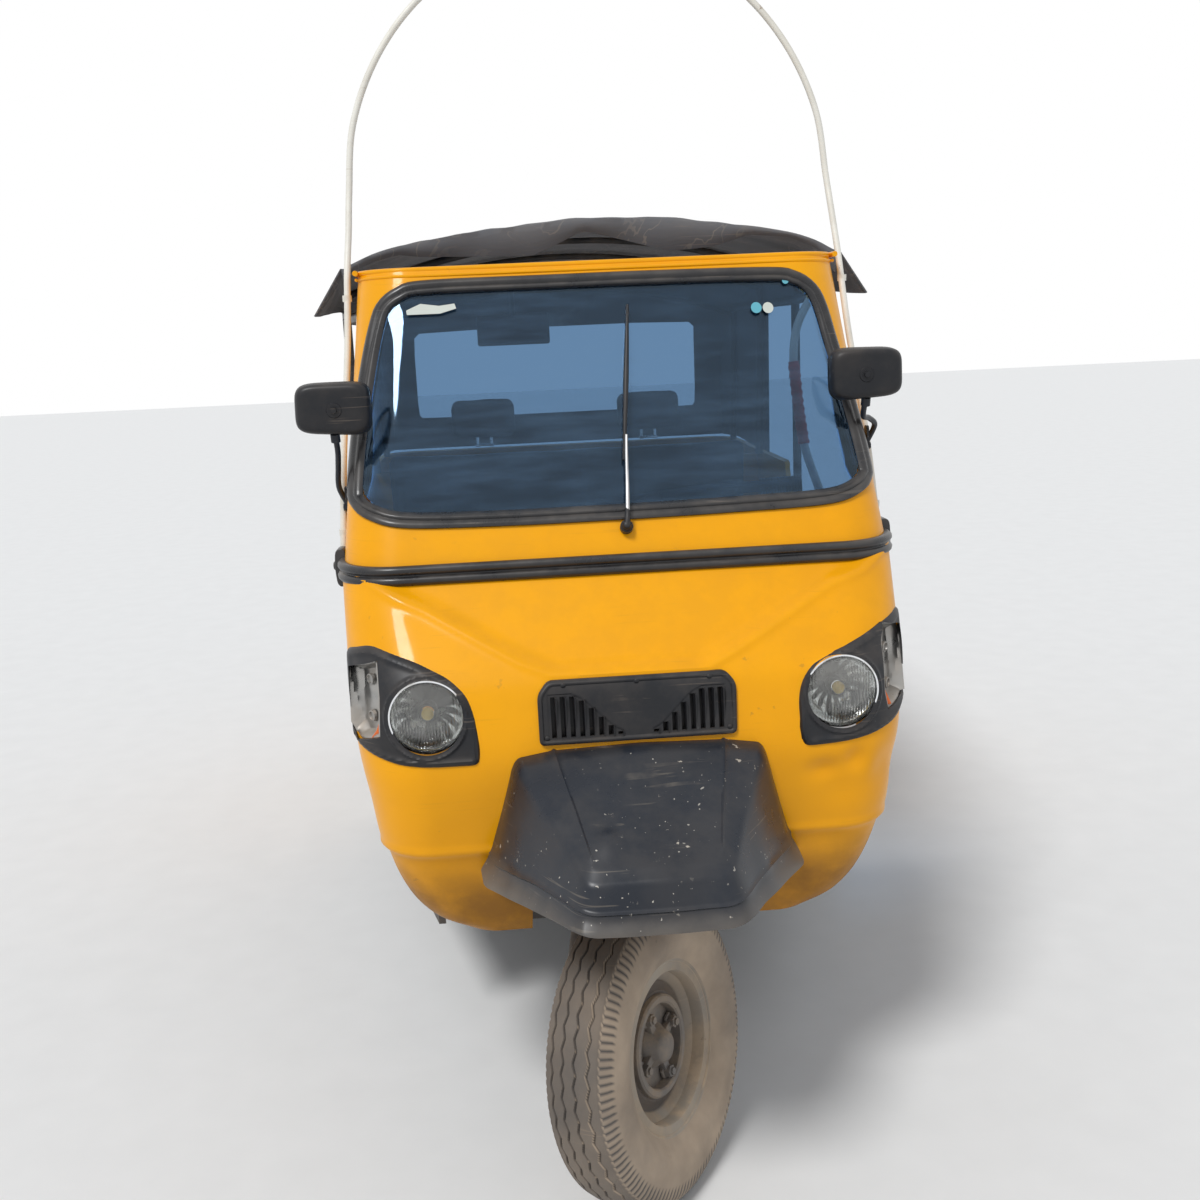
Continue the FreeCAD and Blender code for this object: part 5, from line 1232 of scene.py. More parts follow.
mirror_silver = silvered(
    "mirror_silver", (0.80, 0.82, 0.84, 1), (0.80, 0.82, 0.84, 1),
    lambda tree: cloud(tree, 40.0, 4.0), (0.02, 0.16))
settle(("mirror_faces", faces), mirror_silver, "mirror_face", "mirror_glasses", degrees=40)

# Hoop: one long round rod, up each pillar, through the hood's front corners and over in an uneven
# arc, painted cream and grubby all over.
leg_places = (
    (0.5035, 0.307, 1.150), (0.4955, 0.355, 1.310), (0.4800, 0.420, 1.500), (0.4740, 0.470, 1.645),
    (0.4690, 0.502, 1.725), (0.4650, 0.530, 1.800))
hoop_line = []
for side in (-1, 1):
    half_line = [Vector((side * x, axle_y + y, z)) for x, y, z in leg_places]
    for turn in range(15, 90, 15):
        angle = math.radians(turn)
        half_line.append(Vector((
            side * 0.465 * math.cos(angle), axle_y + 0.530 + 0.040 * math.sin(angle),
            1.800 + 0.465 * math.sin(angle))))
    if side < 0:
        hoop_line = half_line + [Vector((0, axle_y + 0.570, 2.265))]
    else:
        hoop_line += half_line[::-1]
bumpy = [
    p + Vector((0.0012 * noise.noise(p * 9), 0.0015 * noise.noise(p * 7 + Vector((3, 0, 0))), 0.0))
    for p in hoop_line]
hoop = tube("hoop", bumpy, 0.0062, 18, 260)
straps = []
for side in (-1, 1):
    for height in (1.175, 1.600):
        share = (height - 1.150) / (header_z - 1.150)
        centre = Vector((side * (0.5035 - 0.0295 * share), axle_y + 0.307 + 0.163 * share, height))
        ends = [centre + Vector((0, 0, -0.006)), centre + Vector((0, 0, 0.006))]
        straps.append(tube("strap", ends, 0.0086, 18, 5))
hoop = merged("hoop", [hoop, *straps])
cream = worn(
    "grubby_cream", (0.83, 0.81, 0.74), (0.70, 0.66, 0.56), 0.42, chip=(0.23, 0.13, 0.07),
    dust=(0.42, 0.36, 0.28), bump=0.12, dust_amount=0.35, chip_amount=0.8, scratch_amount=0.35,
    grain_scale=200.0)
settle(hoop, cream, "cream_paint", "hoop_rod", degrees=60)

# Hood: one dark canvas sheet over the bows, sagging between them, its thick front
# hem hanging in uneven folds, side flaps above the doorways and a rear opening.
hood_front, hood_back = 0.553, 2.553
fold_share = 0.66
hood_rows = [
    (hood_front, 0.497, 1.672, 1.742), (0.780, 0.520, 1.668, 1.748), (1.300, 0.596, 1.648, 1.760),
    (2.200, 0.634, 1.636, 1.746), (2.440, 0.634, 1.556, 1.660), (hood_back, 0.602, 1.440, 1.526)]
bow_places = (hood_front, 0.780, 1.285, 1.860, 2.400, hood_back)
hem_low = [
    (-0.497, 1.606), (-0.478, 1.652), (-0.430, 1.671), (-0.382, 1.682), (-0.334, 1.676),
    (-0.118, 1.670), (-0.060, 1.694), (-0.019, 1.714), (0.060, 1.694), (0.151, 1.669),
    (0.239, 1.673), (0.314, 1.694), (0.397, 1.686), (0.456, 1.661), (0.497, 1.600)]


def between(table, x):
    """A value read straight between a table's points."""
    for (ax, az), (bx, bz) in zip(table, table[1:]):
        if x <= bx:
            return az + (bz - az) * min(max((x - ax) / (bx - ax), 0.0), 1.0)
    return table[-1][1]


def hood_section(along, u):
    """A place on the hood's cross section and outward there; u runs -1 to 1 over it."""
    half, bend, crown = at(hood_rows, along)
    side, reach = math.copysign(1, u), abs(u)
    low = 1.578 + 0.006 * math.sin(along * 9.0)
    if along > 1.800:
        low = 1.128
    rise = crown - bend
    radius = (half * half + rise * rise) / (2 * rise)
    widest = math.asin(half / radius)
    if reach < fold_share:
        turn = widest * reach / fold_share
        x, z = radius * math.sin(turn), crown - radius * (1 - math.cos(turn))
        out = Vector((side * math.sin(turn), 0, math.cos(turn)))
        corner = step(reach, 0.50, fold_share)
        z -= 0.010 * corner * corner
    else:
        share = (reach - fold_share) / 0.34
        flare = 0.060 * math.exp(-((along - hood_front) / 0.30) ** 2)
        x, z = half - 0.002 + flare * share, bend - 0.010 + (low - bend + 0.010) * share
        out = Vector((side, 0, 0))
    return Vector((side * x, along + axle_y, z)), out


def hood_place(u, v, _):
    if v < -0.94:
        share = (v + 1) / 0.06
        point, out = hood_section(hood_front, u)
        if abs(u) < fold_share:
            low = between(hem_low, point.x)
            drop = point.z - low
            point.z = low + drop * share
            point.y -= 0.007 * math.sin(share * math.pi) + 0.002
            point.y -= 0.004 * noise.noise(Vector((point.x * 13, share, 4.0)))
        else:
            point.y -= 0.004 * (1 - share)
        return point
    along = hood_front + (hood_back - hood_front) * (v + 0.94) / 1.94
    point, out = hood_section(along, u)
    gap = 0.0
    for a, b in zip(bow_places, bow_places[1:]):
        if a <= along <= b:
            gap = math.sin((along - a) / (b - a) * math.pi) * min((b - a) / 0.55, 1.0)
    side_fade = 1.0 if abs(u) < fold_share else 0.5
    sag = 0.013 * gap * side_fade
    pulls = noise.noise(Vector((point.x * 3.0, along * 14, 7.0))) * 0.0035
    creases = noise.noise(Vector((point.x * 16, along * 5 + point.z * 6, 1.0))) * 0.0030
    corner = noise.noise(Vector((point.x * 9 + along * 11, point.z * 9, 2.0))) * 0.004
    front = 1.0 + 1.4 * math.exp(-(along - hood_front) / 0.16)
    rough = (pulls + creases + corner * step(abs(u), 0.4, fold_share)) * front
    return point + out * (-sag - 0.003 + rough * 0.8)


hood = grid("hood_canvas", 108, 156)
shape(hood, hood_place)
work = bmesh.new()
work.from_mesh(hood.data)
# the flat back, ring by ring from the edge of the swept part to its middle
edge_loop = sorted(
    (v for v in work.verts if v.is_boundary and 2.5525 < v.co.y - axle_y < 2.565),
    key=lambda v: math.atan2(v.co.x, v.co.z - 1.10))
middle_loops = [edge_loop]
for ring in range(1, 9):
    share = 1 - ring / 9
    loop = []
    for v in edge_loop:
        x, z = v.co.x * share, 1.128 + (v.co.z - 1.128) * share
        bulge = 0.004 * math.sin(ring / 9 * math.pi)
        wrinkle = 0.003 * noise.noise(Vector((x * 6, z * 8, 3.0)))
        loop.append(work.verts.new(
            (x, v.co.y * share + (axle_y + 2.556) * (1 - share) + bulge * 0.3 + wrinkle * 0.5, z)))
    middle_loops.append(loop)
for a, b in zip(middle_loops, middle_loops[1:]):
    for i in range(len(a) - 1):
        work.faces.new((a[i], a[i + 1], b[i + 1], b[i]))
work.faces.new(middle_loops[-1])
bmesh.ops.remove_doubles(work, verts=work.verts, dist=1e-5)
bmesh.ops.recalc_face_normals(work, faces=work.faces)
work.to_mesh(hood.data)
work.free()
top_face = max(hood.data.polygons, key=lambda f: f.center.z)
if top_face.normal.z < 0:
    hood.data.flip_normals()
thicken(hood, 0.0028)
rear_opening = [
    (-0.500, 1.250), (-0.486, 1.234), (0.486, 1.234), (0.500, 1.250), (0.500, 1.512),
    (0.470, 1.538), (-0.470, 1.538), (-0.500, 1.512)]
remove(hood, plate("cut", curved(rear_opening, 1), axle_y + 2.37, axle_y + 2.70))

canvas = worn(
    "hood_canvas", (0.085, 0.090, 0.102), (0.125, 0.125, 0.132), 0.82, chip=(0.16, 0.14, 0.12),
    dust=(0.30, 0.26, 0.22), bump=0.35, shade_amount=0.9, dust_amount=0.15, chip_amount=0.2,
    scratch_amount=0.35, rough_spread=0.15, sheen=0.12)
tree, wear = opened(canvas)
place = node(tree, "TexCoord").outputs["Object"]
threads = [
    node(
        tree, "TexWave", {"Vector": place, "Scale": 190.0, "Distortion": 0.6},
        bands_direction=axis).outputs["Fac"] for axis in ("X", "Y")]
weave = math_node(tree, math_node(tree, *threads), wear.outputs["Height"], "ADD")
relief = next(n for n in tree.nodes if n.type == "BUMP")
tree.links.new(weave, relief.inputs["Height"])
swirl = node(
    tree, "Math", {0: cloud(tree, 6.0, 3.0, Distortion=2.4), 1: 0.52, 2: 0.012},
    operation="COMPARE").outputs[0]
marks = math_node(tree, swirl, remap(tree, cloud(tree, 5.0, 4.0), 0.42, 0.62, 0.0, 0.45))
tree.links.new(
    blend(tree, marks, wear.outputs["Color"], (0.30, 0.26, 0.22, 1)),
    tree.nodes["surface"].inputs["Base Color"])
settle(hood, canvas, "hood_canvas", "canopy", degrees=60)

# Hood frame: side rails, bows and door posts of steel tube, welded up and painted
# black. The solids hold its whole form, so it only gets its chipped, dusty paint.
frame_black = worn(
    "frame_black", (0.020, 0.021, 0.024), (0.045, 0.042, 0.040), 0.45, chip=(0.20, 0.10, 0.05),
    dust=(0.36, 0.28, 0.2), bump=0.2, dust_amount=0.35, chip_amount=0.9, scratch_amount=0.4,
    grain_scale=240.0, rough_spread=0.3)
dress("canopy_frame", frame_black)

# Seats: black grained vinyl over foam. Each pad starts as a rounded block, is blown
# up by a cloth simulation, and then gets its sewn channels and piping.


def block(name, low, high, edge=0.02):
    """A box with rounded edges, from its low to its high corner."""
    deselect()
    bpy.ops.mesh.primitive_cube_add(size=1)
    piece = bpy.context.active_object
    piece.name = name
    spans = [b - a for a, b in zip(low, high)]
    middle = [(a + b) / 2 for a, b in zip(low, high)]
    piece.data.transform(Matrix.Translation(middle) @ Matrix.Diagonal((*spans, 1)))
    if edge:
        apply(piece, "BEVEL", width=edge, segments=4)
    return piece


def puffed(name, low, high, edge, voxel, cap, channels):
    """A padded piece in the space of its solid; channels(point) is a groove's depth."""
    inset = cap * 0.55
    piece = block(name, [a + inset for a in low], [b - inset for b in high], edge)
    apply(piece, "REMESH", mode="VOXEL", voxel_size=voxel)
    before = [v.co.copy() for v in piece.data.vertices]
    cloth = piece.modifiers.new("cloth", "CLOTH")
    for key, value in (
            ("quality", 4), ("mass", 0.4), ("tension_stiffness", 12),
            ("compression_stiffness", 12), ("use_pressure", True),
            ("uniform_pressure_force", 4.0)):
        setattr(cloth.settings, key, value)
    cloth.settings.effector_weights.gravity = 0.0
    cloth.collision_settings.use_collision = False
    cloth.point_cache.frame_start, cloth.point_cache.frame_end = 1, 20
    for number in range(1, 21):
        bpy.context.scene.frame_set(number)
    active(piece)
    bpy.ops.object.modifier_apply(modifier="cloth")
    for vertex, start in zip(piece.data.vertices, before):
        moved = vertex.co - start
        if moved.length > cap:
            vertex.co = start + moved * (cap / moved.length)
        for axis in range(3):
            vertex.co[axis] = min(max(vertex.co[axis], low[axis] + 0.0005), high[axis] - 0.0005)
    normals = [v.normal.copy() for v in piece.data.vertices]
    for vertex, normal in zip(piece.data.vertices, normals):
        depth = channels(vertex.co, normal)
        crumple = 0.0016 * noise.noise(vertex.co * 22) + 0.0022 * noise.noise(vertex.co * 9)
        vertex.co += normal * (crumple - 0.0022 - depth)
    apply(piece, "SUBSURF", levels=1, render_levels=1)
    return piece


def groove(distance, depth=0.006, width=0.006):
    """How deep a round-bottomed groove is at a distance from its middle."""
    return depth * math.exp(-(distance / width) ** 2)


def seat_channels(point, normal):
    """Cross channels every 12 cm on the top, and the piping round its edge."""
    top = step(normal.z, 0.2, 0.7)
    lane = (point.x + 0.06) % 0.12
    return top * groove(min(lane, 0.12 - lane)) - 0.0015 * groove(normal.z - 0.5, 1.0, 0.12)


def back_channels(point, normal):
    front = step(-normal.y, 0.2, 0.7)
    lane = (point.x + 0.059) % 0.118
    return front * groove(min(lane, 0.118 - lane)) - 0.0015 * groove(normal.y + 0.5, 1.0, 0.12)


def plain_channels(point, normal):
    return groove(abs(normal.y) - 0.02, 0.0022, 0.18)


vinyl = worn(
    "grained_vinyl", (0.016, 0.016, 0.018), (0.040, 0.038, 0.038), 0.46, chip=(0.10, 0.09, 0.08),
    dust=(0.36, 0.30, 0.24), bump=0.2, bump_distance=0.0006, grain_scale=420.0, dust_amount=0.2,
    chip_amount=0.15, scratch_amount=0.25, rough_spread=0.3, sheen=0.05)
pads = (
    (
        "driver_pad", "driver_cushion", (-0.235, 0.840, 0.700), (0.235, 1.180, 0.795), 0.030,
        0.0098, 0.014, seat_channels, 0.6),
    (
        "driver_back_pad", "driver_backrest", (-0.235, 1.175, 0.835), (0.235, 1.250, 1.030), 0.026,
        0.0098, 0.012, back_channels, 0.6),
    (
        "passenger_pad", "passenger_cushion", (-0.590, 1.570, 0.612), (0.590, 1.990, 0.707), 0.030,
        0.0135, 0.014, seat_channels, 0.6),
    (
        "passenger_back_pad", "passenger_backrest", (-0.590, 1.955, 0.709), (0.590, 2.050, 1.174),
        0.030, 0.0135, 0.014, back_channels, 0.6),
    (
        "headrest_pad_left", None, (0.153, 1.965, 1.194), (0.371, 2.040, 1.330), 0.030, 0.0078,
        0.010, plain_channels, 0.8),
    (
        "headrest_pad_right", None, (-0.371, 1.965, 1.194), (-0.153, 2.040, 1.330), 0.030, 0.0078,
        0.010, plain_channels, 0.8))
for pad_name, node_name, low, high, edge, voxel, cap, channels, fill in pads:
    low, high = ((x, y + axle_y, z) for x, y, z in (low, high))
    piece = puffed(pad_name, low, high, edge, voxel, cap, channels)
    settle(piece, vinyl, "seat_vinyl", *([node_name] if node_name else []), degrees=70)
stems = []
for side in (-1, 1):
    for offset in (-0.022, 0.022):
        x = side * 0.262 + offset
        stems.append(
            tube("stem", [(x, axle_y + 2.002, 1.172), (x, axle_y + 2.002, 1.215)], 0.006, 12, 6))
    stems.append(block(
        "sleeve", (side * 0.262 - 0.030, axle_y + 1.995, 1.1745),
        (side * 0.262 + 0.030, axle_y + 2.009, 1.182), 0.003))
settle(("headrest_stems", stems), worn_chrome, "seat_vinyl", "headrests", degrees=40)
dress("driver_seat_base", frame_black)

# Tyres: rib tread with four zigzag grooves and short cuts along the shoulders, black rubber under
# road dust, with painted shade in the groove bottoms and shoulder cuts, which get almost no dust
# and stay near black. One is moulded, and each wheel has its own copy.


def double(piece):
    """A copy with a mesh of its own."""
    other = piece.copy()
    other.data = piece.data.copy()
    bpy.context.scene.collection.objects.link(other)
    return other


def placed(piece, *matrices):
    """A finished mesh at each of several places, the last one in the piece itself."""
    made = [double(piece) for _ in matrices[1:]] + [piece]
    for other, matrix in zip(made, matrices):
        other.data.transform(matrix)
    return made


tyre_rows = [
    (0.00, 0.0000, 0.2700), (0.20, 0.0230, 0.2678), (0.40, 0.0455, 0.2608), (0.47, 0.0530, 0.2540),
    (0.56, 0.0605, 0.2380), (0.70, 0.0648, 0.2050), (0.80, 0.0636, 0.1860), (0.90, 0.0570, 0.1680),
    (0.97, 0.0485, 0.1560), (1.00, 0.0440, 0.1460)]
groove_middles, groove_swing, groove_depth = (-0.034, -0.0115, 0.0115, 0.034), 0.0026, 0.0045
zigzags, tyre_segments, tread_share = 45, 360, 0.78


def tyre_place(u, v, _):
    """The tread and sidewalls, with the wheel's middle at the origin and axle along X."""
    reach = abs(u) / tread_share * 0.44
    if abs(u) > tread_share:
        down = (abs(u) - tread_share) / (1 - tread_share)
        reach = 0.44 + 0.56 * down * (1 + down) / 2
    x, radius = at(tyre_rows, reach)
    x = math.copysign(x, u)
    turn = (v + 1) * math.pi
    wave = abs((turn * zigzags / math.tau) % 1.0 * 2 - 1) * 2 - 1
    depth = 0.0
    for index, middle in enumerate(groove_middles):
        swing = groove_swing * (wave if index % 2 else -wave)
        depth = max(depth, 1 - step(abs(x - middle - swing), 0.0008, 0.0022))
    cut = round((v + 1) / 2 * tyre_segments) % 3 == 0
    land = 0.0490 < abs(x) < 0.0625 and radius > 0.226
    if cut and land:
        depth = 0.60
    ring = 0.0008 * (1 - step(abs(abs(x) - 0.0640), 0.0, 0.0007)) if radius > 0.2 else 0.0
    radius += ring - depth * groove_depth
    radius -= 0.0012 * (0.5 + 0.5 * math.sin(turn * 3 + 1)) * (reach < 0.4)
    # Painted shade: groove bottoms (0.05) and shoulder cuts (0.0) get almost no dust and stay near
    # black; lands, groove walls and sidewalls get real dust.
    dust_and_painted_light = 0.30 if depth < 0.1 else (1.0 if depth < 0.8 else 0.05)
    if reach >= 0.44:
        dust_and_painted_light = 0.0 if cut and land else 0.75 + 0.15 * step(reach, 0.5, 0.6)
    tyre_dust_and_groove_shade.append(dust_and_painted_light)
    return Vector((x, -math.sin(turn) * radius, math.cos(turn) * radius))


tyre_dust_and_groove_shade = []
tyre = grid("tyre", 96, tyre_segments)
shape(tyre, tyre_place)
dirt = tyre.data.attributes.new("dirt", "FLOAT", "POINT")
dirt.data.foreach_set("value", tyre_dust_and_groove_shade)
outward(tyre)
middle_face = min(tyre.data.polygons, key=lambda f: abs(f.center.x) - f.center.z)
if middle_face.normal.dot(middle_face.center) < 0:
    tyre.data.flip_normals()

road_tyre = worn(
    "dusty_rubber", (0.028, 0.030, 0.034), (0.050, 0.050, 0.052), 0.72, chip=(0.12, 0.1, 0.09),
    dust=(0.37, 0.27, 0.185), bump=0.35, bump_distance=0.0008, grain_scale=420.0,
    scratch_amount=0.35, chip_amount=0.3, shade_amount=0.9, rough_spread=0.2, dust_amount=0.12)
tree, wear = opened(road_tyre)
# The mask mixes the rubber toward dust; near 0 in the groove bottoms and shoulder cuts it leaves
# painted shade there.
dust_and_groove_shade_mask = node(tree, "Attribute", attribute_name="dirt").outputs["Fac"]
dust_and_groove_shade_mask = math_node(tree, dust_and_groove_shade_mask, remap(tree, cloud(tree, 9.0, 6.0), 0.3, 0.7, 0.45, 1.0))
dust_and_groove_shade_mask = math_node(tree, dust_and_groove_shade_mask, 0.02, "ADD")
for label in ("Base", "Shade"):
    rubber = tuple(wear.inputs[label].default_value)
    tree.links.new(blend(tree, dust_and_groove_shade_mask, rubber, (0.50, 0.39, 0.285, 1)), wear.inputs[label])

wheel_height = 0.26834
steered = shift(0, axle_y, wheel_height) @ spin(-15, "X") @ spin(-35, "Z")
half_track, rear_axle_y, rear_axle_z = 0.575, axle_y + 2.005, 0.270
rear_left = shift(half_track, rear_axle_y, rear_axle_z)
rear_right = shift(-half_track, rear_axle_y, rear_axle_z) @ spin(180, "Z")
wheel_places = (rear_left, rear_right, steered)
wheel_bodies = ("rear_wheel_left", "rear_wheel_right", "front_wheel")
wheel_ends = ("rear_{}_left", "rear_{}_right", "front_{}")


def on_wheels(piece, part, material, slot, degrees=35):
    """One wheel part on all three wheels, each copy on its own body."""
    for copy, body, pattern in zip(placed(piece, *wheel_places), wheel_bodies, wheel_ends):
        node_name = pattern.format(part)
        copy.name = node_name + "_finish"
        settle(copy, material, slot, node_name, body=body, degrees=degrees)


on_wheels(tyre, "tyre", road_tyre, "tyre_rubber", 50)

# Rims: rolled steel hoop with a curled flange and a deep well, welded to a dished disc with eight
# slots. Grey-beige paint, dusty all over, except the recessed disc, which has painted shade:
# near-black colours and less dust.
rim_rows = [
    (-0.045, 0.1495), (-0.0465, 0.1525), (-0.0425, 0.1540), (-0.0405, 0.1505), (-0.0395, 0.1380),
    (-0.0370, 0.1345), (-0.026, 0.1320), (-0.019, 0.1140), (-0.015, 0.1115), (0.004, 0.1115),
    (0.008, 0.1140), (0.017, 0.1320), (0.0370, 0.1345), (0.0395, 0.1380), (0.0405, 0.1505),
    (0.0425, 0.1540), (0.0475, 0.1530), (0.0470, 0.1490), (0.0440, 0.1465), (0.0430, 0.1320),
    (0.0400, 0.1300), (0.0200, 0.1280), (0.0115, 0.1140), (0.0080, 0.1110), (0.0090, 0.1020),
    (0.0150, 0.0940), (0.0150, 0.0880), (0.0080, 0.0800), (0.0060, 0.0700), (0.0060, 0.0380),
    (0.0020, 0.0380), (0.0020, 0.0700), (0.0040, 0.0810), (0.0100, 0.0890), (0.0100, 0.0940),
    (0.0050, 0.1010), (0.0040, 0.1080), (-0.0205, 0.1080), (-0.0275, 0.1280), (-0.0400, 0.1300),
    (-0.0430, 0.1320), (-0.0435, 0.1475), (-0.045, 0.1495)]
rim = lathe("rim", rim_rows, 120)
slot_radius, slot_half_length, slot_half_width = 0.084, 0.015, 0.0065
cutters = []
for index in range(8):
    turn = spin(index * 45, "X")
    outline = curved(
        [
            (-slot_half_length, -slot_half_width), (slot_half_length, -slot_half_width),
            (slot_half_length, slot_half_width), (-slot_half_length, slot_half_width)], 2)
    slot = plate(
        "cut", outline, -0.01, 0.05,
        turn @ shift(0, 0, slot_radius) @ spin(90, "Z") @ spin(180, "Y"))
    cutters.append(slot)
remove(rim, merged("cut", cutters))
rim_paint = worn(
    "dusty_rim_paint", (0.46, 0.40, 0.32), (0.22, 0.185, 0.15), 0.6, chip=(0.10, 0.06, 0.035),
    dust=(0.50, 0.385, 0.27), bump=0.25, grain_scale=260.0, dust_amount=1.1, chip_amount=0.8,
    scratch_amount=0.3, shade_amount=0.9, rough_spread=0.3)
# Painted shade: the recessed disc is mixed toward near-black colours and given less dust, for the
# shade inside the wheel.
disc = rim.data.attributes.new("disc", "FLOAT", "POINT")
disc_shade_shares = []
for vertex in rim.data.vertices:
    past_disc = step(math.hypot(vertex.co.y, vertex.co.z), 0.1120, 0.1150)
    disc_shade_shares.append(1 - past_disc if abs(vertex.co.x - 0.008) < 0.012 else 0.0)
disc.data.foreach_set("value", disc_shade_shares)
tree, wear = opened(rim_paint)
disc_shade_mask = node(tree, "Attribute", attribute_name="disc").outputs["Fac"]
for label, shaded in (
        ("Base", (0.045, 0.050, 0.060, 1)), ("Shade", (0.15, 0.115, 0.085, 1)),
        ("Dust", (0.26, 0.195, 0.14, 1))):
    unshaded = tuple(wear.inputs[label].default_value)
    tree.links.new(blend(tree, disc_shade_mask, unshaded, shaded), wear.inputs[label])
tree.links.new(remap(tree, disc_shade_mask, 0.0, 1.0, 1.1, 0.35), wear.inputs["Dust Amount"])
on_wheels(rim, "rim", rim_paint, "rim_paint")

# Hubs: cast drum with a raised rib round most of its face, a domed grease cap on
# four short arms, and a nut at the end of each arm. Dark iron under dust.
hub = lathe(
    "hub",
    [
        (-0.040, 0.012), (-0.040, 0.074), (-0.036, 0.078), (0.002, 0.078), (0.0065, 0.074),
        (0.0075, 0.040), (0.014, 0.0375), (0.022, 0.031), (0.030, 0.0285), (0.0365, 0.024),
        (0.0405, 0.016), (0.042, 0.0)], 64)
rib = lathe(
    "rib",
    [
        (0.006, 0.0725), (0.0235, 0.0735), (0.0265, 0.0765), (0.0265, 0.0850), (0.0235, 0.0885),
        (0.006, 0.0895), (0.006, 0.0725)], 96)
gap = plate("cut", [(0.0, 0.0), (-0.070, 0.14), (0.105, 0.14)], 0.0, 0.06, spin(90, "Z"))
remove(rib, gap)
nuts = []
for index in range(4):
    turn = Matrix.Rotation(index * math.pi / 2 + 0.5, 4, "X")
    arm = plate(
        "arm", [(-0.0085, 0.020), (0.0085, 0.020), (0.0065, 0.076), (-0.0065, 0.076)], 0.006,
        0.021, turn @ spin(-90, "Z"))
    apply(arm, "BEVEL", width=0.002, segments=2)
    nut = lathe(
        "nut",
        [
            (0.010, 0.0), (0.010, 0.0135), (0.014, 0.0135), (0.015, 0.0095), (0.0265, 0.0095),
            (0.0275, 0.006), (0.031, 0.006), (0.032, 0.0)], 6,
        turn @ Matrix.Diagonal((1, 1.15, 1.15, 1)) @ shift(0, 0, 0.052))
    nuts += [arm, nut]
hub = merged("hub", [hub, rib, *nuts])
hub_iron = worn(
    "dusty_iron", (0.10, 0.105, 0.115), (0.25, 0.20, 0.15), 0.55, chip=(0.16, 0.09, 0.05),
    dust=(0.42, 0.33, 0.24), bump=0.4, grain_scale=380.0, dust_amount=0.95, chip_amount=0.9,
    scratch_amount=0.2, shade_amount=0.7, metal=0.2, rough_spread=0.3)
on_wheels(hub, "hub", hub_iron, "hub_iron", 40)

# Steered parts: column, crown and one bent leg, the leading link with its brake
# plate, the coil over its damper, the hose, and the handlebar. Iron under road dust.


def in_fork(*pieces):
    """Pieces made about an upright fork over the axle's middle, raked and turned."""
    for piece in pieces:
        piece.data.transform(steered)


pivot_y, pivot_z = -0.130, 0.030
spring_x, spring_y = -0.104, 0.018
column = tube("column", [(0, 0, 0.345), (0, 0, 0.640), (0, 0, 0.935)], 0.0168, 24, 20)
crown = lathe(
    "crown",
    [
        (-0.026, 0.0), (-0.026, 0.020), (-0.020, 0.0260), (0.012, 0.0260), (0.024, 0.0210),
        (0.030, 0.0175), (0.030, 0.0)], 32, shift(0, 0, 0.348) @ spin(-90, "Y"))
leg = tube(
    "leg",
    [
        (-0.092, pivot_y, pivot_z), (-0.092, -0.088, 0.145), (-0.090, -0.042, 0.255),
        (-0.050, -0.006, 0.325), (-0.010, 0.0, 0.343)], [0.0150, 0.0155, 0.0158, 0.0165, 0.018],
    20, 60)
eye = lathe(
    "eye",
    [
        (-0.110, 0.0), (-0.110, 0.0090), (-0.1085, 0.0090), (-0.1085, 0.020), (-0.106, 0.0218),
        (-0.078, 0.0218), (-0.076, 0.020), (-0.076, 0.0)], 32, shift(0, pivot_y, pivot_z))
pivot_nut = lathe(
    "pivot_nut",
    [(-0.1165, 0.0), (-0.1165, 0.0105), (-0.1150, 0.0125), (-0.1085, 0.0125), (-0.1085, 0.0)], 6,
    shift(0, pivot_y, pivot_z))
arm = tube(
    "bracket", [(-0.045, 0.0, 0.331), (-0.075, 0.008, 0.332), (spring_x, spring_y, 0.325)], 0.0088,
    16, 16)
cap = lathe(
    "cap",
    [
        (0.0, 0.0), (0.0, 0.0275), (0.0045, 0.0278), (0.0060, 0.0262), (0.0065, 0.0130),
        (0.0120, 0.0120), (0.0125, 0.0)], 40, shift(spring_x, spring_y, 0.316) @ spin(-90, "Y"))
clip = tube("clip", [(-0.101, -0.046, 0.250), (-0.101, -0.036, 0.262)], 0.0085, 16, 6)
fork = merged("fork", [column, crown, leg, eye, pivot_nut, arm, cap, clip])
in_fork(fork)
road_black = worn(
    "road_black", (0.028, 0.028, 0.030), (0.070, 0.058, 0.048), 0.55, chip=(0.19, 0.09, 0.04),
    dust=(0.36, 0.27, 0.19), bump=0.35, grain_scale=300.0, dust_amount=0.30, chip_amount=0.5,
    scratch_amount=0.4, shade_amount=0.8, rough_spread=0.3)
settle(fork, road_black, "black_steel", "front_fork", body="steering", degrees=45)

web_line = [
    (pivot_y - 0.0165, pivot_z + 0.0140), (pivot_y - 0.0180, pivot_z - 0.0120),
    (pivot_y + 0.004, pivot_z - 0.0215), (0.004, -0.0395), (0.0320, -0.0240), (0.0390, 0.004),
    (0.0280, 0.0290), (-0.004, 0.0395), (pivot_y + 0.010, pivot_z + 0.0200)]
web = plate("web", curved(web_line, 2), 0.0580, 0.0755, spin(90, "Z"))
apply(web, "BEVEL", width=0.0025, segments=2, limit_method="ANGLE")
drum_plate = lathe(
    "drum_plate",
    [
        (-0.0525, 0.0), (-0.0525, 0.034), (-0.0550, 0.038), (-0.0550, 0.052), (-0.0525, 0.056),
        (-0.0525, 0.078), (-0.0545, 0.080), (-0.0540, 0.0835), (-0.0465, 0.0835), (-0.0465, 0.0)],
    72)
collar = lathe(
    "collar", [(-0.0580, 0.0), (-0.0580, 0.0235), (-0.0520, 0.0240), (-0.0520, 0.0)], 32)
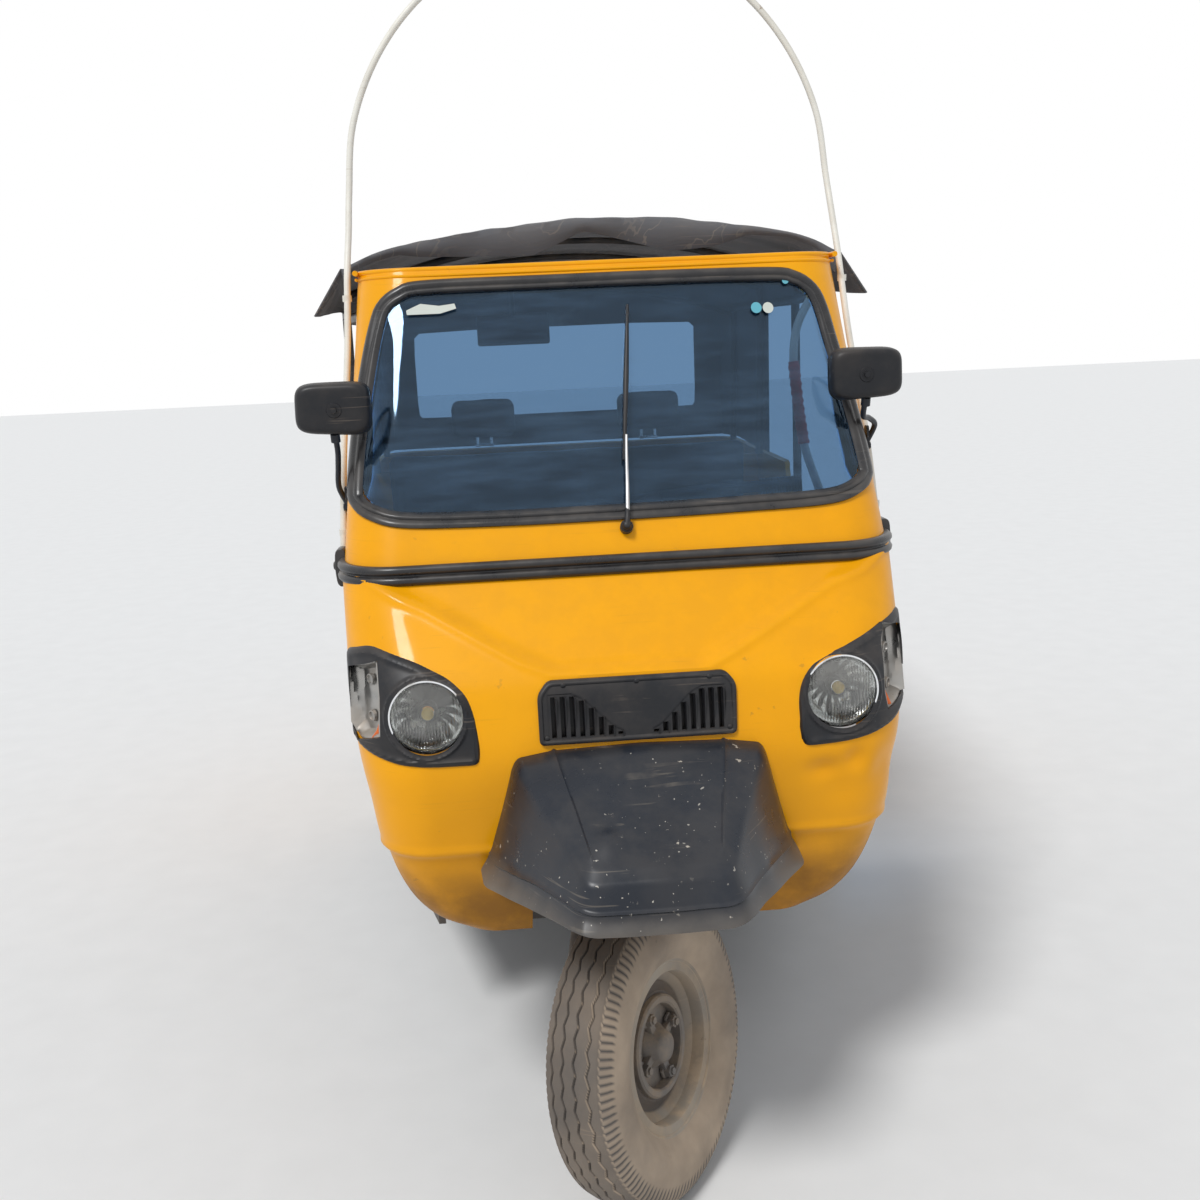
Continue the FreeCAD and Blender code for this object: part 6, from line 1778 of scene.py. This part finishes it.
stub = lathe(
    "stub", [(-0.0460, 0.0), (-0.0460, 0.0118), (0.0200, 0.0118), (0.0215, 0.0100), (0.0218, 0.0)],
    24)
axle_nut = lathe(
    "axle_nut",
    [(-0.0880, 0.0), (-0.0880, 0.0120), (-0.0865, 0.0150), (-0.0755, 0.0150), (-0.0755, 0.0)], 6)
cylinder = lathe(
    "wheel_cylinder",
    [(-0.0680, 0.0), (-0.0680, 0.0110), (-0.0660, 0.0130), (-0.0540, 0.0140), (-0.0540, 0.0)], 24,
    shift(0, 0.050, 0.056))
link = merged("link", [web, drum_plate, collar, stub, axle_nut, cylinder])
in_fork(link)
settle(link, road_black, "black_steel", "front_link", body="steering", degrees=40)


def helix(x, y, radius, low, high, turns, ease=0.0):
    """The line of an upright coil; ease draws its end turns together."""
    line = []
    for k in range(turns * 12 + 1):
        turn, share = k / 12 * math.tau, k / (turns * 12)
        rise = share + ease * math.sin(share * math.tau)
        line.append(Vector(
            (x + radius * math.cos(turn), y + radius * math.sin(turn), low + (high - low) * rise)))
    return line


coil = tube("coil", helix(spring_x, spring_y, 0.0232, 0.062, 0.313, 8, 0.030), 0.0043, 12, 420)
damper = lathe(
    "damper",
    [
        (0.020, 0.0), (0.020, 0.0135), (0.060, 0.0145), (0.160, 0.0145), (0.162, 0.0120),
        (0.164, 0.0060), (0.314, 0.0060), (0.314, 0.0)], 28)
seat_ring = lathe(
    "seat_ring",
    [
        (0.052, 0.0145), (0.052, 0.0270), (0.056, 0.0280), (0.0590, 0.0280), (0.0590, 0.0145),
        (0.052, 0.0145)], 36)
rod_eye = lathe(
    "rod_eye",
    [
        (-0.117, 0.0), (-0.117, 0.0125), (-0.115, 0.0138), (-0.078, 0.0138), (-0.076, 0.0125),
        (-0.076, 0.0)], 28, shift(0, spring_y, pivot_z))
for piece in (damper, seat_ring):
    piece.data.transform(shift(spring_x, spring_y, 0) @ spin(-90, "Y"))
spring_unit = merged("spring_unit", [coil, damper, seat_ring, rod_eye])
in_fork(spring_unit)
spring_dust = worn(
    "dusty_spring", (0.19, 0.15, 0.11), (0.09, 0.07, 0.055), 0.6, chip=(0.05, 0.04, 0.035),
    dust=(0.45, 0.35, 0.25), bump=0.35, grain_scale=420.0, dust_amount=0.95, chip_amount=0.5,
    scratch_amount=0.3, shade_amount=0.7)
settle(spring_unit, spring_dust, "black_steel", "front_spring", body="steering", degrees=50)

hose_route = [
    (-0.100, -0.040, 0.256), (-0.138, -0.040, 0.300), (-0.152, -0.010, 0.335),
    (-0.152, 0.022, 0.290), (-0.146, 0.034, 0.232), (-0.124, 0.052, 0.180), (-0.092, 0.060, 0.130),
    (-0.066, 0.056, 0.088), (-0.052, 0.050, 0.056)]
hose = tube("hose", [Vector(p) for p in hose_route], 0.0037, 14, 150)
for index, vertex in enumerate(hose.data.vertices):
    ring, spoke = divmod(index, 14)
    braid = 0.00035 if (ring + spoke) % 4 < 2 else -0.00015
    vertex.co += vertex.normal * braid
ferrules = [
    tube(
        "ferrule", [Vector(a), Vector(a).lerp(Vector(b), 0.34)], [0.0052, 0.0052, 0.0046], 14,
        6) for a, b in ((hose_route[0], hose_route[1]), (hose_route[-1], hose_route[-2]))]
hose = merged("brake_hose_finish", [hose, *ferrules])
in_fork(hose)
hose_rubber = worn(
    "braided_hose", (0.035, 0.034, 0.034), (0.075, 0.068, 0.060), 0.6, dust=(0.34, 0.26, 0.19),
    bump=0.5, grain_scale=700.0, dust_amount=0.6, chip_amount=0.1, scratch_amount=0.3)
settle(hose, hose_rubber, "black_rubber", "brake_hose", body="steering", degrees=60)

# Handlebar: swept steel bar clamped on its stem, with ribbed rubber grips, levers and
# a small switch box. It turns with the column.
bar_height = 1.000
stem = tube("stem", [(0, 0, 0.938), (0, 0.040, 0.957), (0, 0.165, bar_height)], 0.0136, 20, 24)
clamp = lathe(
    "clamp", [(0.0, 0.0), (0.0, 0.0205), (0.032, 0.0205), (0.034, 0.0180), (0.034, 0.0)], 28,
    shift(0, 0, 0.936) @ spin(-90, "Y"))
bar_places = (
    (-0.265, 0.233), (-0.190, 0.200), (-0.110, 0.166), (0, 0.163), (0.110, 0.166), (0.190, 0.200),
    (0.265, 0.233))
bar = tube("bar", [(x, y, bar_height) for x, y in bar_places], 0.0108, 18, 90)
lever_places = ((0.118, 0.158), (0.124, 0.139), (0.170, 0.158), (0.262, 0.199))
bar_parts = [stem, clamp, bar]
grips = []
for side in (-1, 1):
    start = Vector((side * 0.198, 0.2035, bar_height))
    end = Vector((side * 0.270, 0.235, bar_height))
    grips.append(tube(
        "grip", [start.lerp(end, k / 8) for k in range(9)],
        [0.0156 if k % 2 else 0.0138 for k in range(30)], 18, 90))
    lever = tube(
        "lever", [(side * x, y, bar_height) for x, y in lever_places],
        [0.0050, 0.0046, 0.0044, 0.0046, 0.0050], 10, 50)
    switch = block(
        "switch", (side * 0.150 - 0.018, 0.168, bar_height - 0.017),
        (side * 0.150 + 0.018, 0.198, bar_height + 0.015), 0.005)
    bar_parts += [lever, switch]
handlebar = merged("handlebar_finish", bar_parts)
grips = merged("handlebar_grips", grips)
in_fork(handlebar, grips)
settle(handlebar, frame_black, "black_steel", "handlebar", body="steering", degrees=45)
settle(grips, glossy_rubber, "black_rubber", body="steering", degrees=50)

# Cab fittings: grab pole with its red sleeve, inner mirror on a stalk, dash shelf
# with its gauge, and the plates that stay as built, each with its finish.
pole_places = (
    (0.440, 0.286, 1.070), (0.437, 0.360, 1.110), (0.434, 0.480, 1.190), (0.427, 0.572, 1.270),
    (0.420, 0.590, 1.350), (0.412, 0.595, 1.440), (0.420, 0.594, 1.510), (0.448, 0.590, 1.568))
pole_line = [Vector((x, axle_y + y, z)) for x, y, z in pole_places]
pole = tube("pole", pole_line, 0.0086, 16, 120)
settle(pole, cream, "sleeve_red", "grab_pole", degrees=60)
wrap = tube(
    "pole_sleeve", pole_line[3:6], [0.0115 + 0.0012 * math.sin(k * 1.9) for k in range(34)], 18,
    110)
red_cloth = worn(
    "red_sleeve", (0.72, 0.015, 0.025), (0.50, 0.010, 0.018), 0.8, dust=(0.36, 0.28, 0.22),
    bump=0.6, grain_scale=500.0, dust_amount=0.2, chip_amount=0.1, scratch_amount=0.3, sheen=0.3)
settle(wrap, red_cloth, "sleeve_red", degrees=60)
label_white = worn(
    "plain_label", (0.62, 0.66, 0.60), (0.50, 0.52, 0.48), 0.6, dust_amount=0.1, chip_amount=0.0,
    scratch_amount=0.1)
label_blue = worn(
    "plain_round_label", (0.10, 0.42, 0.52), (0.07, 0.33, 0.42), 0.5, dust_amount=0.1,
    chip_amount=0.0, scratch_amount=0.1)
strip = [
    (-0.360, 1.571), (-0.334, 1.582), (-0.300, 1.577), (-0.272, 1.580), (-0.269, 1.571),
    (-0.299, 1.563), (-0.359, 1.563)]
disc_places = ((0.284, 1.549, 0.010), (0.344, 1.596, 0.006), (0.306, 1.548, 0.010))
discs = [
    [
        (x + size * math.cos(k * math.tau / 20), z + size * math.sin(k * math.tau / 20))
        for k in range(20)] for x, z, size in disc_places]
for outlines, material in (([strip, discs[2]], label_white), (discs[:2], label_blue)):
    labels = merged("glass_labels", [plate("label", outline, 0.0, 0.0004) for outline in outlines])
    for vertex in labels.data.vertices:
        vertex.co = before_screen(vertex.co.x, vertex.co.z, 0.0004 + vertex.co.y)
    outward(labels)
    settle(labels, material, "screen_glass", degrees=30)
stalk = tube(
    "stalk",
    [
        (-0.166, axle_y + 0.430, 1.618), (-0.166, axle_y + 0.433, 1.596),
        (-0.166, axle_y + 0.462, 1.570), (-0.166, axle_y + 0.475, 1.550)], 0.0046, 12, 30)
back_shell = block(
    "back_shell", (-0.236, axle_y + 0.470, 1.500), (-0.096, axle_y + 0.482, 1.560), 0.0048)
foot_pad = block(
    "foot_pad", (-0.182, axle_y + 0.420, 1.6135), (-0.150, axle_y + 0.440, 1.6195), 0.002)
settle(
    ("inner_mirror_body", [stalk, back_shell, foot_pad]), black_plastic, "black_plastic",
    "inner_mirror", degrees=40)
inner_face = block(
    "inner_face", (-0.230, axle_y + 0.4815, 1.506), (-0.102, axle_y + 0.4835, 1.554), 0.0009)
settle(inner_face, mirror_silver, "mirror_face", degrees=30)
gauge = lathe(
    "gauge",
    [
        (0.0, 0.0), (0.0, 0.047), (0.030, 0.052), (0.050, 0.052), (0.053, 0.049), (0.053, 0.044),
        (0.047, 0.042), (0.047, 0.0)], 48,
    shift(-0.10, axle_y + 0.205, 1.068) @ spin(-62, "X") @ spin(-90, "Y"))
for vertex in gauge.data.vertices:
    vertex.co.z = max(vertex.co.z, 1.0682)
settle(gauge, black_plastic, "black_plastic", degrees=40)
dress("dash_shelf", black_plastic)

# Rear tub: yellow pressed sides with a raised waist band and rolled wheel arch lips,
# the tail panel round the engine door, and the door with its louvres and handle.
tail_y = 2.572
tub_rows = [
    (0.400, 0.640, -tail_y, 0.100), (0.600, 0.665, -tail_y, 0.120), (0.950, 0.660, -tail_y, 0.120),
    (1.120, 0.640, -tail_y, 0.120)]
arch_y, arch_z, arch_radius = rear_axle_y, rear_axle_z, 0.312


def tub_at(height, share, off=0.0):
    """A point on the tub; share runs -1 to 1 from one door edge round the tail."""
    point, out = around(tub_rows, height, share, -1.640)
    point.y, out.y = 2 * axle_y - point.y, -out.y
    return point + out * off, out


def tub_place(u, v, _):
    height = 0.4005 + (1.1195 - 0.4005) * (v + 1) / 2
    point, out = tub_at(height, u)
    off = -0.0045
    off += 0.0035 * (step(height, 0.905, 0.912) - step(height, 0.958, 0.965))
    off += 0.0030 * math.exp(-((height - 1.108) / 0.006) ** 2)
    if abs(point.x) > 0.43:
        lip = math.hypot(point.y - arch_y, height - arch_z) - arch_radius
        off += 0.0042 * math.exp(-(lip / 0.011) ** 2)
    off += 0.0010 * noise.noise(Vector((point.x * 4, point.y * 4, height * 5)))
    for dent_y, dent_z, wide, depth in ((1.22, 0.70, 0.07, 0.004), (0.66, 0.82, 0.05, 0.003)):
        off -= depth * math.exp(-((point.y - dent_y) ** 2 + (height - dent_z) ** 2) / wide ** 2)
    return point + out * off


tub = skin("tub_skin", 240, 88, tub_place, 1, 1, 0.014)
arch_cut = lathe(
    "arch_cut", [(-1.0, 0.0), (-1.0, arch_radius), (1.0, arch_radius), (1.0, 0.0)], 120,
    shift(0, arch_y, arch_z))
remove(tub, arch_cut)
tail, door = double(tub), double(tub)


def tail_box(half, low, high):
    """A box through the tail that is as wide as twice half."""
    return block("cut", (-half, axle_y + 2.300, low), (half, axle_y + 2.700, high), 0)


remove(tub, tail_box(0.420, 0.2, 1.3))
remove(tail, tail_box(0.420, 0.2, 1.3), operation="INTERSECT")
remove(tail, tail_box(0.386, 0.464, 0.856))
remove(door, tail_box(0.380, 0.470, 0.850), operation="INTERSECT")
houses = []
for side in (-1, 1):
    drum = lathe(
        "drum",
        [
            (0.4805, 0.06), (0.4805, 0.3215), (0.6300, 0.3215), (0.6300, 0.3125), (0.4895, 0.3125),
            (0.4895, 0.06), (0.4805, 0.06)], 96, shift(0, arch_y, arch_z))
    remove(drum, block("cut", (0.3, arch_y - 0.5, -0.5), (0.8, arch_y + 0.5, 0.402), 0))
    if side < 0:
        drum.data.transform(Matrix.Diagonal((-1, 1, 1, 1)))
        drum.data.flip_normals()
    houses.append(drum)
# Its Dust colour is darker than the paint; blended in below low_edge it makes the tub darker
# towards the bottom.
tub_paint = worn(
    "tub_enamel", (0.93, 0.405, 0.001), (0.82, 0.33, 0.001), 0.36, chip=(0.10, 0.06, 0.04),
    dust=(0.30, 0.17, 0.07), bump=0.08, coat=0.2, coat_rough=0.12, ior=1.25, shade_amount=0.7,
    dust_amount=0.25, chip_amount=0.6, scratch_amount=0.35, grain_scale=140.0, rough_spread=0.2,
    low_edge=0.66, low_dust=0.45)
settle(
    ("rear_sides_finish", [tub, *houses]), tub_paint, "yellow_paint", "rear_body_sides",
    degrees=30)

hinge_y, hinge_z = axle_y + tail_y + 0.008 - 0.003, 0.851
hinge_parts = []
for x in (0.250, -0.310):
    pin = lathe(
        "pin", [(x - 0.020, 0.0), (x - 0.020, 0.0040), (x + 0.080, 0.0040), (x + 0.080, 0.0)], 20,
        shift(0, hinge_y, hinge_z))
    hinge_parts.append(pin)
    for edge in (x - 0.020, x + 0.065):
        lug = block(
            "lug", (edge, hinge_y - 0.0155, hinge_z - 0.008),
            (edge + 0.015, hinge_y + 0.008, hinge_z + 0.0195), 0.003)
        hinge_parts.append(lug)
settle(("tail_finish", [tail, *hinge_parts]), tub_paint, "yellow_paint", "tail_panel", degrees=30)
door_parts = [door]
for x in (0.250, -0.310):
    roll = lathe(
        "roll", [(x, 0.0044), (x, 0.0080), (x + 0.060, 0.0080), (x + 0.060, 0.0044), (x, 0.0044)],
        24, shift(0, hinge_y, hinge_z))
    leaf = block(
        "leaf", (x, hinge_y - 0.0078, hinge_z - 0.044),
        (x + 0.060, hinge_y - 0.0030, hinge_z - 0.006), 0.0015)
    door_parts += [roll, leaf]
louvre_places = ((-0.110, 2.566), (-0.095, 2.571), (0.095, 2.571), (0.110, 2.566))
for row in range(6):
    for x in (-0.17, 0.17):
        z = 0.620 + row * 0.030
        line = [(x + across, axle_y + y, z) for across, y in louvre_places]
        door_parts.append(tube("louvre", line, 0.0058, 10, 30))
handle_line = ((0.060, 2.570), (0.058, 2.588), (0.040, 2.5905))
handle_line = [(-x, y) for x, y in handle_line] + [*handle_line[::-1]]
door_parts.append(tube("handle", [(x, axle_y + y, 0.560) for x, y in handle_line], 0.0056, 14, 70))
settle(
    ("engine_door_finish", door_parts), tub_paint, "yellow_paint", "engine_door",
    body="engine_door", degrees=30)

lamps, bars = [], []
for side in (-1, 1):
    x = side * 0.474
    bars.append(
        block(
            "base", (x - 0.042, axle_y + 2.5585, 0.900), (x + 0.042, axle_y + 2.5740, 1.030),
            0.004))
    lamps.append(
        block(
            "lens", (x - 0.036, axle_y + 2.5700, 0.906), (x + 0.036, axle_y + 2.5950, 1.024),
            0.010))
material, tree, output = blank_material("tail_lamp_glass")
place = node(tree, "TexCoord").outputs["Object"]
height = node(tree, "SeparateXYZ", {0: place}).outputs[2]
tint = blend(
    tree, math_node(tree, height, 0.982, "GREATER_THAN"), (0.42, 0.010, 0.010, 1),
    (0.80, 0.22, 0.01, 1))
ribs = node(tree, "TexWave", {"Vector": place, "Scale": 48.0}, bands_direction="Z")
relief = node(tree, "Bump", {"Height": ribs.outputs["Fac"], "Strength": 0.6, "Distance": 0.001})
lamp = node(
    tree, "BsdfPrincipled",
    {"Base Color": tint, "Roughness": 0.15, "Normal": relief.outputs[0], "Coat Weight": 0.6})
tree.links.new(lamp.outputs[0], output.inputs[0])
settle(("tail_lamp_lenses", lamps), material, "lamp_red", "tail_lamps")
settle(("tail_lamp_bases", bars), black_plastic, "black_plastic")

# Underneath: engine and silencer, trailing arms, rear coils, chassis and floor, all
# dusty, with rust on the silencer.
cast_metal = worn(
    "cast_metal", (0.34, 0.33, 0.31), (0.17, 0.15, 0.13), 0.55, metal=0.6,
    chip=(0.06, 0.05, 0.045), dust=(0.34, 0.26, 0.18), bump=0.6, grain_scale=220.0,
    dust_amount=0.8, chip_amount=0.8, scratch_amount=0.3)
rust = worn(
    "rusty_steel", (0.19, 0.085, 0.040), (0.085, 0.045, 0.030), 0.8, chip=(0.30, 0.12, 0.04),
    dust=(0.34, 0.24, 0.16), bump=0.8, grain_scale=260.0, dust_amount=0.5, chip_amount=1.0,
    scratch_amount=0.2, shade_amount=0.9)
ribs = [
    block("rib", (-0.205, axle_y + y, 0.240), (0.205, axle_y + y + 0.006, 0.552), 0.002)
    for y in (1.80, 1.86, 1.92, 1.98, 2.10, 2.16, 2.22, 2.28)]
settle(("engine_ribs", ribs), cast_metal, "engine_metal", degrees=30)
dress("engine_block", cast_metal)
dress("silencer", rust)
straps = []
for x in (-0.120, 0.120):
    strap = lathe(
        "strap",
        [
            (x - 0.012, 0.0480), (x - 0.012, 0.0500), (x + 0.012, 0.0500), (x + 0.012, 0.0480),
            (x - 0.012, 0.0480)], 40, shift(0, axle_y + 2.358 + 0.062, 0.440))
    straps.append(strap)
settle(("silencer_straps", straps), road_black, "rust_steel", degrees=30)
dress("rear_arms", road_black)
coils = []
for side in (-1, 1):
    line = helix(side * 0.4415, axle_y + 1.925, 0.0275, 0.3225, 0.5855, 6)
    coils.append(tube("rear_coil", line, 0.0050, 10, 180))
    core = lathe(
        "core",
        [
            (0.3125, 0.0), (0.3125, 0.0235), (0.3175, 0.0235), (0.3180, 0.0150), (0.460, 0.0150),
            (0.462, 0.008), (0.584, 0.008), (0.585, 0.032), (0.5915, 0.032), (0.5915, 0.0)], 28,
        shift(side * 0.4415, axle_y + 1.925, 0) @ spin(-90, "Y"))
    coils.append(core)
settle(("rear_coils", coils), road_black, "black_steel", "rear_springs", degrees=50)
for node_name, material in (
        ("chassis_frame", road_black), ("floor_pan", road_black), ("rear_bumper", frame_black),
        ("partition", tub_paint), ("passenger_seat_base", tub_paint)):
    dress(node_name, material)
caps = [
    block(
        "cap", (side * 0.486 - 0.018, axle_y + 2.573, 0.297),
        (side * 0.486 + 0.018, axle_y + 2.6005, 0.383), 0.006) for side in (-1, 1)]
settle(("bumper_caps", caps), glossy_rubber, "black_rubber")
